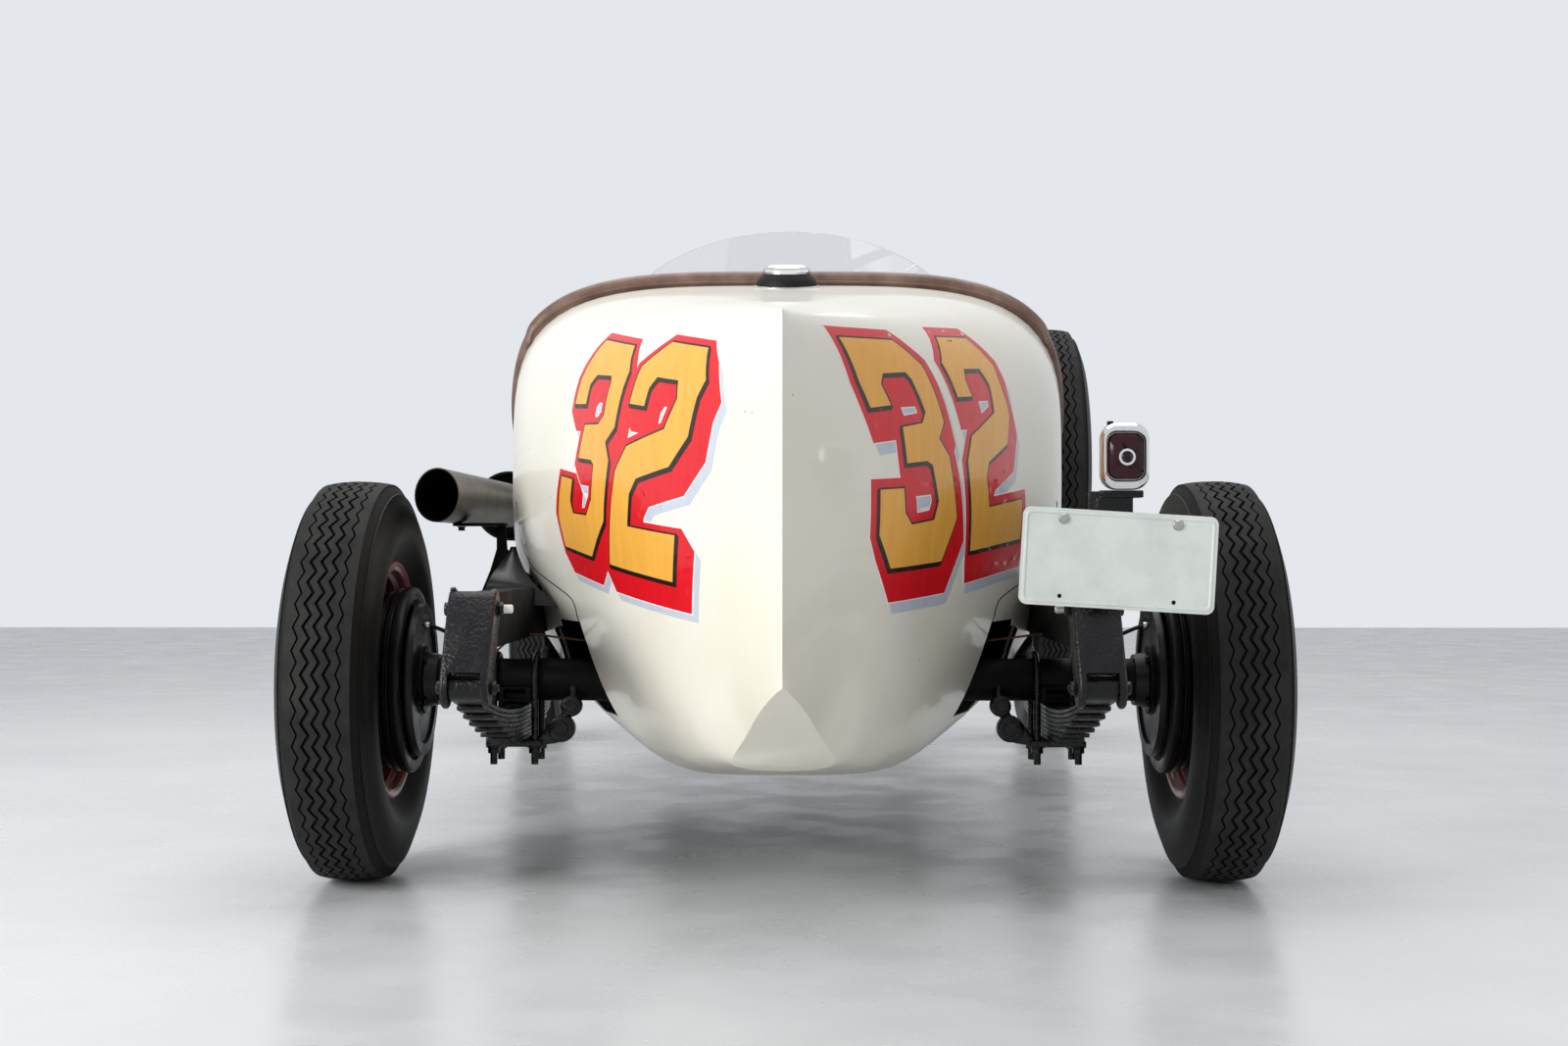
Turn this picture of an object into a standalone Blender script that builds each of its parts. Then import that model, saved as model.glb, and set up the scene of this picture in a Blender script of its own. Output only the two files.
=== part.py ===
"""A two-seat boat-tail roadster of about 1930, at its real size in metres.

Frame: +Y is forward, +X is the car's right and +Z is up. The origin is on the floor, under the
middle of the overall length. A place along the car is written as `ahead`, its distance ahead of the
rear axle, and y_at(ahead) turns it into Y.
"""

import math

import bmesh
import bpy
from mathutils import Matrix, Vector

# ---------------------------------------------------------------- driving dimensions
WHEELBASE = 2.74
REAR_OVERHANG = 0.71  # rear axle to the stern
FRONT_OVERHANG = 0.45  # front axle to the tips of the frame rails
REAR_HALF_TRACK = 0.776
FRONT_HALF_TRACK = 0.790
GAP = 0.0003  # between pieces that touch
SWING_GAP = 0.005  # beside a piece that swings

REAR_TYRE = {"radius": 0.363, "half_width": 0.086, "tread": 0.076}
FRONT_TYRE = {"radius": 0.345, "half_width": 0.073, "tread": 0.064}
TYRE_SIDES = 36  # a multiple of four, so that the tyre stands on a flat
WHEEL_SIDES = 24
RIM_SEAT_RADIUS = 0.2035
RIM_FLANGE_RADIUS = 0.2170

RAIL_X = 0.49  # the frame rails' middle, from the tail to the cowl
RAIL_FRONT_X = 0.37
RAIL_TAPER = (1.70, 2.30)  # where the rails draw in
RAIL_WIDTH = 0.05
RAIL_BOTTOM = 0.44
RAIL_TOP = 0.53
RAIL_REAR_END = -0.508
CROSS_BOTTOM = 0.43
CROSSMEMBERS = (0.36, 1.22, 2.70)  # places along the car of their middles
CROSS_TOP = 0.4997

SILL_Z = 0.50  # where the body's side meets its floor
SKIN = 0.006  # the tail's wall
TUB_WALL = 0.012
TAIL_FRONT = 0.30  # the seam between the tail and the tub
COWL_FRONT = 1.70
HOOD_FRONT = 2.66
BULKHEAD_THICK = 0.012

AXLE_SLOT_HALF = 0.075
STERN_FOOT_Z = 0.396
FACET_FRONT = (-0.465, 0.243)  # where the stern's bevel meets the belly

COAMING_RADIUS = 0.017
SPRING_WIDTH = 0.05
EYE_RADIUS = 0.020
AXLE_RADIUS = 0.0385
KINGPIN_X = FRONT_HALF_TRACK - 0.135
TRACK_ARM = 0.16
DRAG_ARM = 0.12
SHACKLE_UPPER = (-0.500, 0.505, 0.032)  # ahead, height and radius of its ends
SHACKLE_LOWER = (-0.575, 0.385, 0.032)

PIPE_X = -0.640
PIPE_Z = 0.699
PIPE_RADIUS = 0.050
PIPE_WALL = 0.003
PIPE_FRONT = 2.10
GUARD_RADIUS = 0.080
GUARD_SPAN = (0.95, 1.72)

SPARE_X = 0.655
SPARE_AHEAD = 1.55
SPARE_Z = 0.805

PLATE_SIZE = (0.3048, 0.1524, 0.002)
PLATE_CENTRE = (0.522, -0.5475, 0.582)
PLATE_ROLL = math.radians(3.4)
LAMP_CENTRE = (0.5295, 0.7435)
LAMP_HALF = (0.037, 0.052)

STEER_AXIS_WHEEL = (-0.28, 0.95, 1.00)  # X, ahead and height of the steering wheel's middle
STEER_AXIS_BOX = (-0.28, 2.36, 0.50)
PITMAN = (-0.29, 2.42)
COLUMN_RADIUS = 0.019

# The body's sections. Columns: ahead, half_w at the waist, waist_z, crown_z, power of the shoulder,
# hull_w at the sill, keel_z, keel_w and hull_power of the part under the sill.
SECTION_COLUMNS = ("half_w", "waist_z", "crown_z", "power", "hull_w", "keel_z", "keel_w", "hull_power")
SECTIONS = (
    (-0.71, 0.000, 0.72, 0.955, 3.0, 0.000, 0.2500, 0.000, 1.5),
    (-0.60, 0.095, 0.72, 0.972, 3.0, 0.086, 0.2470, 0.000, 1.5),
    (-0.46, 0.215, 0.73, 0.996, 3.2, 0.194, 0.2430, 0.080, 1.6),
    (-0.31, 0.315, 0.74, 1.020, 3.4, 0.280, 0.2255, 0.110, 2.0),
    (-0.10, 0.425, 0.75, 1.055, 3.7, 0.356, 0.2000, 0.110, 2.2),
    (0.10, 0.505, 0.75, 1.088, 3.9, 0.385, 0.2150, 0.110, 2.2),
    (0.30, 0.540, 0.75, 1.120, 4.0, 0.400, 0.3200, 0.150, 2.2),
    (0.55, 0.556, 0.75, 1.128, 4.0, 0.410, 0.5000, 0.300, 2.2),
    (0.85, 0.560, 0.75, 1.125, 4.0, 0.410, 0.5000, 0.300, 2.2),
    (1.15, 0.545, 0.75, 1.115, 3.8, 0.408, 0.5000, 0.300, 2.2),
    (1.40, 0.510, 0.75, 1.100, 3.6, 0.402, 0.5000, 0.300, 2.2),
    (1.70, 0.455, 0.74, 1.070, 3.2, 0.385, 0.5000, 0.300, 2.2),
    (2.20, 0.385, 0.73, 1.040, 3.0, 0.345, 0.5000, 0.300, 2.2),
    (2.70, 0.315, 0.72, 1.015, 2.8, 0.300, 0.5000, 0.300, 2.2),
)
BULGE_POWER = 2.5
TAIL_STATIONS = (-0.71, -0.66, -0.60, -0.53, -0.46, -0.385, -0.31, -0.205, -0.10, 0.0, 0.10, 0.20)
TUB_STATIONS = (0.42, 0.55, 0.70, 0.85, 1.00, 1.15, 1.28, 1.40, 1.55)
SHOULDER_STEPS = 8
BULGE_STEPS = 5
HULL_STEPS = 6

# The cockpit opening's edge, seen from the side: ahead and height.
COCKPIT_EDGE = (
    (0.30, 1.000), (0.38, 0.900), (0.50, 0.820), (0.65, 0.772), (0.80, 0.758),
    (0.92, 0.775), (1.02, 0.830), (1.10, 0.920), (1.155, 1.020), (1.185, 1.090),
)


def y_at(ahead):
    """Y of a place that many metres ahead of the rear axle."""
    return ahead + (REAR_OVERHANG - WHEELBASE - FRONT_OVERHANG) / 2


# ---------------------------------------------------------------- materials
def material(name, colour, roughness, metallic=0.0, alpha=1.0):
    made = bpy.data.materials.new(name)
    made.use_nodes = True
    shader = made.node_tree.nodes["Principled BSDF"]
    shader.inputs["Base Color"].default_value = (*colour, 1.0)
    shader.inputs["Roughness"].default_value = roughness
    shader.inputs["Metallic"].default_value = metallic
    shader.inputs["Alpha"].default_value = alpha
    return made


# ---------------------------------------------------------------- shapes
def mesh_object(name, points, faces, merge=0.0):
    """An object whose mesh has these points, in world metres, with its faces turned outward."""
    bm = bmesh.new()
    corners = [bm.verts.new(point) for point in points]
    for face in faces:
        bm.faces.new([corners[i] for i in face])
    if merge:
        bmesh.ops.remove_doubles(bm, verts=bm.verts[:], dist=merge)
    bmesh.ops.recalc_face_normals(bm, faces=bm.faces[:])
    if bm.calc_volume(signed=True) < 0:
        bmesh.ops.reverse_faces(bm, faces=bm.faces[:])
    mesh = bpy.data.meshes.new(name)
    bm.to_mesh(mesh)
    bm.free()
    made = bpy.data.objects.new(name, mesh)
    bpy.context.scene.collection.objects.link(made)
    return made


def block(low, high, name="block"):
    """A box between two corners, given as X, ahead and height."""
    corners = [
        (x, y_at(ahead), z) for x in (low[0], high[0]) for ahead in (low[1], high[1]) for z in (low[2], high[2])
    ]
    faces = ((0, 1, 3, 2), (4, 6, 7, 5), (0, 4, 5, 1), (2, 3, 7, 6), (0, 2, 6, 4), (1, 5, 7, 3))
    return mesh_object(name, corners, faces)


def prism(outline, axis, low, high, name="prism"):
    """An outline of two coordinates, in the order of the other two axes, extruded along one axis."""

    def corner(a, b, along):
        x, ahead, z = {"X": (along, a, b), "Y": (a, along, b), "Z": (a, b, along)}[axis]
        return (x, y_at(ahead), z)

    count = len(outline)
    points = [corner(a, b, low) for a, b in outline] + [corner(a, b, high) for a, b in outline]
    faces = [tuple(range(count)), tuple(range(2 * count - 1, count - 1, -1))]
    faces += [(i, (i + 1) % count, count + (i + 1) % count, count + i) for i in range(count)]
    return mesh_object(name, points, faces)


def frame_of(direction):
    """Two unit vectors square to a direction."""
    along = Vector(direction).normalized()
    helper = Vector((0, 0, 1)) if abs(along.z) < 0.9 else Vector((1, 0, 0))
    side = helper.cross(along).normalized()
    return along, side, along.cross(side)


def turned(profile, centre, direction, sides, name="turned"):
    """A profile of (along, radius) points turned about an axis; it starts and ends on the axis or is a ring.

    The first side is half a step round from the level, so that a wheel has a flat at its lowest point.
    """
    along, side, up = frame_of(direction)
    middle = Vector((centre[0], y_at(centre[1]), centre[2]))
    points, faces = [], []
    for k in range(sides):
        angle = 2 * math.pi * (k + 0.5) / sides
        out = side * math.cos(angle) + up * math.sin(angle)
        points += [middle + along * a + out * radius for a, radius in profile]
    count = len(profile)
    closed = profile[0][1] > 0
    for k in range(sides):
        a, b = k * count, (k + 1) % sides * count
        for i in range(count if closed else count - 1):
            j = (i + 1) % count
            quad = [a + i, a + j, b + j, b + i]
            if profile[i][1] == 0:
                quad.remove(b + i)
            if profile[j][1] == 0:
                quad.remove(b + j)
            faces.append(quad)
    return mesh_object(name, points, faces, merge=1e-6)


def rod(start, end, radius, sides=12, name="rod"):
    """A round bar between two places given as X, ahead and height."""
    span = Vector(end) - Vector(start)
    return turned(((0, 0), (0, radius), (span.length, radius), (span.length, 0)), start, span, sides, name)


def swept(path, radius, name, sides=12):
    """A round bar along a path of places given as X, ahead and height, with flat ends."""
    curve = bpy.data.curves.new(name, "CURVE")
    curve.dimensions = "3D"
    curve.bevel_depth = radius
    curve.bevel_resolution = sides // 2 - 2
    curve.use_fill_caps = True
    spline = curve.splines.new("POLY")
    spline.points.add(len(path) - 1)
    for point, (x, ahead, z) in zip(spline.points, path):
        point.co = (x, y_at(ahead), z, 1)
    guide = bpy.data.objects.new(name, curve)
    bpy.context.scene.collection.objects.link(guide)
    return as_mesh(guide)


def as_mesh(obj):
    """The same object with its curve or its modifiers made into plain mesh."""
    bpy.context.view_layer.update()
    evaluated = obj.evaluated_get(bpy.context.evaluated_depsgraph_get())
    mesh = bpy.data.meshes.new_from_object(evaluated)
    name = obj.name
    bpy.data.objects.remove(obj)
    bm = bmesh.new()
    bm.from_mesh(mesh)
    bmesh.ops.remove_doubles(bm, verts=bm.verts[:], dist=1e-6)
    bmesh.ops.triangulate(bm, faces=[face for face in bm.faces if len(face.verts) > 4])
    bm.to_mesh(mesh)
    bm.free()
    made = bpy.data.objects.new(name, mesh)
    bpy.context.scene.collection.objects.link(made)
    return made


def combine(base, tools, operation):
    """The base with each tool joined to it or cut from it; the tools are used up."""
    for tool in tools:
        modifier = base.modifiers.new(tool.name, "BOOLEAN")
        modifier.operation = operation
        modifier.solver = "EXACT"
        modifier.object = tool
        name = base.name
        base = as_mesh(base)
        base.name = name
        bpy.data.objects.remove(tool)
    return base


def joined(base, *tools):
    return combine(base, tools, "UNION")


def cut(base, *tools):
    return combine(base, tools, "DIFFERENCE")


def round_ended(first, second, steps=6):
    """The outline round two circles, each (a, b, radius), as a belt goes round them."""
    start, end = Vector(first[:2]), Vector(second[:2])
    heading = math.atan2(end.y - start.y, end.x - start.x)
    lean = math.acos((first[2] - second[2]) / (end - start).length)
    outline = []
    for (a, b, radius), begin, finish in (
        (first, heading + lean, heading + 2 * math.pi - lean),
        (second, heading - lean, heading + lean),
    ):
        for k in range(steps + 1):
            angle = begin + (finish - begin) * k / steps
            outline.append((a + radius * math.cos(angle), b + radius * math.sin(angle)))
    return outline


# ---------------------------------------------------------------- the body's surface
def section_at(ahead):
    """The section's values at a place along the car, on smooth curves through the table."""
    rows = SECTIONS
    k = max(i for i in range(len(rows) - 1) if rows[i][0] <= ahead or i == 0)
    span = rows[k + 1][0] - rows[k][0]
    t = (ahead - rows[k][0]) / span

    def slope(i, column):
        if i in (0, len(rows) - 1):
            j = min(i, len(rows) - 2)
            return (rows[j + 1][column] - rows[j][column]) / (rows[j + 1][0] - rows[j][0])
        before = (rows[i][column] - rows[i - 1][column]) / (rows[i][0] - rows[i - 1][0])
        after = (rows[i + 1][column] - rows[i][column]) / (rows[i + 1][0] - rows[i][0])
        return 0.0 if before * after <= 0 else 2 * before * after / (before + after)

    values = {}
    for column, name in enumerate(SECTION_COLUMNS, start=1):
        values[name] = (
            (2 * t**3 - 3 * t**2 + 1) * rows[k][column]
            + (t**3 - 2 * t**2 + t) * span * slope(k, column)
            + (3 * t**2 - 2 * t**3) * rows[k + 1][column]
            + (t**3 - t**2) * span * slope(k + 1, column)
        )
    return values


def right_outline(ahead, inset=0.0, hull=False):
    """The section's right half from the crown down, as (x, z), drawn in by inset all round.

    It stops at the sill, or with hull goes on under the sill to the keel.
    """
    s = section_at(ahead)
    half_w, hull_w = max(s["half_w"] - inset, 0.0), max(s["hull_w"] - inset, 0.0)
    crown = s["crown_z"] - inset
    sill = SILL_Z if hull else SILL_Z + inset
    outline = []
    for k in range(SHOULDER_STEPS + 1):
        angle = math.pi / 2 * k / SHOULDER_STEPS
        x = half_w * math.sin(angle) ** (2 / s["power"])
        z = s["waist_z"] + (crown - s["waist_z"]) * max(math.cos(angle), 0.0) ** (2 / s["power"])
        outline.append((x, z))
    for k in range(1, BULGE_STEPS + 1):
        t = k / BULGE_STEPS
        x = hull_w + (half_w - hull_w) * (1 - t**BULGE_POWER)
        outline.append((x, s["waist_z"] - (s["waist_z"] - sill) * t))
    if hull:
        keel_w, keel_z = max(s["keel_w"] - inset, 0.0), s["keel_z"] + inset
        power = 2 / s["hull_power"]
        for k in range(1, HULL_STEPS + 1):
            angle = math.pi / 2 * k / HULL_STEPS
            x = keel_w + (hull_w - keel_w) * max(math.cos(angle), 0.0) ** power
            outline.append((x, sill - (sill - keel_z) * math.sin(angle) ** power))
    return outline


def ring_outline(ahead, inset=0.0, hull=False):
    """The whole section as one ring: down the right side from the crown and up the left."""
    right = right_outline(ahead, inset, hull)
    left = [(-x, z) for x, z in reversed(right[1:])]
    return right + left


def side_x(ahead, z):
    """Half the body's width at a height between the sill and the waist."""
    s = section_at(ahead)
    if z < s["waist_z"]:
        t = (s["waist_z"] - z) / (s["waist_z"] - SILL_Z)
        return s["hull_w"] + (s["half_w"] - s["hull_w"]) * (1 - t**BULGE_POWER)
    rise = (z - s["waist_z"]) / (s["crown_z"] - s["waist_z"])
    return s["half_w"] * (1 - rise ** s["power"]) ** (1 / s["power"])


def crown_at(ahead, x):
    """The height of the body's top at a distance from the centre line."""
    s = section_at(ahead)
    share = (1 - (abs(x) / s["half_w"]) ** s["power"]) ** (1 / s["power"])
    return s["waist_z"] + (s["crown_z"] - s["waist_z"]) * share


def loft(rings, name):
    """A solid through rings of (x, z) points at places along the car: [(ahead, ring), ...].

    A first ring that has shrunk to an upright line, as at the stern, gets no cap.
    """
    count = len(rings[0][1])
    points = [(x, y_at(ahead), z) for ahead, ring in rings for x, z in ring]
    faces = []
    for k in range(len(rings) - 1):
        for i in range(count):
            j = (i + 1) % count
            faces.append((k * count + i, k * count + j, (k + 1) * count + j, (k + 1) * count + i))
    last = (len(rings) - 1) * count
    faces.append(tuple(last + i for i in reversed(range(count))))
    if any(x for x, z in rings[0][1]):
        faces.append(tuple(range(count)))
    return mesh_object(name, points, faces, merge=1e-6)


def grid_solid(outer, inner, name):
    """A solid between two grids of points of the same size, closed round its four edges."""
    rows, columns = len(outer), len(outer[0])
    points = [p for row in outer for p in row] + [p for row in inner for p in row]
    shift = rows * columns

    def at(r, c, side):
        return side * shift + r * columns + c

    faces = []
    for r in range(rows - 1):
        for c in range(columns - 1):
            faces.append((at(r, c, 0), at(r, c + 1, 0), at(r + 1, c + 1, 0), at(r + 1, c, 0)))
            faces.append((at(r, c, 1), at(r + 1, c, 1), at(r + 1, c + 1, 1), at(r, c + 1, 1)))
    for r in range(rows - 1):
        for c in (0, columns - 1):
            faces.append((at(r, c, 0), at(r + 1, c, 0), at(r + 1, c, 1), at(r, c, 1)))
    for c in range(columns - 1):
        for r in (0, rows - 1):
            faces.append((at(r, c, 0), at(r, c, 1), at(r, c + 1, 1), at(r, c + 1, 0)))
    return mesh_object(name, points, faces)


# ---------------------------------------------------------------- the body
def facet_wedge(lift):
    """What the bevel at the foot of the stern takes away, lifted by a wall's thickness for the inside."""
    slope = (FACET_FRONT[1] - STERN_FOOT_Z) / (FACET_FRONT[0] + REAR_OVERHANG)

    def height(ahead):
        return STERN_FOOT_Z + slope * (ahead + REAR_OVERHANG) + lift

    behind, under = -REAR_OVERHANG - 0.15, FACET_FRONT[0] + 0.15
    outline = ((behind, height(behind)), (under, height(under)), (under, 0.0), (behind, 0.0))
    return prism(outline, "X", -0.6, 0.6, "facet")


def tail():
    """The pointed tail: a thin shell, open at the front, slotted each side for the axle."""
    outer = loft([(a, ring_outline(a, 0, True)) for a in TAIL_STATIONS + (TAIL_FRONT,)], "tail")
    outer = cut(outer, facet_wedge(0.0))
    inside = [(a, ring_outline(a, SKIN, True)) for a in (*TAIL_STATIONS[2:], TAIL_FRONT, TAIL_FRONT + 0.05)]
    hollow = cut(loft(inside, "hollow"), facet_wedge(SKIN * 1.2))
    slot = block((-0.6, -AXLE_SLOT_HALF, 0.300), (0.6, AXLE_SLOT_HALF, 0.470))
    return cut(outer, hollow, slot)


def section_plate(ahead, thickness, inset, low, name):
    """A flat plate across the body, inside its wall, from a height upward."""
    outline = ring_outline(ahead, inset)
    plate = prism(outline, "Y", ahead - thickness / 2, ahead + thickness / 2, name)
    if low > SILL_Z + inset:
        plate = cut(plate, block((-0.7, ahead - 0.1, 0.0), (0.7, ahead + 0.1, low)))
    return plate


def cockpit_opening(short=0.0):
    """The prism that opens the cockpit, stopping a little short of the edge if asked."""
    shift = [(0.0, 1.0)] * 5 + [(-0.5, 0.9)] * 2 + [(-0.9, 0.4)] * 3
    edge = [(a + short * da, z + short * dz) for (a, z), (da, dz) in zip(COCKPIT_EDGE, shift)]
    rear = TAIL_FRONT - 0.05
    return prism([(rear, edge[0][1] + 0.02), *edge, (edge[-1][0] + 0.002, 1.3), (rear, 1.3)], "X", -0.7, 0.7)


def body_tub():
    """The cockpit and scuttle: a tube of sections with a floor, bulkhead, dash and firewall, open on top."""
    rear, front = TAIL_FRONT + GAP, COWL_FRONT
    stations = (rear, *TUB_STATIONS, front)
    outer = loft([(a, ring_outline(a)) for a in stations], "body_tub")
    through = (rear - 0.05, *stations, front + 0.05)
    hollow = loft([(a, ring_outline(a, TUB_WALL)) for a in through], "hollow")
    tub = cut(outer, hollow)
    overlap = TUB_WALL / 2
    tub = joined(
        tub,
        section_plate(rear + BULKHEAD_THICK / 2, BULKHEAD_THICK, overlap, 0.0, "bulkhead"),
        section_plate(1.24, 0.008, overlap, 0.86, "dash"),
        section_plate(front - 0.008, 0.010, overlap, 0.0, "firewall"),
    )
    column = rod(STEER_AXIS_WHEEL, STEER_AXIS_BOX, COLUMN_RADIUS + GAP)
    return cut(tub, cockpit_opening(), column)


def body_block(grow, first, last, name="body_block"):
    """The body over the sill as one solid between two places, grown or shrunk all round."""
    stations = [a for a in (*TAIL_STATIONS, TAIL_FRONT, *TUB_STATIONS, COWL_FRONT) if first < a < last]
    return loft([(a, ring_outline(a, -grow)) for a in (first, *stations, last)], name)


def edge_height(ahead):
    """The height of the cockpit's edge along its side."""
    for (a0, z0), (a1, z1) in zip(COCKPIT_EDGE, COCKPIT_EDGE[1:]):
        if ahead <= a1:
            return z0 + (z1 - z0) * (ahead - a0) / (a1 - a0)
    return COCKPIT_EDGE[-1][1]


def coaming_path():
    """The middle of the roll's right half: over the tail's front edge, then down and along the side."""
    lift, forward = 0.012, 0.008
    outline = right_outline(TAIL_FRONT)
    path = []
    for (x0, z0), (x1, z1) in zip(outline, outline[1:]):
        if z1 < COCKPIT_EDGE[0][1] + 0.02:
            break
        across = Vector((x1 - x0, z1 - z0)).normalized()
        for k in range(3):
            x, z = x0 + (x1 - x0) * k / 3, z0 + (z1 - z0) * k / 3
            square = Vector((0, 1)) if x == 0 else Vector((-across.y, across.x))
            path.append((x + square.x * lift, TAIL_FRONT + forward, z + square.y * lift))
    ahead, step = COCKPIT_EDGE[0][0] + 0.028, 0.02
    while ahead < COCKPIT_EDGE[-1][0]:
        slope = (edge_height(ahead + step) - edge_height(ahead - step)) / (2 * step)
        rise = Vector((-slope, 1)).normalized() * lift
        z = edge_height(ahead)
        path.append((side_x(ahead, z) - TUB_WALL / 2, ahead + rise.x, z + rise.y))
        ahead += 0.030
    for _ in range(2):
        inner = [
            tuple((p + 2 * q + r) / 4 for p, q, r in zip(*three)) for three in zip(path, path[1:], path[2:])
        ]
        path = [path[0], *inner, path[-1]]
    return path


def coaming():
    """The padded roll round the cockpit, notched to sit over the body's edge."""
    right = coaming_path()
    left = [(-x, a, z) for x, a, z in right[:0:-1]]
    roll = swept(left + right, COAMING_RADIUS, "coaming", 8)
    deck = cut(body_block(GAP, 0.20, TAIL_FRONT + GAP), body_block(-SKIN - GAP, 0.15, TAIL_FRONT + 0.05))
    sides = cut(body_block(GAP, TAIL_FRONT, 1.30), body_block(-TUB_WALL - GAP, TAIL_FRONT - 0.05, 1.35))
    return cut(roll, deck, cut(sides, cockpit_opening(2 * GAP)))


def windscreen():
    """The low curved screen, its foot cut to the scuttle."""
    half_w, base_z, rise, thick = 0.420, 1.100, 0.290, 0.005
    columns = 17

    def grid(lean):
        made = []
        for k in range(columns):
            x = half_w * (2 * k / (columns - 1) - 1) * 0.995
            top = base_z + rise * math.sqrt(1 - (x / half_w) ** 2)
            foot = crown_at(1.40, x) - 0.035
            heights = [foot + (top - foot) * j / 3 for j in range(4)]
            made.append([(x, y_at(1.43 - 1.15 * x * x - 0.30 * (z - base_z) + lean), z) for z in heights])
        return made

    screen = grid_solid(grid(0.0), grid(thick), "windscreen")
    return cut(screen, body_block(GAP, 1.05, COWL_FRONT))


SHOULDER_SEAM = 6  # the point of the outline where the hood's top meets its side
HOOD_FOOT = 0.565  # the bottom of the hood's sides, over the engine's arms
HOOD_SKIN = 0.004


def hood_top(side, sign):
    """Half of the hood's top, from the hinge to the shoulder, free to swing."""
    rear, front = COWL_FRONT + SWING_GAP, HOOD_FRONT - SWING_GAP
    outer, inner = [], []
    for k in range(6):
        a = rear + (front - rear) * k / 5
        for grid, inset in ((outer, 0.0), (inner, HOOD_SKIN)):
            outline = right_outline(a, inset)[: SHOULDER_SEAM + 1]
            grid.append([(sign * max(x, HINGE_RADIUS + 0.0008), y_at(a), z) for x, z in outline])
    return grid_solid(outer, inner, f"hood_{side}")


def hood_side(side, sign):
    """The fixed side panel, from the scuttle to the radiator."""
    rear, front = COWL_FRONT + GAP, HOOD_FRONT - GAP
    outer, inner = [], []
    for k in range(6):
        a = rear + (front - rear) * k / 5
        top = right_outline(a)[SHOULDER_SEAM][1] - 1.7 * SWING_GAP
        heights = [top + (HOOD_FOOT - top) * j / 5 for j in range(6)]
        for grid, inset in ((outer, 0.0), (inner, HOOD_SKIN)):
            grid.append([(sign * (side_x(a, z) - inset), y_at(a), z) for z in heights])
    return grid_solid(outer, inner, f"hood_side_{side}")


HINGE_RADIUS = 0.0055


def hinge_line():
    """The hood's hinge: its two ends, just under the crown."""
    rear, front = COWL_FRONT + 3 * GAP, HOOD_FRONT
    drop = 0.002
    return (
        (0.0, rear, section_at(rear)["crown_z"] - drop),
        (0.0, front, section_at(front)["crown_z"] - drop),
    )


def radiator():
    """The radiator's shell with its core set back, and the hood's hinge rod."""
    rear, front = HOOD_FRONT, HOOD_FRONT + 0.09
    shell = prism([p for p in ring_outline(HOOD_FRONT)], "Y", rear, front, "radiator")
    core = [(x * 0.84, 0.76 + (z - 0.76) * 0.84) for x, z in ring_outline(HOOD_FRONT)]
    shell = cut(shell, prism(core, "Y", front - 0.018, front + 0.02, "recess"))
    start, end = hinge_line()
    return joined(shell, rod(start, (end[0], end[1] + 0.01, end[2]), HINGE_RADIUS))


# ---------------------------------------------------------------- chassis
def rail_x(ahead):
    """The middle of the right rail."""
    start, end = RAIL_TAPER
    share = min(max((ahead - start) / (end - start), 0.0), 1.0)
    return RAIL_X + (RAIL_FRONT_X - RAIL_X) * share


def frame():
    front = WHEELBASE + FRONT_OVERHANG
    ends = (RAIL_REAR_END, *RAIL_TAPER, front)
    half = RAIL_WIDTH / 2
    outline = [(rail_x(a) + half, a) for a in ends] + [(rail_x(a) - half, a) for a in reversed(ends)]
    rails = [
        prism([(sign * x, a) for x, a in outline], "Z", RAIL_BOTTOM, RAIL_TOP, "frame")
        for sign in (1, -1)
    ]
    members = [
        block((-rail_x(a), a - 0.03, CROSS_BOTTOM), (rail_x(a), a + 0.03, CROSS_TOP))
        for a in CROSSMEMBERS
    ]
    return joined(rails[0], members[0], rails[1], *members[1:])


SPRING_SEAT_HALF = 0.055


def leaf_pack(x, rear_eye, front_eye, centre, leaves, leaf, name):
    """A stepped pack of leaves, flat at its seat, with an eye at each end.

    centre is the ahead and the height of the top of the pack at the axle.
    """
    side = SPRING_WIDTH / 2

    def top(ahead):
        eye = rear_eye if ahead < centre[0] else front_eye
        run = max(abs(ahead - centre[0]) - SPRING_SEAT_HALF, 0.0)
        share = run / (abs(eye[0] - centre[0]) - SPRING_SEAT_HALF)
        return centre[1] + (eye[1] - EYE_RADIUS + leaf - centre[1]) * share**2

    def underside(eye):
        """From the eye in to the seat, a leaf deeper at each step."""
        reach = eye[0] - centre[0]
        points = [(eye[0], top(eye[0]) - leaf)]
        for k in range(1, leaves):
            a = centre[0] + reach * (1 - k * 0.80 / leaves)
            points += [(a, top(a) - leaf * k), (a, top(a) - leaf * (k + 1))]
        seat = centre[0] + math.copysign(SPRING_SEAT_HALF, reach)
        return points + [(seat, top(seat) - leaf * leaves)]

    upper = [rear_eye[0] + (centre[0] - SPRING_SEAT_HALF - rear_eye[0]) * k / 6 for k in range(7)]
    upper += [front_eye[0] + (centre[0] + SPRING_SEAT_HALF - front_eye[0]) * k / 6 for k in range(6, -1, -1)]
    outline = [(a, top(a)) for a in upper] + underside(front_eye) + underside(rear_eye)[::-1]
    eyes = [
        rod((x - side, eye[0], eye[1]), (x + side, eye[0], eye[1]), EYE_RADIUS, 16)
        for eye in (rear_eye, front_eye)
    ]
    return joined(prism(outline, "X", x - side, x + side, name), *eyes)


def axle_height(tyre):
    """A tyre's centre above the floor when it stands on one flat of its outline."""
    return tyre["radius"] * math.cos(math.pi / TYRE_SIDES)


REAR_AXLE_Z = axle_height(REAR_TYRE)
FRONT_AXLE_Z = axle_height(FRONT_TYRE)
REAR_SPRING_TOP = REAR_AXLE_Z - AXLE_RADIUS - 0.0031
LOW_EYE_Z = RAIL_BOTTOM - EYE_RADIUS - GAP


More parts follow.
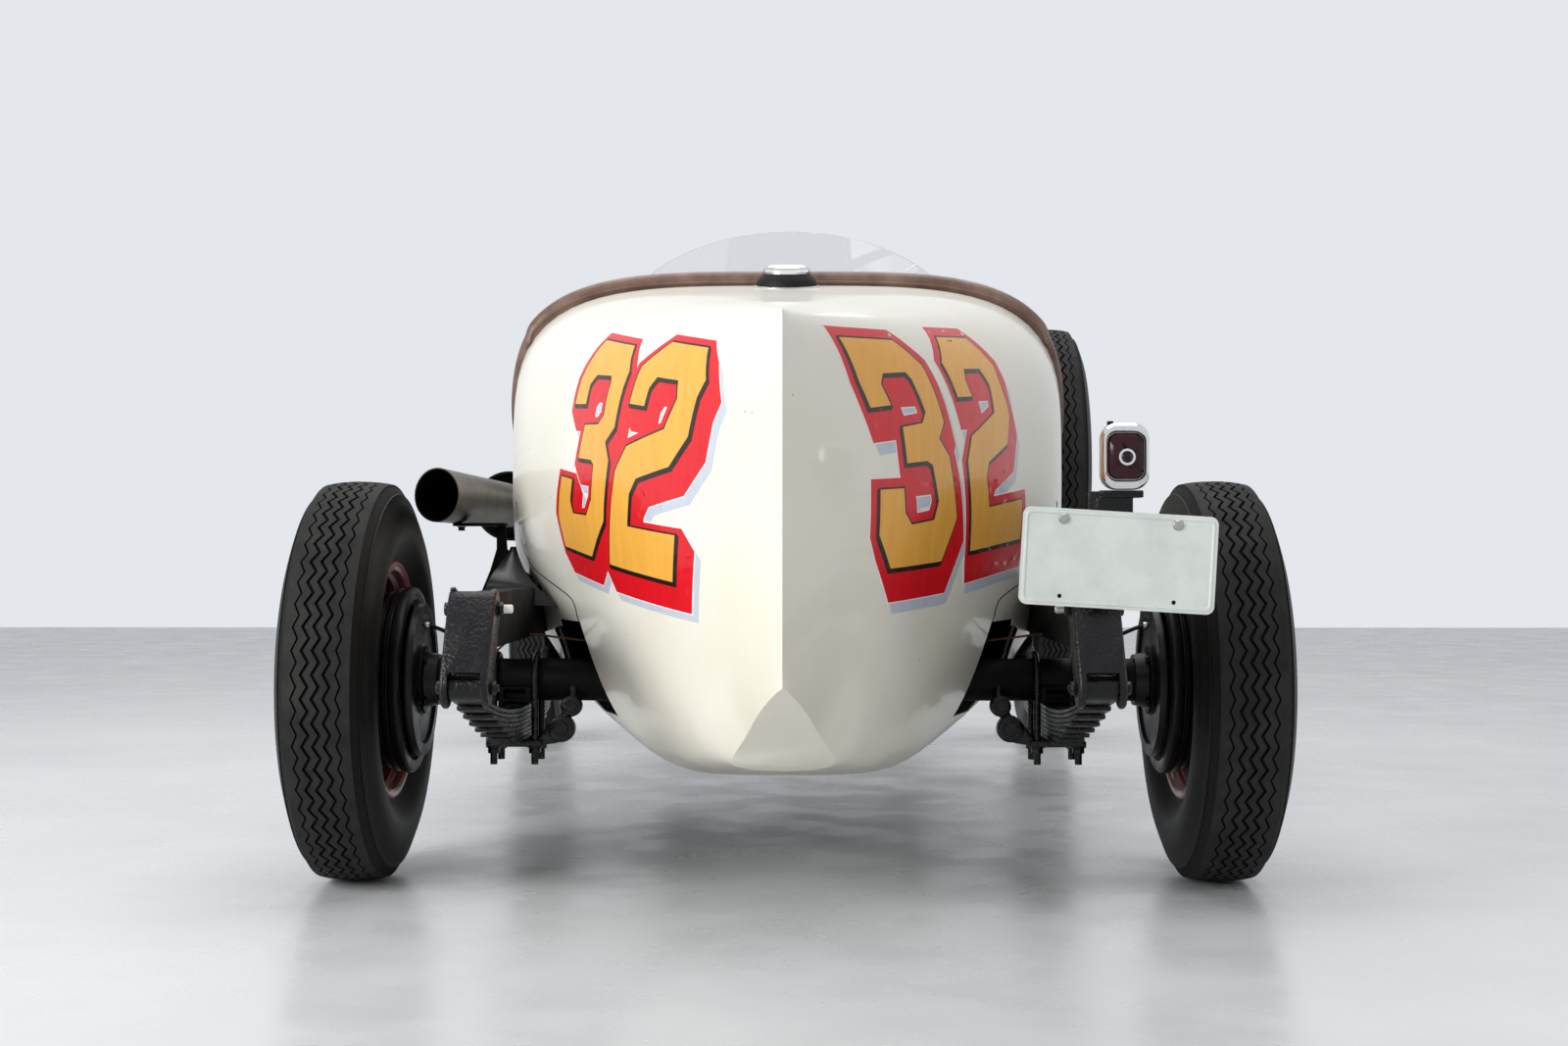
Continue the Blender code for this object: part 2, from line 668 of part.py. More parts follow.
def rear_springs():
    return {
        f"rear_spring_{side}": leaf_pack(
            sign * RAIL_X, SHACKLE_LOWER[:2], (0.58, LOW_EYE_Z), (0.0, REAR_SPRING_TOP - GAP), 8, 0.008,
            f"rear_spring_{side}",
        )
        for side, sign in (("left", -1), ("right", 1))
    }


def front_springs():
    half_length = 0.43
    top = FRONT_PAD_TOP + GAP + 6 * 0.008
    return {
        f"front_spring_{side}": leaf_pack(
            sign * RAIL_FRONT_X,
            (WHEELBASE - half_length, LOW_EYE_Z),
            (WHEELBASE + half_length - 0.01, LOW_EYE_Z),
            (WHEELBASE, top), 6, 0.008, f"front_spring_{side}",
        )
        for side, sign in (("left", -1), ("right", 1))
    }


def shackles():
    """Forged links: two cheeks astride the rail's end and the spring's eye, joined by a web behind."""
    upper, lower = Vector(SHACKLE_UPPER[:2]), Vector(SHACKLE_LOWER[:2])
    down = (lower - upper).normalized()
    back = Vector((down.y, -down.x))
    web_front, beyond, ahead = 0.0235, 0.06, -0.10
    length = (lower - upper).length
    pocket_outline = [
        tuple(upper + down * u + back * v)
        for u, v in (
            (-beyond, web_front), (length + beyond, web_front), (length + beyond, ahead), (-beyond, ahead)
        )
    ]
    half, inner = RAIL_WIDTH / 2 + 0.0125, RAIL_WIDTH / 2 + GAP
    made = []
    for side, sign in (("left", -1), ("right", 1)):
        x = sign * RAIL_X
        outline = round_ended(SHACKLE_UPPER, SHACKLE_LOWER)
        link = prism(outline, "X", x - half, x + half, f"rear_shackle_{side}")
        made.append(cut(link, prism(pocket_outline, "X", x - inner, x + inner, "pocket")))
    return made


BACKING_REAR_X = REAR_HALF_TRACK - 0.114


def rear_axle():
    tube_end = REAR_HALF_TRACK - 0.055 - GAP
    z = REAR_AXLE_Z
    pieces = [
        turned(
            ((-0.16, 0), (-0.15, 0.05), (-0.08, 0.125), (0.0, 0.135), (0.08, 0.125), (0.15, 0.05), (0.16, 0)),
            (0, 0, z), (1, 0, 0), 20, "diff",
        ),
        rod((0, 0.05, z), (0, 1.32, 0.385), 0.032, 12, "torque_tube"),
    ]
    for sign in (1, -1):
        pieces.append(
            turned(
                ((-0.003, 0), (-0.003, 0.136), (0.003, 0.136), (0.003, 0)),
                (sign * BACKING_REAR_X, 0, z), (1, 0, 0), WHEEL_SIDES, "backing_plate",
            )
        )
        pieces.append(
            block(
                (sign * RAIL_X - 0.033, -0.05, REAR_SPRING_TOP), (sign * RAIL_X + 0.033, 0.05, z), "spring_seat"
            )
        )
    return joined(rod((-tube_end, 0, z), (tube_end, 0, z), AXLE_RADIUS, 16, "rear_axle"), *pieces)


FRONT_PAD_TOP = 0.375
BOSS_LOW, BOSS_HIGH = 0.312, 0.372


def front_axle():
    beam = block((-KINGPIN_X, WHEELBASE - 0.022, 0.318), (KINGPIN_X, WHEELBASE + 0.022, 0.366), "front_axle")
    pieces = []
    for sign in (1, -1):
        pieces.append(
            block(
                (sign * RAIL_FRONT_X - 0.032, WHEELBASE - 0.05, 0.345),
                (sign * RAIL_FRONT_X + 0.032, WHEELBASE + 0.05, FRONT_PAD_TOP),
            )
        )
        boss = ((sign * KINGPIN_X, WHEELBASE, BOSS_LOW), (sign * KINGPIN_X, WHEELBASE, BOSS_HIGH))
        pieces.append(rod(*boss, 0.024))
    return joined(beam, *pieces)


TIE_Z = BOSS_LOW - GAP - 0.018 - GAP - 0.010
DRAG_Z = 0.3255  # under the springs and the engine
DRAG_ARM_LOW = DRAG_Z + 0.012 + GAP


BACKING_FRONT_X = FRONT_HALF_TRACK - 0.074


def knuckle(side, sign):
    """A fork over the axle's end, with its spindle, backing plate and steering arms."""
    low, high = BOSS_LOW - GAP, BOSS_HIGH + GAP
    ear, web_near, web_far = 0.022, 0.032, 0.050

    def part(near, far, behind, front, bottom, top):
        x = sorted((sign * (KINGPIN_X + near), sign * (KINGPIN_X + far)))
        return block((x[0], WHEELBASE + behind, bottom), (x[1], WHEELBASE + front, top))

    def pin(bottom, top, name="pin"):
        return rod((sign * KINGPIN_X, WHEELBASE, bottom), (sign * KINGPIN_X, WHEELBASE, top), ear, 12, name)

    pieces = [
        part(0, web_far, -0.02, 0.02, low - 0.02, low),
        part(web_near, web_far, -0.02, 0.02, low - 0.02, high + 0.02),
        part(0, web_far, -0.02, 0.02, high, high + 0.02),
        pin(high, high + 0.02),
        turned(
            ((-0.003, 0), (-0.003, 0.112), (0.003, 0.112), (0.003, 0)),
            (sign * BACKING_FRONT_X, WHEELBASE, FRONT_AXLE_Z), (1, 0, 0), WHEEL_SIDES,
        ),
        rod(
            (sign * (KINGPIN_X + 0.04), WHEELBASE, FRONT_AXLE_Z),
            (sign * (FRONT_HALF_TRACK - 0.055 - GAP), WHEELBASE, FRONT_AXLE_Z), 0.020,
        ),
        part(-0.012, 0.012, -TRACK_ARM - 0.014, 0, low - 0.018, low - 0.002),
    ]
    if sign > 0:
        foot, tip = -0.018, -DRAG_ARM
        outline = (
            (0.034, foot), (0.048, foot), (0.014, tip - 0.014), (-0.014, tip - 0.014), (-0.014, tip + 0.012),
        )
        outline = [(KINGPIN_X + x, WHEELBASE + a) for x, a in outline]
        pieces.append(prism(outline, "Z", DRAG_ARM_LOW, DRAG_ARM_LOW + 0.014, "drag_arm"))
    return joined(pin(low - 0.02, low, f"knuckle_{side}"), *pieces)


def tie_rod():
    ahead = WHEELBASE - TRACK_ARM
    bar = rod((-KINGPIN_X, ahead, TIE_Z), (KINGPIN_X, ahead, TIE_Z), 0.010, 12, "tie_rod")
    ends = [
        rod((sign * KINGPIN_X, ahead, TIE_Z - 0.012), (sign * KINGPIN_X, ahead, TIE_Z + 0.010), 0.015)
        for sign in (1, -1)
    ]
    return joined(bar, *ends)


def drag_link():
    start = (PITMAN[0], PITMAN[1] - DRAG_ARM, DRAG_Z)
    end = (KINGPIN_X, WHEELBASE - DRAG_ARM, DRAG_Z)
    bar = rod(start, end, 0.009, 12, "drag_link")
    ends = [rod((x, a, DRAG_Z - 0.010), (x, a, DRAG_Z + 0.012), 0.014) for x, a, _ in (start, end)]
    return joined(bar, *ends)


PITMAN_DEEP = 0.03


def pitman_arm():
    x, ahead = PITMAN
    low = DRAG_ARM_LOW
    arm = block((x - 0.012, ahead - DRAG_ARM - 0.014, low), (x + 0.012, ahead, low + 0.014), "pitman_arm")
    return joined(arm, rod((x, ahead, low), (x, ahead, low + PITMAN_DEEP), 0.018))


def steering_column():
    """The fixed tube and the steering box that it ends in, against the left rail."""
    x, ahead = PITMAN
    low = DRAG_ARM_LOW + PITMAN_DEEP + GAP
    rail_inner = -(RAIL_FRONT_X - RAIL_WIDTH / 2 - GAP)
    box = block((rail_inner, ahead - 0.07, low), (x + 0.05, ahead + 0.05, low + 0.15), "steering_column")
    wheel, foot = Vector(STEER_AXIS_WHEEL), Vector(STEER_AXIS_BOX)
    along = (foot - wheel).normalized()
    tube = rod(tuple(wheel + along * 0.0345), tuple(foot + along * 0.02), COLUMN_RADIUS)
    return joined(box, tube)


def steering_wheel():
    wheel, foot = Vector(STEER_AXIS_WHEEL), Vector(STEER_AXIS_BOX)
    along = (foot - wheel).normalized()
    direction = tuple(along)
    radius, grip = 0.205, 0.012
    turns = [2 * math.pi * k / 8 for k in range(8)]
    ring = [(grip * math.cos(turn), radius + grip * math.sin(turn)) for turn in turns]
    rim = turned(ring, STEER_AXIS_WHEEL, direction, 28, "steering_wheel")
    hub = turned(((-0.012, 0), (-0.012, 0.026), (0.034, 0.020), (0.034, 0)), STEER_AXIS_WHEEL, direction, 12)
    _, side, up = frame_of(along)
    bars = []
    for k in range(2):
        angle = math.pi / 4 + k * math.pi / 2
        reach = (side * math.cos(angle) + up * math.sin(angle)) * (radius - 0.002)
        middle = wheel + along * 0.003 * k
        bars.append(rod(tuple(middle - reach), tuple(middle + reach), 0.006, 8))
    return joined(rim, *bars, hub)


def engine_block():
    block_low = CROSS_BOTTOM
    engine = block((-0.16, 1.80, block_low), (0.16, 2.45, 0.90), "engine_block")
    reach = rail_x(2.05)
    arms = block((-reach, 2.02, RAIL_TOP + GAP), (reach, 2.08, RAIL_TOP + 0.025))
    gearbox = block((-0.11, 1.3210, 0.345), (0.11, 2.20, 0.425))
    riser = block((-0.11, 1.72, 0.345), (0.11, 2.20, 0.50))
    return joined(engine, riser, gearbox, arms)


# ---------------------------------------------------------------- wheels
def tyre_profile(size):
    half, tread, radius = size["half_width"], size["tread"], size["radius"]
    bead = 0.0565
    inner, flange = RIM_SEAT_RADIUS + 0.0012, RIM_FLANGE_RADIUS + 0.0017
    bulge = flange + (radius - flange) * 0.48
    right = (
        (tread * 0.55, radius), (tread, radius - 0.009), (half, bulge), (bead, flange), (bead, inner),
    )
    return [(-a, r) for a, r in right] + list(reversed(right))


def wheel_profile(drum_depth, drum_radius):
    """Hub cap, disc, rim and, on a running wheel, the brake drum: + is outboard."""
    rim_inner, rim_edge = RIM_SEAT_RADIUS - 0.006, 0.0620
    seat = 0.0570
    profile = [
        (0.055, 0.0), (0.055, 0.030), (0.030, 0.046), (0.028, 0.120), (0.022, rim_inner),
        (rim_edge, rim_inner), (rim_edge, RIM_FLANGE_RADIUS), (seat, RIM_FLANGE_RADIUS), (seat, RIM_SEAT_RADIUS),
        (-seat, RIM_SEAT_RADIUS), (-seat, RIM_FLANGE_RADIUS), (-rim_edge, RIM_FLANGE_RADIUS),
        (-rim_edge, rim_inner), (0.012, rim_inner),
    ]
    if not drum_depth:
        return profile + [(0.018, 0.120), (0.018, 0.0)]
    return profile + [
        (0.012, drum_radius), (-drum_depth + 0.032, drum_radius), (-drum_depth + 0.030, drum_radius + 0.012),
        (-drum_depth, drum_radius + 0.012), (-drum_depth, drum_radius - 0.014), (-0.004, drum_radius - 0.014),
        (-0.004, 0.046), (-0.055, 0.046), (-0.055, 0.0),
    ]


REAR_DRUM = (0.122, 0.157)
FRONT_DRUM = (0.080, 0.132)


def wheel_pair(name, centre, outboard, tyre, drum):
    """A wheel and its tyre, with the wheel's outer side towards outboard."""
    wheel = turned(wheel_profile(*drum), centre, (outboard, 0, 0), WHEEL_SIDES, f"wheel_{name}")
    rubber = turned(tyre_profile(tyre), centre, (outboard, 0, 0), TYRE_SIDES, f"tyre_{name}")
    return wheel, rubber


# ---------------------------------------------------------------- fittings
def exhaust():
    """A straight side pipe with a fat perforated guard, bent in to a flange on the hood's side."""
    near, far = PIPE_FRONT - 0.075, PIPE_FRONT + 0.075
    seat = [(-side_x(a, section_at(a)["waist_z"]) - 5 * GAP, a) for a in (near, far)]
    flange_x = -side_x(PIPE_FRONT, PIPE_Z) - 2 * GAP
    path = [(PIPE_X, a, PIPE_Z) for a in (-0.16, 0.6, 1.2, 1.78)]
    for k in range(1, 7):
        angle = math.pi / 2 * k / 6
        reach = PIPE_FRONT - 1.78
        inward = 0.13 * (1 - math.cos(angle))
        path.append((PIPE_X + inward, 1.78 + reach * math.sin(angle), PIPE_Z + 0.02 * k / 6))
    path.append((flange_x - 0.0085, PIPE_FRONT, PIPE_Z + 0.021))
    outer = swept(path, PIPE_RADIUS, "exhaust", 16)
    guard = turned(
        (
            (GUARD_SPAN[0], 0), (GUARD_SPAN[0], GUARD_RADIUS - 0.01), (GUARD_SPAN[0] + 0.02, GUARD_RADIUS),
            (GUARD_SPAN[1] - 0.02, GUARD_RADIUS), (GUARD_SPAN[1], GUARD_RADIUS - 0.01), (GUARD_SPAN[1], 0),
        ),
        (PIPE_X - 0.004, 0.0, PIPE_Z), (0, 1, 0), 16,
    )
    outline = [*seat, (seat[1][0] - 0.010, far), (seat[0][0] - 0.010, near)]
    flange = prism(outline, "Z", PIPE_Z - 0.035, PIPE_Z + 0.080, "flange")
    pipe = joined(outer, guard, flange)
    pipe = cut(pipe, rod((PIPE_X, -0.30, PIPE_Z), (PIPE_X, 0.90, PIPE_Z), PIPE_RADIUS - PIPE_WALL, 16))
    slash = prism(
        ((PIPE_X - 0.3, -0.30), (PIPE_X + 0.3, -0.30), (PIPE_X + 0.3, -0.3), (PIPE_X - 0.3, 0.3)),
        "Z", PIPE_Z - 0.2, PIPE_Z + 0.2, "slash",
    )
    return cut(pipe, slash)


def exhaust_bracket():
    """A strap under the pipe, on a leg that flares out to stand on the rail."""
    top = PIPE_Z - PIPE_RADIUS * math.cos(math.pi / 16) - GAP
    foot = RAIL_TOP + GAP
    strap = block((PIPE_X + 0.004, 0.150, top - 0.006), (-0.540, 0.210, top), "exhaust_bracket")
    edge = -(RAIL_X + RAIL_WIDTH / 2 + GAP)
    outline = (
        (-0.556, top - 0.001), (-0.556, 0.600), (-0.568, 0.560), (-0.590, 0.506), (edge, 0.506), (edge, foot),
        (-0.470, foot), (-0.510, 0.565), (-0.536, 0.600), (-0.540, top - 0.001),
    )
    return joined(strap, prism(outline, "Y", 0.175, 0.183, "leg"))


def spare_carrier():
    a = SPARE_AHEAD
    near = rail_x(a - 0.02) + RAIL_WIDTH / 2 + 0.0006
    foot = block((near, a - 0.02, 0.450), (0.545, a + 0.02, 0.490), "spare_carrier")
    arm = block((near, a - 0.02, 0.450), (0.545, a + 0.02, SPARE_Z + 0.03))
    boss = rod((0.530, a, SPARE_Z), (SPARE_X + 0.018 - GAP, a, SPARE_Z), 0.045, 16)
    return joined(foot, arm, boss)


def number_plate():
    x, a, z = PLATE_CENTRE
    width, height, thick = PLATE_SIZE
    corners = [(u * width / 2, v * height / 2) for u, v in ((-1, -1), (1, -1), (1, 1), (-1, 1))]
    cos, sin = math.cos(-PLATE_ROLL), math.sin(-PLATE_ROLL)
    outline = [(x + u * cos - v * sin, z + u * sin + v * cos) for u, v in corners]
    return prism(outline, "Y", a - thick / 2, a + thick / 2, "number_plate")


def lamp_bracket():
    """From the rail's end up over the shackle, behind the plate, to a shelf for the lamp."""
    front = PLATE_CENTRE[1] + PLATE_SIZE[2] / 2 + GAP
    foot = block((0.470, -0.460, RAIL_TOP + GAP), (0.510, -0.400, RAIL_TOP + 0.008), "lamp_bracket")
    riser = block((0.475, -0.460, RAIL_TOP + 0.002), (0.505, -0.448, 0.575))
    arm = block((0.475, front, 0.560), (0.505, -0.448, 0.575))
    upright = block((0.475, front, 0.560), (0.545, front + 0.006, 0.690))
    shelf = block((0.495, front - 0.008, 0.680), (0.560, front + 0.050, LAMP_CENTRE[1] - LAMP_HALF[1] - GAP))
    return joined(foot, riser, arm, upright, shelf)


def rounded_rectangle(half_w, half_h, radius, centre, steps=3):
    outline = []
    for k, (sx, sz) in enumerate(((1, 1), (-1, 1), (-1, -1), (1, -1))):
        for j in range(steps + 1):
            angle = math.pi / 2 * (k + j / steps)
            outline.append(
                (
                    centre[0] + sx * (half_w - radius) + radius * math.cos(angle),
                    centre[1] + sz * (half_h - radius) + radius * math.sin(angle),
                )
            )
    return outline


def tail_lamp():
    front = PLATE_CENTRE[1]
    outline = rounded_rectangle(*LAMP_HALF, 0.026, LAMP_CENTRE)
    return prism(outline, "Y", front - 0.030, front + 0.030, "tail_lamp")


def filler_cap():
    """The filler on the deck: a wide base with a cap on it, square to the deck."""
    ahead, step = 0.19, 0.05
    tilt = (crown_at(ahead + step, 0) - crown_at(ahead - step, 0)) / (2 * step)
    profile = (
        (0, 0), (0, 0.058), (0.014, 0.056), (0.026, 0.046), (0.026, 0.044), (0.040, 0.042), (0.045, 0.030), (0.045, 0),
    )
    return turned(profile, (0, ahead, crown_at(ahead, 0) + 2 * GAP), (0, -tilt, 1), 20, "filler_cap")


def headlamps():
    """Two lamps on a bar across the rails' front."""
    bar = rod((-0.42, 2.86, 0.66), (0.42, 2.86, 0.66), 0.012, 10, "headlamps")
    pieces = []
    for sign in (1, -1):
        x = sign * RAIL_FRONT_X
        pieces.append(block((x - 0.015, 2.845, RAIL_TOP + GAP), (x + 0.015, 2.875, 0.665)))
        pieces.append(rod((sign * 0.30, 2.86, 0.655), (sign * 0.30, 2.86, 0.78), 0.012, 10))
        pieces.append(
            turned(
                ((-0.10, 0), (-0.09, 0.045), (-0.03, 0.085), (0.03, 0.095), (0.045, 0.095), (0.055, 0)),
                (sign * 0.30, 2.86, 0.775), (0, 1, 0), 16,
            )
        )
    return joined(bar, *pieces)


def brake_lines():
    """The pipe along the axle and over its middle, with a hose at each end."""
    along = (AXLE_RADIUS + 0.0043) / math.sqrt(2)
    z = REAR_AXLE_Z + along
    half = (
        (BACKING_REAR_X - 0.0040, -0.035, 0.463), (0.640, -0.035, 0.461), (0.620, -0.036, 0.450),
        (0.590, -0.038, 0.434), (0.555, -0.038, 0.422), (0.500, -0.034, 0.402), (0.440, -along, z),
        (0.200, -along, z), (0.165, -0.045, 0.415), (0.125, -0.072, 0.458), (0.080, -0.090, 0.475),
    )
    path = [*half, (0.0, -0.095, 0.480)] + [(-x, a, h) for x, a, h in reversed(half)]
    return swept(path, 0.004, "brake_lines", 8)


def seats():
    floor, middle, half = SILL_Z + TUB_WALL + GAP, 0.48, 0.385
    wall = TAIL_FRONT + BULKHEAD_THICK + 3 * GAP
    cushion = block((-half, middle, floor), (half, 0.95, 0.640), "seat_cushion")
    outline = ((wall, floor), (middle - GAP, floor), (middle - GAP, 0.66), (0.425, 1.020), (0.345, 1.020))
    return cushion, prism(outline, "X", -half, half, "seat_back")


# ---------------------------------------------------------------- the whole car
def main():
    for old in list(bpy.data.objects):
        bpy.data.objects.remove(old)
    paint = material("cream_enamel", (0.86, 0.83, 0.72), 0.3)
    black = material("black_chassis_paint", (0.02, 0.02, 0.022), 0.45)
    red = material("red_wheel_enamel", (0.35, 0.01, 0.01), 0.35)
    rubber = material("tyre_rubber", (0.03, 0.03, 0.032), 0.8)
    leather = material("brown_leather", (0.16, 0.08, 0.06), 0.6)
    chrome = material("chrome_plate", (0.8, 0.8, 0.8), 0.1, 1.0)
    perspex = material("clear_acrylic", (0.9, 0.92, 0.92), 0.05, 0.0, 0.3)
    plate_white = material("pressed_plate", (0.75, 0.76, 0.74), 0.4)
    iron = material("cast_iron", (0.2, 0.2, 0.2), 0.6, 0.6)

    finish = {}

    def keep(obj, look):
        obj.data.materials.clear()
        obj.data.materials.append(look)
        finish[obj.name] = obj
        return obj

    keep(tail(), paint)
    keep(body_tub(), paint)
    for side, sign in (("left", -1), ("right", 1)):
        keep(hood_top(side, sign), paint)
        keep(hood_side(side, sign), paint)
    keep(radiator(), paint)
    keep(coaming(), leather)
    keep(windscreen(), perspex)
    for obj in seats():
        keep(obj, leather)
    keep(frame(), black)
    for obj in (*rear_springs().values(), *front_springs().values(), *shackles()):
        keep(obj, black)
    keep(rear_axle(), black)
    keep(front_axle(), black)
    for side, sign in (("left", -1), ("right", 1)):
        keep(knuckle(side, sign), black)
    keep(tie_rod(), black)
    keep(drag_link(), black)
    keep(pitman_arm(), black)
    keep(steering_column(), black)
    keep(steering_wheel(), black)
    keep(engine_block(), iron)
    keep(exhaust(), black)
    keep(exhaust_bracket(), black)
    keep(spare_carrier(), black)
    keep(lamp_bracket(), black)
    keep(number_plate(), plate_white)
    keep(tail_lamp(), chrome)
    keep(filler_cap(), chrome)
    keep(headlamps(), chrome)
    keep(brake_lines(), black)
    for side, sign in (("left", -1), ("right", 1)):
        for end, ahead, half_track, tyre, drum, z in (
            ("rear", 0.0, REAR_HALF_TRACK, REAR_TYRE, REAR_DRUM, REAR_AXLE_Z),
            ("front", WHEELBASE, FRONT_HALF_TRACK, FRONT_TYRE, FRONT_DRUM, FRONT_AXLE_Z),
        ):
            wheel, tyre_made = wheel_pair(f"{end}_{side}", (sign * half_track, ahead, z), sign, tyre, drum)
            keep(wheel, red)
            keep(tyre_made, rubber)
    wheel, tyre_made = wheel_pair("spare", (SPARE_X, SPARE_AHEAD, SPARE_Z), 1, REAR_TYRE, (0, 0))
    keep(wheel, red)
    keep(tyre_made, rubber)

    hang_bodies(finish)


def hang_bodies(finish):
    """Puts each moving body's pieces under an empty that stands on its joint's axis."""

    def pivot(name, place, parent=None):
        empty = bpy.data.objects.new(name, None)
        bpy.context.scene.collection.objects.link(empty)
        at = Vector((place[0], y_at(place[1]), place[2]))
        if parent:
            empty.parent = parent[0]
            empty.location = at - parent[1]
        else:
            empty.location = at
        return empty, at

    def hang(names, held):
        empty, at = held
        for name in names:
            finish[name].data.transform(Matrix.Translation(-at))
            finish[name].parent = empty

    for side, sign in (("left", -1), ("right", 1)):
        hang(
            [f"wheel_rear_{side}", f"tyre_rear_{side}"],
            pivot(f"spin_rear_{side}", (sign * REAR_HALF_TRACK, 0, REAR_AXLE_Z)),
        )
        steer = pivot(f"steer_{side}", (sign * KINGPIN_X, WHEELBASE, FRONT_AXLE_Z))
        hang([f"knuckle_{side}"], steer)
        hang(
            [f"wheel_front_{side}", f"tyre_front_{side}"],
            pivot(f"spin_front_{side}", (sign * FRONT_HALF_TRACK, WHEELBASE, FRONT_AXLE_Z), steer),
        )
        if side == "left":
            hang(["tie_rod"], pivot("tie_rod_end", (-KINGPIN_X, WHEELBASE - TRACK_ARM, TIE_Z), steer))
        hang([f"hood_{side}"], pivot(f"hinge_{side}", hinge_line()[0]))
    arm = pivot("pitman_shaft", (PITMAN[0], PITMAN[1], DRAG_Z))
    hang(["pitman_arm"], arm)
    hang(["drag_link"], pivot("drag_link_end", (PITMAN[0], PITMAN[1] - DRAG_ARM, DRAG_Z), arm))
    hang(["steering_wheel"], pivot("steering_axis", STEER_AXIS_WHEEL))


main()
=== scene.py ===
# %% [markdown]
# # A speedster's tail, wheels and springs, modelled round a fixed frame
#
# The frame is the car's solid model: every solid has its place, its size and the body that it moves with.
# This lesson gives it its looks. Most pieces start as a primitive or a copy of a solid, are shaped by the
# operators that a modeller uses by hand, get a material named for the real finish, and ride on the body that
# carries them.

from math import cos, exp, hypot, pi, radians, sin

import bpy
import numpy as np
from mathutils import Matrix, Vector
from mathutils.bvhtree import BVHTree
from mathutils.geometry import delaunay_2d_cdt


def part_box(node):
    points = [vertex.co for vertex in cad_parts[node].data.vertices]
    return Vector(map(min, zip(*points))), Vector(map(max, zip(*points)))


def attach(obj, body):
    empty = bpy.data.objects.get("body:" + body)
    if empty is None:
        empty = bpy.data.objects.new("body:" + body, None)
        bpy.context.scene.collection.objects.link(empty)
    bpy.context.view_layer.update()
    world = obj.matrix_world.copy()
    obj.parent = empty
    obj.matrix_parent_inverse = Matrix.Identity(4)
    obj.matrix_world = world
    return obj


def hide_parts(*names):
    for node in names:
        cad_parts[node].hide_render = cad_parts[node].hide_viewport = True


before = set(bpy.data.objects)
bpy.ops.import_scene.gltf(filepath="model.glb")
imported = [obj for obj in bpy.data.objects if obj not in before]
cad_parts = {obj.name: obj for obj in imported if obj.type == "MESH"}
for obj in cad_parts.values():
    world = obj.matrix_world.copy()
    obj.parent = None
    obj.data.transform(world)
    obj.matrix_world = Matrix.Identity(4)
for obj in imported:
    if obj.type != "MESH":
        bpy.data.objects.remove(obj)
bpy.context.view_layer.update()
print("solids:", len(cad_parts))

# %% [markdown]
# ## Places in the frame
#
# The car faces +Y and stands on z = 0. Places along it are easiest to think of as "so far ahead of the rear
# axle", so one function turns such a place into Y. Sizes that the frame already has are read from it.

# %% Middles and the rear axle
MM = 0.001


def middle(node):
    """The middle of a CAD node's box."""
    low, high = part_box(node)
    return (low + high) / 2


REAR_AXLE = (middle("tyre_rear_left") + middle("tyre_rear_right")) / 2
FRONT_AXLE = (middle("tyre_front_left") + middle("tyre_front_right")) / 2


def y_at(ahead):
    """Y of a place that many metres ahead of the rear axle."""
    return REAR_AXLE.y + ahead


SIDES = (("left", -1), ("right", 1))
print("wheelbase", round(FRONT_AXLE.y - REAR_AXLE.y, 3), "track", round(2 * middle("tyre_rear_right").x, 3))

# %% [markdown]
# ## Hand tools
#
# A bpy.ops operator acts on everything that is selected, and loading the frame leaves its solids selected.
# So each tool below first clears the selection, then works on the one object it has just made.

# %% Selecting, applying and finishing
ops = bpy.ops


def only(*objects):
    """Selects these objects alone and makes the last one active."""
    if bpy.context.object and bpy.context.object.mode == "EDIT":
        ops.object.mode_set(mode="OBJECT")
    ops.object.select_all(action="DESELECT")
    for piece in objects:
        piece.select_set(True)
    bpy.context.view_layer.objects.active = objects[-1]
    return objects[-1]


def edited(piece, operator, **settings):
    """Runs one edit-mode operator on the whole of a piece."""
    only(piece)
    ops.object.mode_set(mode="EDIT")
    ops.mesh.select_all(action="SELECT")
    operator(**settings)
    ops.object.mode_set(mode="OBJECT")
    return piece


def modify(piece, kind, **settings):
    """Adds a modifier with its settings and applies it."""
    only(piece)
    modifier = piece.modifiers.new(kind, kind)
    for name, value in settings.items():
        setattr(modifier, name, value)
    ops.object.modifier_apply(modifier=modifier.name)
    return piece


def eased(piece, width, segments=2, angle=30):
    """Bevels the edges that turn by more than an angle in degrees."""
    return modify(
        piece, "BEVEL", width=width, segments=segments, limit_method="ANGLE", angle_limit=radians(angle)
    )


def cleaned(piece, distance=1e-5):
    """Merges doubled points and turns a closed shell's faces outward."""
    edited(piece, ops.mesh.remove_doubles, threshold=distance)
    return edited(piece, ops.mesh.normals_make_consistent, inside=False)


def settled(piece):
    """Puts the object at the origin, unturned and unscaled, with its place in its mesh."""
    only(piece)
    ops.object.transform_apply(location=True, rotation=True, scale=True)
    return piece


def as_mesh(piece, name):
    """Makes a curve a mesh, closed at its caps."""
    only(piece)
    ops.object.convert(target="MESH")
    piece = bpy.context.object
    piece.name = name
    return cleaned(piece)


def one_piece(name, *pieces):
    """Several objects as one, under a new name."""
    if len(pieces) > 1:
        only(*pieces)
        ops.object.join()
    piece = only(bpy.context.object if len(pieces) > 1 else pieces[0])
    piece.name = piece.data.name = name
    return piece


def copied(piece, name):
    """A copy with its own mesh."""
    made = piece.copy()
    made.data = piece.data.copy()
    made.name = made.data.name = name
    bpy.context.scene.collection.objects.link(made)
    return made


def mirrored(piece, name):
    """The same piece for the car's other side."""
    made = copied(piece, name)
    made.data.transform(Matrix.Scale(-1, 4, (1, 0, 0)))
    return edited(made, ops.mesh.flip_normals)


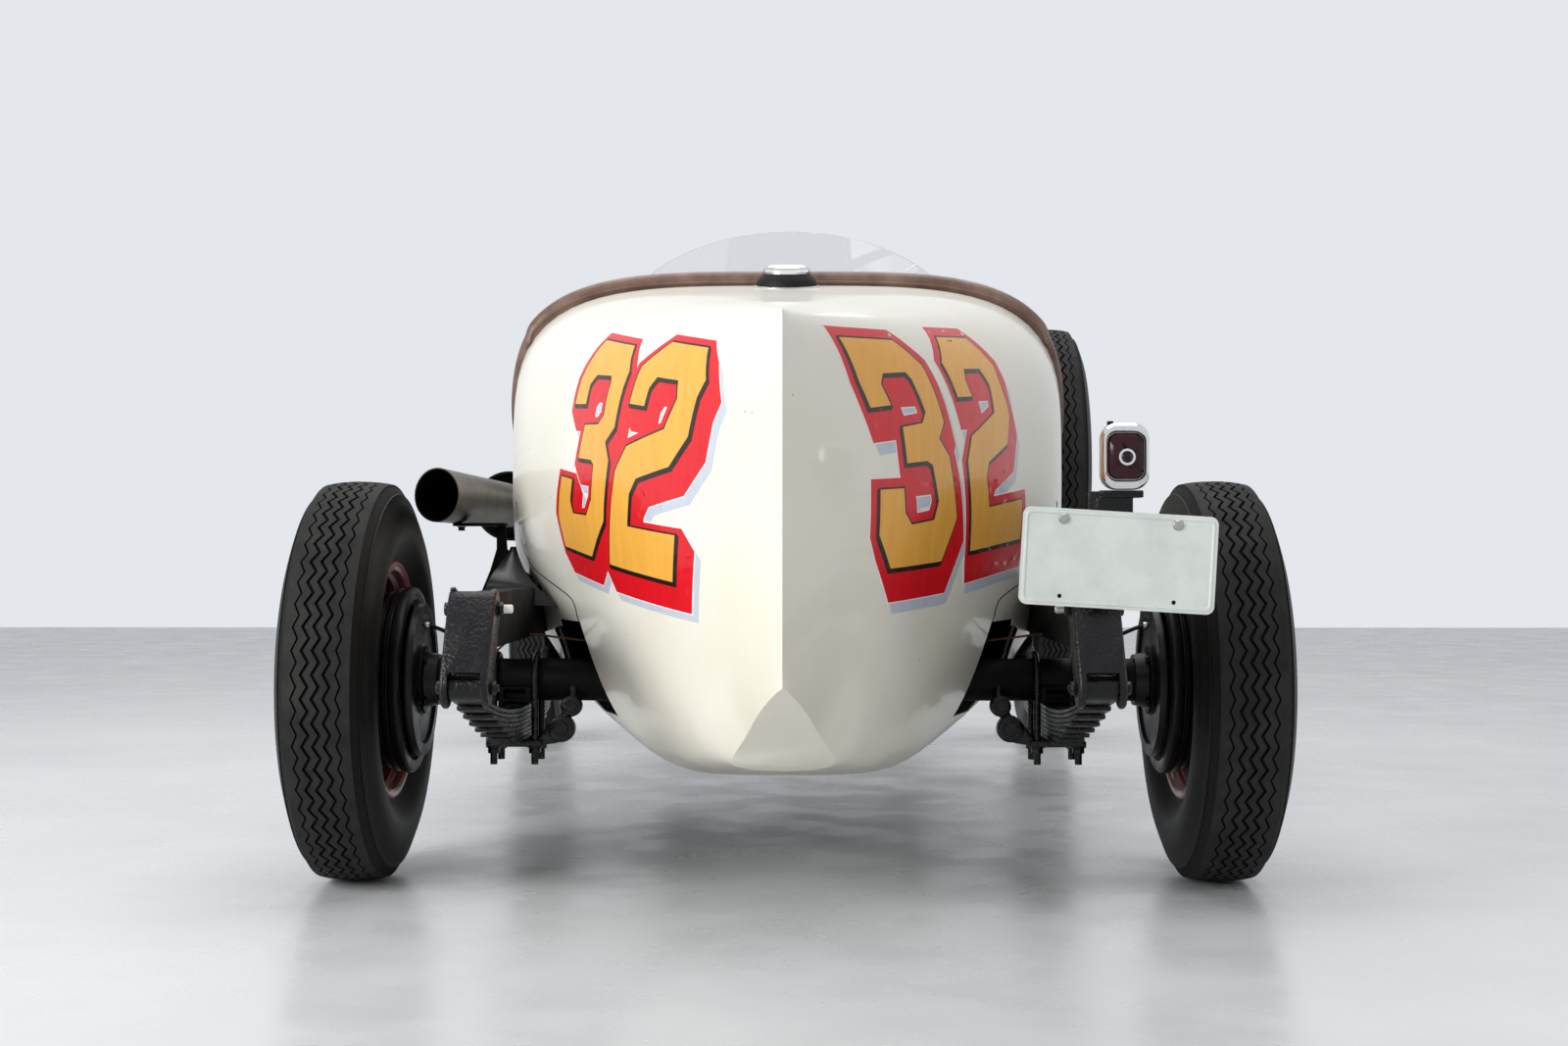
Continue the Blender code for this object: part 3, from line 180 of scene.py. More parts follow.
def finish(piece, material, slot, *nodes, body="chassis", angle=35):
    """Gives a piece its shading, material and body, and hides the CAD nodes it stands for. The slot is not
    used.
    """
    settled(piece)
    ops.object.shade_smooth_by_angle(angle=radians(angle))
    if material:
        piece.data.materials.clear()
        piece.data.materials.append(material)
    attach(piece, body)
    if nodes:
        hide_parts(*nodes)
    print(f"{piece.name}: {len(piece.data.polygons)} faces")
    return piece


# %% [markdown]
# The next tools start shapes. A grid primitive bent through a function makes skins and tyres. A ring of
# points extruded makes plates and cutters. A profile turned by the spin operator makes wheels, drums, caps
# and lamps. A curve with a round bevel makes pipes.

# %% Starting shapes
AXES = {"X": Vector((1, 0, 0)), "Y": Vector((0, 1, 0)), "Z": Vector((0, 0, 1))}


def started(name, primitive, **settings):
    """A primitive added by its operator, alone in the selection, under its name."""
    ops.object.select_all(action="DESELECT")
    primitive(**settings)
    piece = bpy.context.object
    piece.name = name
    return piece


def shown(name, data):
    """A new object for a curve, mesh, lamp or camera, linked to the scene."""
    made = bpy.data.objects.new(name, data)
    bpy.context.scene.collection.objects.link(made)
    return made


def mm(*profile):
    """A profile written in millimetres, in metres."""
    return [(a * MM, b * MM) for a, b in profile]


def round_x(centre, radius, count, start=0.0):
    """Points evenly round an axis that runs along X."""
    turns = (start + 2 * pi * k / count for k in range(count))
    return [Vector(centre) + Vector((0, radius * cos(a), radius * sin(a))) for a in turns]


def grid_piece(name, columns, rows, place):
    """A grid primitive whose points are moved to place(u, v), with u and v from 0 to 1."""
    piece = started(name, ops.mesh.primitive_grid_add, x_subdivisions=columns, y_subdivisions=rows, size=1)
    for vertex in piece.data.vertices:
        vertex.co = place(vertex.co.x + 0.5, vertex.co.y + 0.5)
    return piece


def extruded(name, outline, along, low, high):
    """A flat ring of 3-D points, extruded along X, Y or Z from one level to another.

    The outline gives the two other coordinates, in the order of the axes.
    """
    piece = started(name, ops.mesh.primitive_circle_add, vertices=len(outline), fill_type="NGON")
    for vertex, (a, b) in zip(piece.data.vertices, outline):
        vertex.co = {"X": (low, a, b), "Y": (a, low, b), "Z": (a, b, low)}[along]
    move = {"value": AXES[along] * (high - low)}
    return cleaned(edited(piece, ops.mesh.extrude_region_move, TRANSFORM_OT_translate=move))


def spun(name, profile, centre, axis, steps=64, closed=False):
    """A profile of (along, radius) points spun round an axis through centre.

    An open profile starts and ends on the axis. A closed one is a ring, such as a tyre's section.
    """
    axis = Vector(axis).normalized()
    helper = AXES["Z"] if abs(axis.z) < 0.9 else AXES["X"]
    out = helper.cross(axis).normalized()
    piece = started(name, ops.mesh.primitive_circle_add, vertices=len(profile), fill_type="NOTHING")
    for vertex, (along, radius) in zip(piece.data.vertices, profile):
        vertex.co = Vector(centre) + axis * along + out * radius
    piece.data.update()
    ops.object.mode_set(mode="EDIT")
    if not closed:
        ops.mesh.select_mode(type="EDGE")
        ops.mesh.select_all(action="DESELECT")
        ops.object.mode_set(mode="OBJECT")
        ends = {0, len(profile) - 1}
        for edge in piece.data.edges:
            edge.select = set(edge.vertices) == ends
        ops.object.mode_set(mode="EDIT")
        ops.mesh.delete(type="EDGE")
        ops.mesh.select_mode(type="VERT")
    ops.mesh.select_all(action="SELECT")
    ops.mesh.spin(steps=steps, angle=2 * pi, center=centre, axis=axis)
    ops.object.mode_set(mode="OBJECT")
    return cleaned(piece)


def pipe(name, path, radius, sides=12, smooth=True):
    """A round bar or pipe along points, with closed ends."""
    curve = bpy.data.curves.new(name, "CURVE")
    curve.dimensions = "3D"
    curve.bevel_depth = radius
    curve.bevel_resolution = max(sides // 2 - 2, 0)
    curve.use_fill_caps = True
    spline = curve.splines.new("NURBS" if smooth and len(path) > 2 else "POLY")
    spline.points.add(len(path) - 1)
    for point, place in zip(spline.points, path):
        point.co = (*place, 1.0)
    if smooth and len(path) > 2:
        spline.order_u = min(3, len(path))
        spline.use_endpoint_u = True
        spline.resolution_u = 4
    return as_mesh(shown(name, curve), name)


def block(name, low, high, edge=0.0):
    """A cube primitive between two corners, its edges bevelled."""
    low, high = Vector(low), Vector(high)
    middle_of = (low + high) / 2
    piece = settled(started(name, ops.mesh.primitive_cube_add, size=1, location=middle_of, scale=high - low))
    return eased(piece, edge) if edge else piece


def less(piece, *cutters):
    """Cuts other solids out of a piece; the cutters are used up."""
    for cutter in cutters:
        modify(piece, "BOOLEAN", operation="DIFFERENCE", solver="EXACT", object=cutter)
        bpy.data.objects.remove(cutter)
    return piece


def refined(node, name, edge=1.5 * MM, dissolve=3.0, segments=2):
    """A copy of a CAD solid with its flats made whole again and its edges eased."""
    piece = copied(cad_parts[node], name)
    piece.parent = None
    for key in list(piece.keys()):
        del piece[key]
    only(piece)
    ops.object.mode_set(mode="EDIT")
    ops.mesh.select_all(action="SELECT")
    ops.mesh.remove_doubles(threshold=1e-5)
    ops.mesh.dissolve_limited(angle_limit=radians(dissolve))
    ops.object.mode_set(mode="OBJECT")
    return eased(piece, edge, segments, 40)


def bolts(name, places, axis, across=12 * MM, height=6 * MM, washer=True, stud=0.0):
    """Hexagon bolt heads or nuts with washers, standing out from their places along an axis."""
    axis = Vector(axis).normalized()
    turn = axis.to_track_quat("Z", "Y").to_matrix().to_4x4()
    made = []
    for place in places:
        parts = [(6, across / 3**0.5, height)]
        if washer:
            parts.append((16, across * 0.72, 1.5 * MM))
        if stud:
            parts.append((10, across * 0.3, height + stud))
        for sides, radius, depth in parts:
            piece = started(
                "bolt", ops.mesh.primitive_cylinder_add, vertices=sides, radius=radius, depth=depth
            )
            if sides == 6:
                eased(piece, 0.8 * MM, 1)
            piece.data.transform(Matrix.Translation((0, 0, depth / 2)))
            piece.data.transform(Matrix.Translation(Vector(place)) @ turn)
            made.append(piece)
    return one_piece(name, *made)

# %% [markdown]
# ## Camera, floor and light
#
# The car is seen from straight behind, from the height of a crouching person, with a moderately long lens. It
# stands on a plain polished floor in a bright room. The light is soft: a wide lamp high on the left, a weaker
# one on the right, and a white room all round, so that the left flank is the bright one.

# %% Camera
CAMERA_BACK = 3.71  # metres behind the rear axle
camera_data = bpy.data.cameras.new("camera")
camera_data.sensor_width = 36
camera_data.lens = 46.58
camera = shown("camera", camera_data)
camera.location = (0.028, y_at(-CAMERA_BACK), 0.6)
camera.rotation_euler = (radians(90 + 0.733), 0, radians(0.487))
bpy.context.scene.camera = camera
bpy.context.scene.view_settings.view_transform = "Standard"
print("camera", tuple(round(value, 3) for value in camera.location))

# %% [markdown]
# Colours are written as the sRGB hex values of the real finishes. One function turns them to the linear
# values that the nodes want, one more adds a node with its settings, values and links, and another starts a
# material.


# %% Colour and nodes
def linear(text):
    """An sRGB hex colour as linear red, green, blue and alpha."""
    values = []
    for k in (1, 3, 5):
        share = int(text[k : k + 2], 16) / 255
        values.append(share / 12.92 if share <= 0.04045 else ((share + 0.055) / 1.055) ** 2.4)
    return (*values, 1.0)


def add(tree, kind, values=None, links=None, **settings):
    """A shader node with its settings, its sockets' values and the sockets or nodes that feed it.

    A node that feeds another gives its first output. A pattern that nothing else places stands on Object
    coordinates.
    """
    node = tree.nodes.new("ShaderNode" + kind)
    for name, value in settings.items():
        setattr(node, name, value)
    for name, value in (values or {}).items():
        node.inputs[name].default_value = value
    links = dict(links or {})
    if kind in ("TexNoise", "TexVoronoi", "TexWave", "Mapping", "SeparateXYZ") and "Vector" not in links:
        place = tree.nodes.get("Texture Coordinate") or add(tree, "TexCoord")
        links["Vector"] = place.outputs["Object"]
    for name, source in links.items():
        tree.links.new(getattr(source, "outputs", [source])[0], node.inputs[name])
    return node


def feed(shader, **sources):
    """Links each node's first output to the shader's socket of that name."""
    for name, node in sources.items():
        shader.id_data.links.new(node.outputs[0], shader.inputs[name.replace("_", " ")])


def new_material(name, colour, roughness, **values):
    """A material with its shader's own sockets set; returns it with its tree and shader."""
    material = bpy.data.materials.new(name)
    material.use_nodes = True
    tree = material.node_tree
    shader = tree.nodes["Principled BSDF"]
    shader.inputs["Base Color"].default_value = linear(colour)
    shader.inputs["Roughness"].default_value = roughness
    for socket, value in values.items():
        shader.inputs[socket.replace("_", " ")].default_value = value
    return material, tree, shader


def mottled(shader, patches, low, dark, high, light):
    """Lets the colour drift between two tones with a pattern; returns the node that gives the tone."""
    tone = add(shader.id_data, "ValToRGB", links={"Fac": patches})
    ends = tone.color_ramp.elements
    ends[0].position, ends[0].color = low, linear(dark)
    ends[1].position, ends[1].color = high, linear(light)
    feed(shader, Base_Color=tone)
    return tone


# %% Lamps
def lamp(name, place, target, size, watts):
    """A wide soft lamp that faces its target."""
    data = bpy.data.lights.new(name, "AREA")
    data.shape = "RECTANGLE"
    data.size, data.size_y = size
    data.energy = watts
    made = shown(name, data)
    made.location = place
    made.rotation_euler = (Vector(target) - Vector(place)).to_track_quat("-Z", "Y").to_euler()


lamp("key_left", (-4.4, -4.7, 2.6), (0, -0.8, 0.45), (3.0, 2.8), 275)
lamp("fill_right", (4.6, -3.6, 2.6), (0, -0.6, 0.5), (2.6, 2.2), 28)
lamp("overhead", (0, 0.4, 4.2), (0, 0.2, 0.4), (3.6, 5.0), 110)

# %% World
world = bpy.data.worlds.new("studio")
bpy.context.scene.world = world
world.use_nodes = True
tree = world.node_tree
tree.nodes.clear()
paths = add(tree, "LightPath")
shiny = add(tree, "Math", {1: 0.8}, {0: paths.outputs["Is Glossy Ray"]}, operation="MULTIPLY")
either = add(tree, "Math", links={0: paths.outputs["Is Camera Ray"], 1: shiny}, operation="MAXIMUM")
seen = add(tree, "Math", links={0: either, 1: paths.outputs["Is Transmission Ray"]}, operation="MAXIMUM")
room = add(tree, "Background", {"Color": linear("#EDEFF2"), "Strength": 0.5})
backdrop = add(tree, "Background", {"Color": linear("#E4E7EB"), "Strength": 1.0})
mixed = add(tree, "MixShader", links={0: seen, 1: room, 2: backdrop})
add(tree, "OutputWorld", links={"Surface": mixed})

# %% Floor
floor_concrete, tree, shader = new_material("polished_concrete", "#D9DBDC", 0.3)
clouds = add(tree, "TexNoise", {"Scale": 1.1, "Detail": 6.0, "Roughness": 0.6})
mottled(shader, clouds, 0.3, "#D2D5D7", 0.7, "#E0E2E3")
wear = add(tree, "TexNoise", {"Scale": 5.0, "Detail": 5.0})
gloss = add(
    tree, "MapRange", {"From Min": 0.3, "From Max": 0.7, "To Min": 0.2, "To Max": 0.36}, {"Value": wear}
)
feed(shader, Roughness=gloss)
floor = started("floor", ops.mesh.primitive_plane_add, size=60)
FLOOR_END = 11.8  # the wall's foot, ahead of the rear axle
floor.data.transform(Matrix.Translation((0, y_at(FLOOR_END) - 30, 0)))
floor.data.materials.append(floor_concrete)

# %% [markdown]
# ## Paints, rubbers and metals
#
# A finish starts from what it is. Enamel on sheet steel is a coloured layer under a glossy one, with a faint
# ripple, a few stone chips and a film of dust towards the road. Brush-painted chassis black is thick and
# uneven. Patterns stand on Object coordinates, and each scale is one over a real size, so that it can be
# checked.


# %% Cream enamel
def per(size):
    """The texture scale that repeats about once in a real size in metres."""
    return 1.0 / size


cream_enamel, tree, shader = new_material(
    "cream_enamel", "#F1EDE0", 0.32, Coat_Weight=0.45, Coat_Roughness=0.06, Specular_IOR_Level=0.4
)
mottle = add(tree, "TexNoise", {"Scale": per(0.35), "Detail": 4.0, "Roughness": 0.55})
tone = mottled(shader, mottle, 0.3, "#ECE7D6", 0.7, "#F3F0E6")
height = add(tree, "SeparateXYZ").outputs["Z"]
road_film = add(
    tree, "MapRange", {"From Min": 0.62, "From Max": 0.24, "To Min": 0.0, "To Max": 0.3}, {"Value": height}
)
streak_place = add(tree, "Mapping", {"Scale": (1.0, 1.0, 0.12)})
streaks = add(tree, "TexNoise", {"Scale": per(0.05), "Detail": 3.0}, {"Vector": streak_place})
film = add(tree, "Math", links={0: road_film, 1: streaks}, operation="MULTIPLY")
dusted = add(tree, "MixRGB", {"Color2": linear("#CDBF9C")}, {"Fac": film, "Color1": tone})
# Stone chips: the cores of sparse cells 45 mm apart, each a spot of about 2 mm.
chip_cells = add(tree, "TexVoronoi", {"Scale": per(0.045), "Randomness": 1.0})
chip_core = add(tree, "Math", {1: 0.035}, {0: chip_cells}, operation="LESS_THAN")
chip_pick = add(tree, "TexNoise", {"Scale": per(0.22), "Detail": 1.0})
chip_here = add(tree, "Math", {1: 0.56}, {0: chip_pick}, operation="GREATER_THAN")
chips = add(tree, "Math", links={0: chip_core, 1: chip_here}, operation="MULTIPLY")
chipped = add(tree, "MixRGB", {"Color2": linear("#8E8371")}, {"Fac": chips, "Color1": dusted})
# Sprayed enamel ripples by a few hundredths of a millimetre, 12 mm from crest to crest.
ripple = add(tree, "TexNoise", {"Scale": per(0.012), "Detail": 1.0})
relief = add(tree, "Bump", {"Strength": 0.05, "Distance": 0.0006}, {"Height": ripple})
feed(shader, Base_Color=chipped, Normal=relief, Coat_Normal=relief)

# %% [markdown]
# Most other paints and rubbers share one build: the finish's own colour gives way to a dusty one in patches,
# and a fine relief lies over it. What differs is the size of the patches, how far the dust goes, and the
# relief.


# %% Two colours and a relief
def weathered(name, colour, dusty, roughness, patches, dust, relief=None, drawn=None, **values):
    """A finish with a dusty second colour; returns the material, its tree and shader, and the patches' node.

    The patches are (size, detail, roughness), the dust (where it starts, where it is full, how much), and the
    relief (size, detail, roughness, strength, depth). A drawn-out pattern has a scale for each axis.
    """
    material, tree, shader = new_material(name, colour, roughness, **values)
    place = {"Vector": add(tree, "Mapping", {"Scale": drawn})} if drawn else None
    size, detail, rough = patches
    cloud = add(tree, "TexNoise", {"Scale": per(size), "Detail": detail, "Roughness": rough}, place)
    start, full, most = dust
    share = add(
        tree, "MapRange", {"From Min": start, "From Max": full, "To Min": 0, "To Max": most},
        {"Value": cloud},
    )
    toned = add(tree, "MixRGB", {"Color1": linear(colour), "Color2": linear(dusty)}, {"Fac": share})
    feed(shader, Base_Color=toned)
    if relief:
        size, detail, rough, strength, depth = relief
        lumps = add(tree, "TexNoise", {"Scale": per(size), "Detail": detail, "Roughness": rough})
        feed(shader, Normal=add(tree, "Bump", {"Strength": strength, "Distance": depth}, {"Height": lumps}))
    return material, tree, shader, cloud


# %% Signwriter's paints
def sign_paint(name, colour, shade, worn=0.4):
    """Flat hand-brushed lettering enamel: two close tones in soft upright strokes 14 mm wide."""
    return weathered(
        name, colour, shade, 0.34, (0.014, 3.0, 0.5), (0.35, 0.75, worn), drawn=(1.0, 1.0, 0.1),
        Coat_Weight=0.45, Coat_Roughness=0.1, Specular_IOR_Level=0.4,
    )[0]


numeral_amber = sign_paint("numeral_amber", "#F3B24A", "#E09B38", 0.5)
numeral_black = sign_paint("numeral_black", "#17120F", "#2A211C")
numeral_red = sign_paint("numeral_red", "#DF1421", "#BF101C", 0.4)
numeral_white = sign_paint("numeral_white", "#F7F5F0", "#E8E4DA")
numeral_shade = sign_paint("numeral_shade", "#C6CDD8", "#B4BCC8")


# %% Black paints
def black_paint(name, colour, roughness, lump, depth, coat=0.0, shine=0.25):
    """Black chassis paint: brush marks and lumps of a real size, dulled here and there by dust."""
    material, tree, shader, dust = weathered(
        name, colour, "#1B1A19", roughness, (0.08, 5.0, 0.65), (0.52, 0.8, 0.4),
        (lump, 3.0, 0.55, 0.6, depth), Coat_Weight=coat, Coat_Roughness=0.25, Specular_IOR_Level=shine,
    )
    low, high = roughness - 0.08, roughness + 0.18
    gloss = add(
        tree, "MapRange", {"From Min": 0.3, "From Max": 0.7, "To Min": low, "To Max": high}, {"Value": dust}
    )
    feed(shader, Roughness=gloss)
    return material


chassis_black = black_paint("brushed_on_chassis_black", "#060607", 0.5, 0.016, 0.0016, shine=0.12)
forging_black = black_paint("lumpy_forging_black", "#060608", 0.2, 0.006, 0.003, shine=0.32)
drum_black = black_paint("smooth_drum_black", "#060607", 0.34, 0.03, 0.0004, coat=0.1, shine=0.2)


# %% Rubber
def rubber(name, colour, dusty, grain, roughness=0.74):
    """Cured rubber: nearly black, with pale road dust and a fine moulded grain."""
    return weathered(
        name, colour, dusty, roughness, (0.06, 6.0, 0.7), (0.35, 0.8, 0.9), (grain, 2.0, 0.5, 0.35, 0.0005),
        Specular_IOR_Level=0.22,
    )[0]


tyre_rubber = rubber("tyre_rubber", "#1B1B1C", "#34332F", 0.004)
# A darker rubber for the groove walls and floors and the recessed shoulder: painted shade in the recesses.
shaded_groove_rubber = rubber("tyre_groove_rubber", "#0B0B0C", "#171715", 0.004)
seal_rubber = rubber("seal_rubber", "#0F0F10", "#1D1C1B", 0.003, 0.55)

# %% [markdown]
# ## The body's skin
#
# The body is one hand-beaten shape: at each place along the car its cross-section is a rounded shoulder over
# slightly bulged sides, and behind the cockpit it goes on under the sill to a boat-like keel. Such a skin is
# a loft. It is laid out as the frame's body was, by a short table of sections with smooth curves between
# them. A grid primitive for the right half is bent on to it, mirrored, cut by bisecting, and thickened by
# Solidify.

# %% The sections
SILL_Z = 0.5
COLUMNS = ("half_w", "waist_z", "crown_z", "power", "hull_w", "keel_z", "keel_w", "hull_power")
SECTIONS = (  # ahead, then the columns
    (-0.71, 0.0, 0.72, 0.955, 3.0, 0.0, 0.25, 0.0, 1.5),
    (-0.6, 0.095, 0.72, 0.972, 3.0, 0.086, 0.247, 0.0, 1.5),
    (-0.46, 0.215, 0.73, 0.996, 3.2, 0.194, 0.243, 0.08, 1.6),
    (-0.31, 0.315, 0.74, 1.02, 3.4, 0.28, 0.2255, 0.11, 2.0),
    (-0.1, 0.425, 0.75, 1.055, 3.7, 0.356, 0.2, 0.11, 2.2),
    (0.1, 0.505, 0.75, 1.088, 3.9, 0.43, 0.215, 0.11, 2.2),
    (0.3, 0.542, 0.75, 1.12, 4.0, 0.497, 0.32, 0.15, 2.2),
    (0.55, 0.556, 0.75, 1.128, 4.0, 0.515, 0.45, 0.3, 2.2),
    (0.85, 0.56, 0.75, 1.125, 4.0, 0.518, 0.45, 0.3, 2.2),
    (1.15, 0.545, 0.75, 1.115, 3.8, 0.506, 0.45, 0.3, 2.2),
    (1.4, 0.51, 0.75, 1.1, 3.6, 0.472, 0.46, 0.3, 2.2),
    (1.7, 0.455, 0.74, 1.07, 3.2, 0.422, 0.47, 0.3, 2.2),
    (2.2, 0.385, 0.73, 1.04, 3.0, 0.345, 0.5, 0.3, 2.2),
    (2.7, 0.315, 0.72, 1.015, 2.8, 0.3, 0.5, 0.3, 2.2),
)
STERN, TAIL_FRONT, COWL_FRONT, HOOD_FRONT = -0.71, 0.3, 1.7, 2.66


def section_at(ahead):
    """The section's values at a place along the car, on smooth curves through the table."""
    rows = SECTIONS
    k = max(i for i in range(len(rows) - 1) if rows[i][0] <= ahead or i == 0)
    span = rows[k + 1][0] - rows[k][0]
    t = (ahead - rows[k][0]) / span

    def slope(i, column):
        if i in (0, len(rows) - 1):
            j = min(i, len(rows) - 2)
            return (rows[j + 1][column] - rows[j][column]) / (rows[j + 1][0] - rows[j][0])
        before = (rows[i][column] - rows[i - 1][column]) / (rows[i][0] - rows[i - 1][0])
        after = (rows[i + 1][column] - rows[i][column]) / (rows[i + 1][0] - rows[i][0])
        return 0.0 if before * after <= 0 else 2 * before * after / (before + after)

    values = {}
    for column, name in enumerate(COLUMNS, start=1):
        values[name] = (
            (2 * t**3 - 3 * t**2 + 1) * rows[k][column]
            + (t**3 - 2 * t**2 + t) * span * slope(k, column)
            + (3 * t**2 - 2 * t**3) * rows[k + 1][column]
            + (t**3 - t**2) * span * slope(k + 1, column)
        )
    return values


def bulge_power(ahead):
    """How square the side is: soft on the tail and fuller where it covers the frame's rails."""
    return 2.5 + 1.5 * min(max((ahead + 0.1) / 0.4, 0), 1.0)


def side_x(ahead, z):
    """Half the body's width at a height, over the sill."""
    s = section_at(ahead)
    if z < s["waist_z"]:
        t = min((s["waist_z"] - z) / (s["waist_z"] - SILL_Z), 1.0)
        return s["hull_w"] + (s["half_w"] - s["hull_w"]) * (1 - t ** bulge_power(ahead))
    rise = min((z - s["waist_z"]) / (s["crown_z"] - s["waist_z"]), 1.0)
    return s["half_w"] * (1 - rise ** s["power"]) ** (1 / s["power"])


def crown_at(ahead, x):
    """The height of the body's top at a distance from the centre line."""
    s = section_at(ahead)
    share = (1 - min(abs(x) / s["half_w"], 1.0) ** s["power"]) ** (1 / s["power"])
    return s["waist_z"] + (s["crown_z"] - s["waist_z"]) * share


def evenly(points, count):
    """The same line with its points at equal distances."""
    lengths = [0]
    for (a, b), (c, d) in zip(points, points[1:]):
        lengths.append(lengths[-1] + hypot(c - a, d - b))
    made, k = [], 0
    for i in range(count + 1):
        reach = lengths[-1] * i / count
        while k < len(points) - 2 and lengths[k + 1] < reach:
            k += 1
        share = (reach - lengths[k]) / max(lengths[k + 1] - lengths[k], 1e-12)
        (a, b), (c, d) = points[k], points[k + 1]
        made.append((a + (c - a) * share, b + (d - b) * share))
    return made


def right_outline(ahead, shoulder, side, hull):
    """The right half of a section as (x, z): shoulder, side and hull in so many even steps each."""
    s = section_at(ahead)
    quarter = [pi / 2 * k / 80 for k in range(81)]
    over = [
        (
            s["half_w"] * sin(angle) ** (2 / s["power"]),
            s["waist_z"] + (s["crown_z"] - s["waist_z"]) * max(cos(angle), 0) ** (2 / s["power"]),
        )
        for angle in quarter
    ]
    line = evenly(over, shoulder)
    for k in range(1, side + 1):
        z = s["waist_z"] - (s["waist_z"] - SILL_Z) * k / side
        line.append((side_x(ahead, z), z))
    if hull:
        power = 2 / s["hull_power"]
        under = [
            (
                s["keel_w"] + (s["hull_w"] - s["keel_w"]) * max(cos(angle), 0) ** power,
                SILL_Z - (SILL_Z - s["keel_z"]) * sin(angle) ** power,
            )
            for angle in quarter
        ]
        line += evenly(under, hull)[1:] + [(0, s["keel_z"])]
        # Behind the axle the side flows into the hull, so the corner at the sill is faired away there.
        fairing = min(max((0.1 - ahead) / 0.28, 0), 1.0)
        first, last = shoulder + 1, shoulder + side + hull - 4
        for _ in range(int(70 * fairing)):
            eased = list(line)
            for k in range(first, last):
                share = 0.5 * sin(pi * (k - first) / (last - first)) ** 2
                between_x = (line[k - 1][0] + line[k + 1][0]) / 2
                eased[k] = (line[k][0] + (between_x - line[k][0]) * share, line[k][1])
            line = eased
    return line


print("tail", STERN, "to", TAIL_FRONT, "and hood to", HOOD_FRONT)


# %% A half skin, mirrored
def outward(skin):
    """Turns an open skin over if its widest face looks inward."""
    widest = max(skin.data.polygons, key=lambda face: face.center.x)
    return edited(skin, ops.mesh.flip_normals) if widest.normal.x < 0 else skin


def half_skin(name, rear, front, rows, shoulder, side, hull, bunch=1.0):
    """The right half of the skin between two places along the car, mirrored into a whole."""
    columns = shoulder + side + (hull + 1 if hull else 0)
    outlines = {}

    def place_of(u, v):
        key = round(v * rows)
        if key not in outlines:
            ahead = rear + (front - rear) * (key / rows) ** bunch
            outlines[key] = (y_at(ahead), right_outline(ahead, shoulder, side, hull))
        y, outline = outlines[key]
        x, z = outline[round(u * columns)]
        return (x, y, z)

    piece = grid_piece(name, columns, rows, place_of)
    modify(piece, "MIRROR", use_mirror_merge=True, merge_threshold=1e-5)
    return outward(edited(piece, ops.mesh.remove_doubles, threshold=1e-5))


def bisected(piece, point, normal, fill=False, drop=True):
    """Cuts a piece by a plane and, unless told not to, drops what lies on the plane's outer side."""
    return edited(piece, ops.mesh.bisect, plane_co=point, plane_no=normal, use_fill=fill, clear_outer=drop)


def smoothed(piece, rounds):
    """Evens out ripples between sections, holding the skin's free edges and its centre line."""
    only(piece)
    uses = {}
    for face in piece.data.polygons:
        for key in face.edge_keys:
            uses[key] = uses.get(key, 0) + 1
    held = {i for key, count in uses.items() if count == 1 for i in key}
    held |= {
        vertex.index
        for vertex in piece.data.vertices if abs(vertex.co.x) < 1e-4 and vertex.co.z > SILL_Z - 0.1
    }
    ops.object.mode_set(mode="EDIT")
    ops.mesh.select_all(action="DESELECT")
    ops.object.mode_set(mode="OBJECT")
    for vertex in piece.data.vertices:
        vertex.select = vertex.index not in held
    ops.object.mode_set(mode="EDIT")
    ops.mesh.vertices_smooth(factor=0.5, repeat=rounds)
    ops.object.mode_set(mode="OBJECT")
    return piece


# %% The tail
FACET_REAR = (STERN, 0.396)  # the bevel under the stern: ahead and height of its two ends
FACET_FRONT = (-0.465, 0.243)
TAIL_SKIN = 2.5 * MM  # a double skin of sheet metal, folded at its edges

tail = half_skin("tail_skin", STERN, TAIL_FRONT, 52, 26, 10, 16, bunch=1.25)
run, drop = FACET_FRONT[0] - FACET_REAR[0], FACET_FRONT[1] - FACET_REAR[1]
smoothed(tail, 6)
bisected(tail, (0, y_at(STERN), FACET_REAR[1]), (0, drop, -run), fill=True)
SLOT_HALF, SLOT_LOW, SLOT_HIGH = 0.075, 0.3, 0.47
tail_tree = BVHTree.FromPolygons(
    [vertex.co.copy() for vertex in tail.data.vertices], [tuple(face.vertices) for face in tail.data.polygons]
)
for point, normal in (
    ((0, y_at(-SLOT_HALF), 0), (0, 1, 0)), ((0, y_at(SLOT_HALF), 0), (0, 1, 0)),
    ((0, 0, SLOT_LOW), (0, 0, 1)), ((0, 0, SLOT_HIGH), (0, 0, 1)),
):
    bisected(tail, point, normal, drop=False)
ops.object.mode_set(mode="EDIT")
ops.mesh.select_all(action="DESELECT")
ops.mesh.select_mode(type="FACE")
ops.object.mode_set(mode="OBJECT")
for face in tail.data.polygons:
    ahead = face.center.y - REAR_AXLE.y
    face.select = abs(ahead) < SLOT_HALF and SLOT_LOW < face.center.z < SLOT_HIGH
ops.object.mode_set(mode="EDIT")
ops.mesh.delete(type="FACE")
ops.mesh.select_mode(type="VERT")
ops.object.mode_set(mode="OBJECT")
modify(tail, "SOLIDIFY", thickness=TAIL_SKIN, offset=-1.0)
finish(tail, cream_enamel, "cream_paint", "tail", angle=32)

# %% [markdown]
# ## The painted numerals
#
# A signwriter lays each block numeral out in a leaning box on the flank, then builds it in layers: a pale
# blue shade cast down and aside, a white edge, a red ground, a black line heavier on the shaded side, and
# amber on top. Each layer is a flat shape that has to lie on the curved skin. Its parts overlap, so a
# Delaunay triangulation joins them into one shape with extra points in between, and every point is then laid
# on the skin. A thin wall from Solidify sinks each layer into the skin, so that no edge floats.

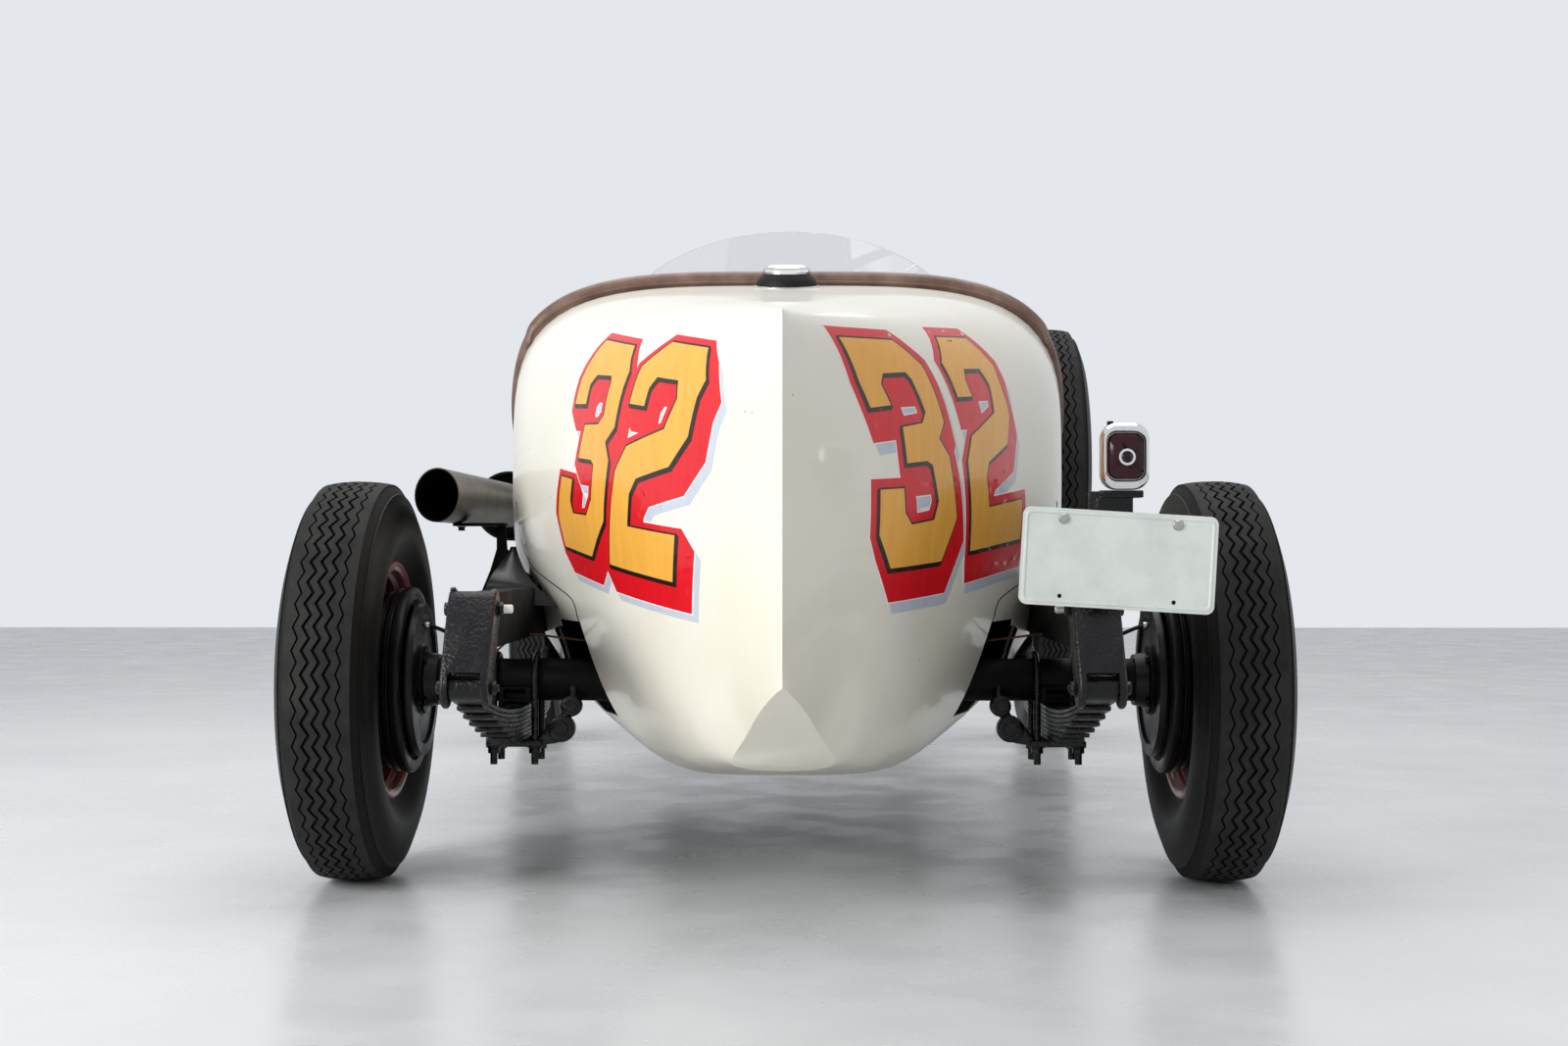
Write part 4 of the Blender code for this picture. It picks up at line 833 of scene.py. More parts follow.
# %% The numerals' outlines
# Each is drawn clockwise in a box one wide and one high.
THREE = (
    (0.2, 1.0), (0.8, 0.98), (0.96, 0.87), (0.99, 0.62), (0.88, 0.55), (0.975, 0.47), (0.98, 0.19),
    (0.72, 0.01), (0.08, 0.02), (0.01, 0.17), (0.1, 0.36), (0.34, 0.355), (0.31, 0.25), (0.365, 0.195),
    (0.65, 0.2), (0.74, 0.28), (0.73, 0.44), (0.67, 0.46), (0.43, 0.46), (0.47, 0.615), (0.71, 0.625),
    (0.78, 0.67), (0.745, 0.815), (0.71, 0.845), (0.45, 0.845), (0.385, 0.8), (0.41, 0.71), (0.2, 0.705),
    (0.175, 0.82),
)
TWO = (
    (0.03, 0.9), (0.25, 1.0), (0.77, 0.97), (0.92, 0.84), (0.89, 0.77), (0.91, 0.61), (0.77, 0.485),
    (0.37, 0.43), (0.3, 0.365), (0.315, 0.225), (0.97, 0.205), (1.0, 0.01), (0.01, 0.05), (0.03, 0.46),
    (0.15, 0.565), (0.62, 0.64), (0.675, 0.765), (0.61, 0.84), (0.33, 0.855), (0.275, 0.81), (0.285, 0.735),
    (0.06, 0.745),
)
# Where each box stands on its flank, in metres: how far the foot's left corner is from the rear axle in the
# reading direction, how high it stands, its width at the foot and at the head, its height, its lean, and its
# rise towards the right.
LEFT_FLANK = (
    (THREE, 0.119, 0.6, 0.189, 0.189, 0.36, 0.27, -0.12),
    (TWO, 0.317, 0.556, 0.176, 0.174, 0.378, 0.27, -0.07),
)
RIGHT_FLANK = (
    (THREE, -0.519, 0.56, 0.19, 0.186, 0.362, -0.28, 0.12),
    (TWO, -0.289, 0.578, 0.218, 0.18, 0.364, -0.31, 0.17),
)


def boxed(outline, start, foot, foot_width, head_width, tall, lean, rise):
    """An outline in its box, as (reading distance, height) in metres."""
    return [
        (
            start + (u - 0.5) * (head_width - foot_width) * v + u * foot_width + lean * v * tall,
            foot + v * tall + rise * u * foot_width,
        )
        for u, v in outline
    ]


print("numeral height", LEFT_FLANK[0][5], "m")


# %% Lines round a shape and its cast shade
def mitred(outline, margin):
    """Each corner moved outward so that every edge moves by the margin."""
    made = []
    count = len(outline)
    for k in range(count):
        before, here, after = (Vector(outline[(k + j) % count]) for j in (-1, 0, 1))
        first, second = (here - before).normalized(), (after - here).normalized()
        square = Vector((-first.y, first.x)) + Vector((-second.y, second.x))
        square.normalize()
        reach = margin / max(square.dot(Vector((-first.y, first.x))), 0.45)
        made.append(tuple(here + square * reach))
    return made


def hull(points):
    """The smallest convex outline round a few points, counter-clockwise."""
    points = sorted({(round(a, 6), round(b, 6)) for a, b in points})
    halves = []
    for line in (points, points[::-1]):
        half = []
        for p in line:
            while len(half) > 1 and (half[-1][0] - half[-2][0]) * (p[1] - half[-2][1]) <= (
                half[-1][1] - half[-2][1]
            ) * (p[0] - half[-2][0]):
                half.pop()
            half.append(p)
        halves += half[:-1]
    return halves


def spread(outline, margin, cast=(0, 0)):
    """Shapes that together cover an outline, widened by a margin and swept along a cast."""
    count = len(outline)
    rim = mitred(outline, margin) if margin else outline
    moved = [[(a + cast[0], b + cast[1]) for a, b in line] for line in (outline, rim)]
    shapes = [list(outline), moved[0]] if any(cast) else [list(outline)]
    for k in range(count):
        j = (k + 1) % count
        corners = [line[i] for line in (outline, rim) for i in (k, j)]
        if any(cast):
            shapes.append(hull([line[i] for line in (rim, moved[1]) for i in (k, j)]))
            shapes.append(hull([line[i] for line in (outline, moved[0]) for i in (k, j)]))
            shapes.append(hull([line[i] for line in moved for i in (k, j)]))
        if margin:
            shapes.append(hull(corners))
    return [shape for shape in shapes if len(shape) > 2]


def divided(shape, step):
    """The same outline with extra points along its long edges."""
    made = []
    for (a, b), (c, d) in zip(shape, shape[1:] + shape[:1]):
        pieces = max(int(hypot(c - a, d - b) / step), 1)
        made += [(a + (c - a) * k / pieces, b + (d - b) * k / pieces) for k in range(pieces)]
    return made


def covered(spots, shapes):
    """Which of the spots lie inside any of the shapes, by counting the edges to their right."""
    inside = np.zeros(len(spots), bool)
    for shape in shapes:
        count = np.zeros(len(spots), int)
        for (a, b), (c, d) in zip(shape, shape[1:] + shape[:1]):
            if b != d:
                spans = (b > spots[:, 1]) != (d > spots[:, 1])
                count += spans & (spots[:, 0] < a + (spots[:, 1] - b) * (c - a) / (d - b))
        inside |= count % 2 == 1
    return inside


def painted(name, shapes, side, reading, lift, material):
    """One layer of paint: the union of flat shapes, laid on a flank and sunk a little into the skin."""
    step, points, edges = 0.01, [], []
    low = [min(p[k] for shape in shapes for p in shape) for k in (0, 1)]
    high = [max(p[k] for shape in shapes for p in shape) for k in (0, 1)]
    for shape in shapes:
        start = len(points)
        points += [Vector(p) for p in divided(shape, step)]
        edges += [(k, k + 1 if k + 1 < len(points) else start) for k in range(start, len(points))]
    across, up = (int((high[k] - low[k]) / step) + 1 for k in (0, 1))
    points += [
        Vector((low[0] + (i + 0.37) * step, low[1] + (j + 0.41) * step))
        for i in range(across) for j in range(up)
    ]
    flat, _, triangles, _, _, _ = delaunay_2d_cdt(points, edges, [], 0, 2e-5, False)
    middles = np.array([sum((flat[i] for i in triangle), Vector((0, 0))) / 3 for triangle in triangles])
    inside = [triangle for triangle, within in zip(triangles, covered(middles, shapes)) if within]
    kept = sorted({i for triangle in inside for i in triangle})
    number = {old: new for new, old in enumerate(kept)}
    places = []
    for i in kept:
        start = Vector((side, y_at(flat[i][0] * reading), flat[i][1]))
        touch, normal, _, _ = tail_tree.ray_cast(start, Vector((-side, 0, 0)))
        places.append(touch + normal * lift)
    mesh = bpy.data.meshes.new(name)
    mesh.from_pydata(places, [], [[number[i] for i in triangle] for triangle in inside])
    piece = shown(name, mesh)
    if sum(face.normal.x * face.area for face in mesh.polygons) * side < 0:
        edited(piece, ops.mesh.flip_normals)
    modify(piece, "SOLIDIFY", thickness=lift + 1.0 * MM, offset=-1.0)
    return finish(piece, material, "cream_paint", angle=30)


# %% Both flanks
def numerals(label, layout, side, reading, margin, ground_cast, line_cast, shade_cast):
    """All the layers of one flank's number."""
    outlines = [boxed(*digit) for digit in layout]
    total = [ground_cast[k] + shade_cast[k] for k in (0, 1)]
    layers = (
        ("shade", margin, total, 0.4 * MM, numeral_shade),
        ("edge", margin + 2 * MM, ground_cast, 0.7 * MM, numeral_white),
        ("ground", margin, ground_cast, 1.0 * MM, numeral_red),
        ("line", 3.0 * MM, line_cast, 1.3 * MM, numeral_black),
        ("face", 0, (0, 0), 1.6 * MM, numeral_amber),
    )
    for layer, rim, cast, lift, material in layers:
        shapes = [shape for outline in outlines for shape in spread(outline, rim, cast)]
        painted(f"number_{layer}_{label}", shapes, side, reading, lift, material)


numerals("left", LEFT_FLANK, -1, -1, 12 * MM, (0.022, -0.036), (0.004, -0.005), (0.01, -0.014))
numerals("right", RIGHT_FLANK, 1, 1, 17 * MM, (0.014, -0.036), (-0.003, -0.005), (0.012, -0.018))

# %% [markdown]
# ## Seam, cockpit tub and hood
#
# The tail shell laps over the tub along a seam that drops down the flank and sweeps back under it. A seam is
# a dark line with a little depth, so it is a thin strip of seal laid along the skin. The tub is the same
# skin, a little fuller at the foot where it hides the frame's rails, opened for the cockpit by a Boolean
# cut. The hood is in two halves that lift, over two fixed sides with pressed louvres.

# %% The tail's seam
SEAM = (  # ahead and height
    (0.135, 0.69), (0.14, 0.63), (0.133, 0.588), (0.11, 0.563), (0.05, 0.545), (-0.02, 0.527),
    (-0.07, 0.513), (-0.079, 0.503), (-0.078, 0.49), (-0.07, 0.478), (-0.074, 0.462),
)
for label, side in SIDES:
    path = []
    for ahead, z in SEAM:
        touch, normal, _, _ = tail_tree.ray_cast(Vector((side, y_at(ahead), z)), Vector((-side, 0, 0)))
        path.append(touch + normal * 0.2 * MM)
    finish(pipe(f"tail_seam_{label}", path, 1.3 * MM, 6), seal_rubber, "black_paint")

# %% The tub's skin
COCKPIT_EDGE = (  # the opening's edge from the side: ahead and height
    (0.3, 1.0), (0.38, 0.9), (0.5, 0.82), (0.65, 0.772), (0.8, 0.758),
    (0.92, 0.775), (1.02, 0.83), (1.1, 0.92), (1.155, 1.02), (1.185, 1.09),
)
TUB_WALL = 10 * MM


def curved(points, steps):
    """A smooth line through the points, by Catmull-Rom."""
    made = []
    for k in range(len(points) - 1):
        p0, p1, p2, p3 = (Vector(points[min(max(k + j, 0), len(points) - 1)]) for j in (-1, 0, 1, 2))
        for i in range(steps):
            t = i / steps
            made.append(
                0.5 * (
                    2 * p1 + (p2 - p0) * t + (2 * p0 - 5 * p1 + 4 * p2 - p3) * t**2
                    + (3 * p1 - p0 - 3 * p2 + p3) * t**3
                )
            )
    return [tuple(p) for p in made] + [tuple(points[-1])]


def opening_cutter():
    """The prism that opens the cockpit."""
    edge = curved(COCKPIT_EDGE, 4)
    outline = [(0.2, edge[0][1] + 0.02), *edge, (edge[-1][0] + 0.002, 1.3), (0.2, 1.3)]
    return extruded("opening", [(y_at(a), z) for a, z in outline], "X", -0.7, 0.7)


def tub_hull(name, rear, front, rows):
    """The tub's skin with its foot rolled under."""
    return smoothed(half_skin(name, rear, front, rows, 26, 12, 5), 2)


tub = tub_hull("tub_skin", TAIL_FRONT + 0.5 * MM, COWL_FRONT, 46)
modify(tub, "SOLIDIFY", thickness=TUB_WALL, offset=-1.0)
less(tub, opening_cutter())
finish(tub, cream_enamel, "cream_paint", angle=32)
tub.data.materials.append(chassis_black)
for face in tub.data.polygons:  # the belly is painted black from the turn of the sill inward
    if face.center.z < SILL_Z and abs(face.center.x) < section_at(
        face.center.y - REAR_AXLE.y
    )["hull_w"] - 0.014:
        face.material_index = 1

# %% [markdown]
# Inside, a plywood bulkhead closes the tub in front of the tail; aluminium boards stand at the dash and
# firewall.
# Each is a section of the body with a little taken off, made from one filled ring and extruded to its
# thickness.


# %% Bulkhead, floor, dash and firewall
def section_board(name, ahead, thickness, inset, low):
    """A flat board across the body, inside its skin, from a height upward."""
    right = right_outline(ahead, 16, 8, 0)
    half_w, crown = section_at(ahead)["half_w"], section_at(ahead)["crown_z"]
    shrink = lambda x, z: (x * (1 - inset / half_w), z - inset * max((z - 0.7) / (crown - 0.7), 0))
    ring = [shrink(x, z) for x, z in right]
    ring = ring + [(-x, z) for x, z in reversed(ring[1:])]
    board = extruded(name, [(x, z) for x, z in ring], "Y", y_at(ahead), y_at(ahead) + thickness)
    if low > SILL_Z:
        bisected(board, (0, 0, low), (0, 0, -1), fill=True)
    return board


bulkhead = section_board("rear_bulkhead", TAIL_FRONT + 0.004, 9 * MM, 11 * MM, 0)
firewall = section_board("firewall", COWL_FRONT - 0.014, 6 * MM, 11 * MM, 0)
dash = section_board("dash_board", 1.236, 8 * MM, 11 * MM, 0.86)
eased(dash, 1.5 * MM)
floor_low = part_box("body_tub")[0].z
floor_board = grid_piece(
    "floor_board", 12, 24,
    lambda u, v: (
        (u - 0.5) * 2 * (section_at(TAIL_FRONT + 0.02 + 1.36 * v)["hull_w"] - 0.012),
        y_at(TAIL_FRONT + 0.02 + 1.36 * v), floor_low + 0.002,
    ),
)
modify(floor_board, "SOLIDIFY", thickness=10 * MM, offset=-1.0)


# %% Boards' finishes
def wood(name, light, dark, ring, gloss):
    """Varnished plywood: grain that runs across the car, drawn out twelve to one."""
    material, tree, shader = new_material(name, light, gloss, Coat_Weight=0.4, Coat_Roughness=0.15)
    along = add(tree, "Mapping", {"Scale": (0.08, 1.0, 1.0)})
    grain = add(tree, "TexNoise", {"Scale": per(ring), "Detail": 4.0, "Roughness": 0.6}, {"Vector": along})
    mottled(shader, grain, 0.35, dark, 0.65, light)
    return material


def metal(name, colour, roughness, grain, depth, spread_of=0.12, metallic=1.0):
    """Bare or plated metal: its roughness and surface vary over a real grain size."""
    material, tree, shader = new_material(name, colour, roughness, Metallic=metallic)
    noise = add(tree, "TexNoise", {"Scale": per(grain), "Detail": 4.0, "Roughness": 0.6})
    low, high = max(roughness - spread_of, 0.02), roughness + spread_of
    gloss = add(
        tree, "MapRange", {"From Min": 0.3, "From Max": 0.7, "To Min": low, "To Max": high}, {"Value": noise}
    )
    relief = add(tree, "Bump", {"Strength": 0.4, "Distance": depth}, {"Height": noise})
    feed(shader, Roughness=gloss, Normal=relief)
    return material, tree, shader


cockpit_ply = wood("varnished_plywood", "#8A5A33", "#5E3A1E", 0.006, 0.35)
sheet_aluminium, tree, shader = metal("turned_aluminium", "#C9CACB", 0.28, 0.02, 0.0002)
# Engine turning: overlapping polished spots about 20 mm apart.
spots = add(tree, "TexVoronoi", {"Scale": per(0.02), "Randomness": 0.0})
spot_gloss = add(
    tree, "MapRange", {"From Min": 0.0, "From Max": 0.7, "To Min": 0.16, "To Max": 0.42}, {"Value": spots}
)
feed(shader, Roughness=spot_gloss)
chrome = metal("chrome_plate", "#E6E7E8", 0.07, 0.05, 0.00005, 0.04)[0]
zinc = metal("dull_zinc_plate", "#B9B9B6", 0.36, 0.006, 0.0002)[0]
copper = metal("dull_copper_pipe", "#4F3426", 0.5, 0.01, 0.0002)[0]
brass = metal("brass", "#B98E45", 0.3, 0.012, 0.0002)[0]

finish(bulkhead, cockpit_ply, "cream_paint", angle=30)
finish(firewall, sheet_aluminium, "chrome", angle=30)
finish(dash, sheet_aluminium, "chrome", angle=30)
finish(floor_board, cockpit_ply, "cream_paint", "body_tub", angle=30)

# %% [markdown]
# ## Hood
#
# The hood's two tops swing on the hinge along the crown. Each is a strip of the skin from the hinge to the
# shoulder, its edges eased. The fixed sides below carry a row of louvres: each louvre is a slim half round
# blister, a squashed sphere cut flat and closed at the back.

# %% Hood tops
HINGE_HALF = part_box("hood_left")[1].x  # the gap left for the hinge rod
HOOD_REAR, HOOD_NOSE = (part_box("hood_left")[k].y - REAR_AXLE.y for k in (0, 1))


def between(outline, low, high):
    """The stretch of an outline between two heights, cut exactly at both."""
    kept = []
    for (a, b), (c, d) in zip(outline, outline[1:]):
        if b >= low and d <= high and b > d:
            for level in (min(b, high), max(d, low)):
                share = (b - level) / (b - d)
                kept.append((a + (c - a) * share, level))
    return kept


def hood_strip(name, rear, front, upper, lower, thickness):
    """A strip of the right side of the skin between two heights, each a level given for every place along the
    car.
    """

    def place_of(u, v):
        ahead = rear + (front - rear) * v
        x, z = evenly(between(right_outline(ahead, 60, 30, 0), lower(ahead), upper(ahead)), 24)[round(u * 24)]
        return (max(x, -HINGE_HALF), y_at(ahead), z)

    piece = grid_piece(name, 24, 20, place_of)
    outward(piece)
    modify(piece, "SOLIDIFY", thickness=thickness, offset=-1.0)
    eased(piece, 1 * MM, 2, 60)
    return piece


def seam_z(ahead):
    """The height of the split between a hood top and its side: six eighths of the way round the shoulder."""
    return evenly(right_outline(ahead, 60, 1, 0)[:-1], 8)[6][1]


hood_right = hood_strip(
    "hood_top_right", HOOD_REAR, HOOD_NOSE, lambda a: section_at(a)["crown_z"], seam_z, 2.5 * MM
)
hood_left = mirrored(hood_right, "hood_top_left")
finish(hood_right, cream_enamel, "cream_paint", "hood_right", body="hood_right")
finish(hood_left, cream_enamel, "cream_paint", "hood_left", body="hood_left")

# %% Hood sides with louvres
SIDE_REAR, SIDE_FRONT = (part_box("hood_side_left")[k].y - REAR_AXLE.y for k in (0, 1))
SIDE_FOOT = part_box("hood_side_left")[0].z
LOUVRES, LOUVRE_TALL = 13, 0.15
side_panel = hood_strip(
    "hood_side_right", SIDE_REAR, SIDE_FRONT, lambda a: seam_z(a) - 5 * MM, lambda a: SIDE_FOOT, 2.5 * MM
)
louvres = []
for k in range(LOUVRES):
    ahead = SIDE_REAR + 0.13 + (SIDE_FRONT - SIDE_REAR - 0.26) * k / (LOUVRES - 1)
    louvre = started("louvre", ops.mesh.primitive_uv_sphere_add, segments=12, ring_count=8, radius=1.0)
    louvre.data.transform(Matrix.Diagonal((0.012, 0.017, LOUVRE_TALL / 2, 1)))
    bisected(louvre, (0, -0.002, 0), (0, -1, 0), fill=True)
    louvre.data.transform(Matrix.Translation((side_x(ahead, 0.7) - 1 * MM, y_at(ahead), 0.7)))
    louvres.append(louvre)
side_right = one_piece("hood_side_right_panel", side_panel, *louvres)
side_left = mirrored(side_right, "hood_side_left_panel")
finish(side_right, cream_enamel, "cream_paint", "hood_side_right")
finish(side_left, cream_enamel, "cream_paint", "hood_side_left")

# %% [markdown]
# ## Tyres
#
# The tread is what is seen first from behind: five zigzag grooves between straight-edged outer ribs, then a
# recessed shoulder with small blades, a raised ring and a smooth sidewall with moulding lines. The tyre is
# one grid bent into a ring. Each of its columns knows how far it sways with the zigzag, so the grooves are
# cut by the grid's own lines and need no Boolean.

# %% A tyre
WAVES = 56  # zigzags round the tyre
# Each groove's place, width and sway in mm, on a tread with this half width, which scales the places.
GROOVES = ((-41, 3.4, 8), (-20.5, 5.6, 11), (0, 6.2, 12), (20.5, 6.2, 12), (41, 3.6, 9))
GROOVES_HALF = 0.062
TREAD_HALF = {"rear": 0.056, "front": 0.047}
BEAD_R, BEAD_X = 0.2035, 0.0575  # where the wall meets the rim
WALL_OUT, WALL_DROP = 13.5 * MM, 22 * MM  # where the wall starts, out and down from the tread's edge


def tyre(name, centre, radius, half_width, tread_half, bead):
    """A tyre on the right of the car, round the X axis."""
    scale = tread_half / GROOVES_HALF
    crown = lambda across: radius - 5.5 * MM * (across / tread_half) ** 2
    line = [(-tread_half, crown(tread_half), 0, 0, 0)]  # across, radius, sway, groove, blade
    for place, width, sway in GROOVES:
        place, width, sway = place * MM * scale, width * MM, sway * MM
        for offset, depth in ((-0.5, 0), (-0.34, 7), (0.34, 7), (0.5, 0)):
            across = place + width * offset
            line.append((across, crown(across) - depth * MM, sway / 2, depth, 0))
    line.append((tread_half, crown(tread_half), 0, 0, 0))
    top = crown(tread_half)
    shoulder = (
        (tread_half + 0.5 * MM, top - 4 * MM, 0, 2, 0), (tread_half + 4 * MM, top - 7.5 * MM, 0, 2, 1.6),
        (tread_half + 9 * MM, top - 14 * MM, 0, 2, 1.6), (tread_half + 11 * MM, top - 18 * MM, 0, 2, 0),
        (tread_half + 12 * MM, top - 17 * MM, 0, 0, 0), (tread_half + WALL_OUT, top - 18 * MM, 0, 0, 0),
        (tread_half + WALL_OUT, top - WALL_DROP, 0, 0, 0),
    )
    low, high = bead, top - WALL_DROP
    wall = []
    for k in range(1, 12):
        t = k / 12
        rise = sin(pi * min(t * 1.15, 1.0)) ** 0.8
        bulge = tread_half + WALL_OUT + (half_width - tread_half - WALL_OUT) * rise
        bulge = bulge + (BEAD_X - bulge) * max((t - 0.45) / 0.55, 0) ** 1.8
        line_here = {3: 0.9, 7: 1.0, 9: 1.4}.get(k, 0) * MM  # moulding rings round the wall
        wall.append((bulge + line_here, high + (low - high) * t, 0, 0, 0))
    edge = [(BEAD_X - 1 * MM, low, 0, 0, 0), (0.045, low + 1 * MM, 0, 0, 0)]
    right = [*shoulder, *wall, *edge]
    left = [(-a, r, s, g, b) for a, r, s, g, b in reversed(right)]
    inner = [(0.04, low + 12 * MM, 0, 0, 0), (-0.04, low + 12 * MM, 0, 0, 0)]
    section = [*left, *line, *right, *inner]
    section.append(section[0])
    columns, rows = len(section) - 1, 4 * WAVES

    def place_of(u, v):
        across, reach, sway, _, blade = section[round(u * columns)]
        row = round(v * rows) % rows
        swing = (0, 1, 0, -1)[row % 4]
        reach -= blade * MM * (row % 2)
        angle = 2 * pi * row / rows
        return centre + Vector((across + sway * swing, reach * cos(angle), reach * sin(angle)))

    piece = cleaned(grid_piece(name, columns, rows, place_of))
    piece.data.materials.append(tyre_rubber)
    piece.data.materials.append(shaded_groove_rubber)
    piece.data.materials.append(wall_rubber)
    # Groove walls and floors and the recessed shoulder take the darker rubber, painted shade in the recesses;
    # the sidewall takes its own rubber.
    for face in piece.data.polygons:
        offset = face.center - centre
        reach = hypot(offset.y, offset.z)
        across = abs(offset.x)
        if across < tread_half:
            rim = crown(across)
            face.material_index = 1 if reach < rim - 1.2 * MM else 0
        else:
            face.material_index = 1 if across < tread_half + 11 * MM and reach > top - 18 * MM else 2
    return piece


wall_rubber = rubber("tyre_wall_rubber", "#0C0C0D", "#1A1916", 0.006, 0.5)
for label in ("rear", "front"):
    low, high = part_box(f"tyre_{label}_right")
    centre = (low + high) / 2
    radius, half_width = (high.z - low.z) / 2, (high.x - low.x) / 2
    name = f"tyre_{label}_right_rubber"
    right = tyre(name, centre, radius, half_width - 1 * MM, TREAD_HALF[label], BEAD_R)
    left = mirrored(right, f"tyre_{label}_left_rubber")
    if label == "rear":
        spare = copied(right, "tyre_spare_rubber")
        spare.data.transform(Matrix.Translation(middle("tyre_spare") - centre))
        finish(spare, None, "tyre", "tyre_spare")
    finish(right, None, "tyre", f"tyre_{label}_right", body=f"wheel_{label}_right")
    finish(left, None, "tyre", f"tyre_{label}_left", body=f"wheel_{label}_left")


# %% [markdown]
# ## Wheels and drums
#
# The wheels are pressed-steel discs in dark red enamel. From behind their stepped wells show round the brake
# drums, which are black and have four turned steps at the open edge. Profiles are spun round the axle.


# %% Red enamel
def enamel(name, colour, dark, roughness, coat, ripple=0.014):
    """Sprayed or dipped enamel in two close tones, duller where dust lies."""
    return weathered(
        name, colour, dark, roughness, (0.05, 5.0, 0.65), (0.4, 0.75, 0.8), (ripple, 1.0, 0.5, 0.1, 0.0006),
        Coat_Weight=coat, Coat_Roughness=0.12, Specular_IOR_Level=0.4,
    )[0]


wheel_red = enamel("wheel_red_enamel", "#8E1210", "#5F0C0B", 0.36, 0.5)

# %% Wheels
RIM = mm(  # outboard distance and radius, along the metal from the outboard flange round and back
    (62, 217), (60, 217), (57, 203.5), (40, 202.5), (36, 193), (-16, 193), (-20, 202.5), (-57, 203.5),
    (-60, 217), (-62, 217), (-64, 212), (-60, 199), (-46, 197.5), (-40, 190), (-22, 188), (-16, 180),
    (6, 178), (12, 168), (20, 150), (22, 120), (20, 70), (22, 34), (22, 20), (32, 20),
    (32, 34), (30, 70), (32, 120), (28, 152), (22, 172), (24, 186), (38, 188), (44, 197),
    (58, 198), (64, 210),
)


NUT_CIRCLE = 0.055  # the radius on which nuts and studs stand


def wheel(name, centre, drum_depth, drum_radius):
    """A disc wheel, its cap, nuts and drum, on the right of the car; the spare has no drum."""
    metal_disc = spun(f"{name}_disc", RIM, centre, (1, 0, 0), 72, closed=True)
    eased(metal_disc, 1.2 * MM, 2, 35)
    cap = spun(
        f"{name}_cap", mm((18, 0), (18, 30), (40, 30), (50, 26), (54.5, 16), (55.5, 0)), centre, (1, 0, 0),
        36,
    )
    ring = round_x(centre + Vector((0.031, 0, 0)), NUT_CIRCLE, 5)
    nuts = bolts(f"{name}_nuts", ring, (1, 0, 0), 19 * MM, 12 * MM, washer=False)
    if not drum_depth:
        return metal_disc, cap, nuts, None
    edge = 0.02 - drum_depth
    r = drum_radius
    profile = [
        (0.019, 0.04), (0.019, r - 0.006), (0.014, r), (edge + 0.05, r), (edge + 0.047, r + 0.005),
        (edge + 0.04, r + 0.005), (edge + 0.038, r + 0.001), (edge + 0.034, r + 0.001),
        (edge + 0.032, r + 0.009), (edge + 0.026, r + 0.01), (edge + 0.024, r + 0.005),
        (edge + 0.02, r + 0.005), (edge + 0.018, r + 0.012), (edge + 0.004, r + 0.012), (edge, r + 0.008),
        (edge, r - 0.01), (edge + 0.012, r - 0.012), (edge + 0.014, r - 0.016), (0.01, r - 0.016),
        (0.008, 0.04),
    ]
    drum = spun(f"{name}_drum", profile, centre, (1, 0, 0), 72, closed=True)
    eased(drum, 0.8 * MM, 2, 35)
    return metal_disc, cap, nuts, drum


for label, depth, drum_r in (("rear", 0.12, 0.157), ("front", 0.078, 0.132)):
    centre = middle(f"tyre_{label}_right")
    made = wheel(f"wheel_{label}", centre, depth, drum_r)
    looks = ((wheel_red, "red_paint"), (chrome, "chrome"), (zinc, "chrome"), (drum_black, "black_paint"))
    for part, (look, slot_name) in zip(made, looks):
        other = mirrored(part, f"{part.name}_left")
        part.name = f"{part.name}_right"
        disc = look is wheel_red
        finish(part, look, slot_name, *[f"wheel_{label}_right"] * disc, body=f"wheel_{label}_right")
        finish(other, look, slot_name, *[f"wheel_{label}_left"] * disc, body=f"wheel_{label}_left")

disc, cap, nuts, _ = wheel("wheel_spare", middle("wheel_spare").xyz, 0, 0)
for part, look, slot_name in (
    (disc, wheel_red, "red_paint"), (cap, chrome, "chrome"), (nuts, zinc, "chrome")
):
    part.data.transform(Matrix.Translation((middle("tyre_spare") - middle("wheel_spare"))))
    finish(part, look, slot_name, *(("wheel_spare",) if part is disc else ()))

# %% [markdown]
# ## Rear springs, shackles and axle
#
# The packs are eight separate leaves, each shorter than the one above and rounded at its ends, held to the
# axle by two U-bolts on each side over a saddle, with a plate and nuts below. The forged shackles and the
# spring ends are brushed over in thick black paint, so every edge is eased and the surface is lumpy.

# %% Leaf springs
EYE = 20 * MM


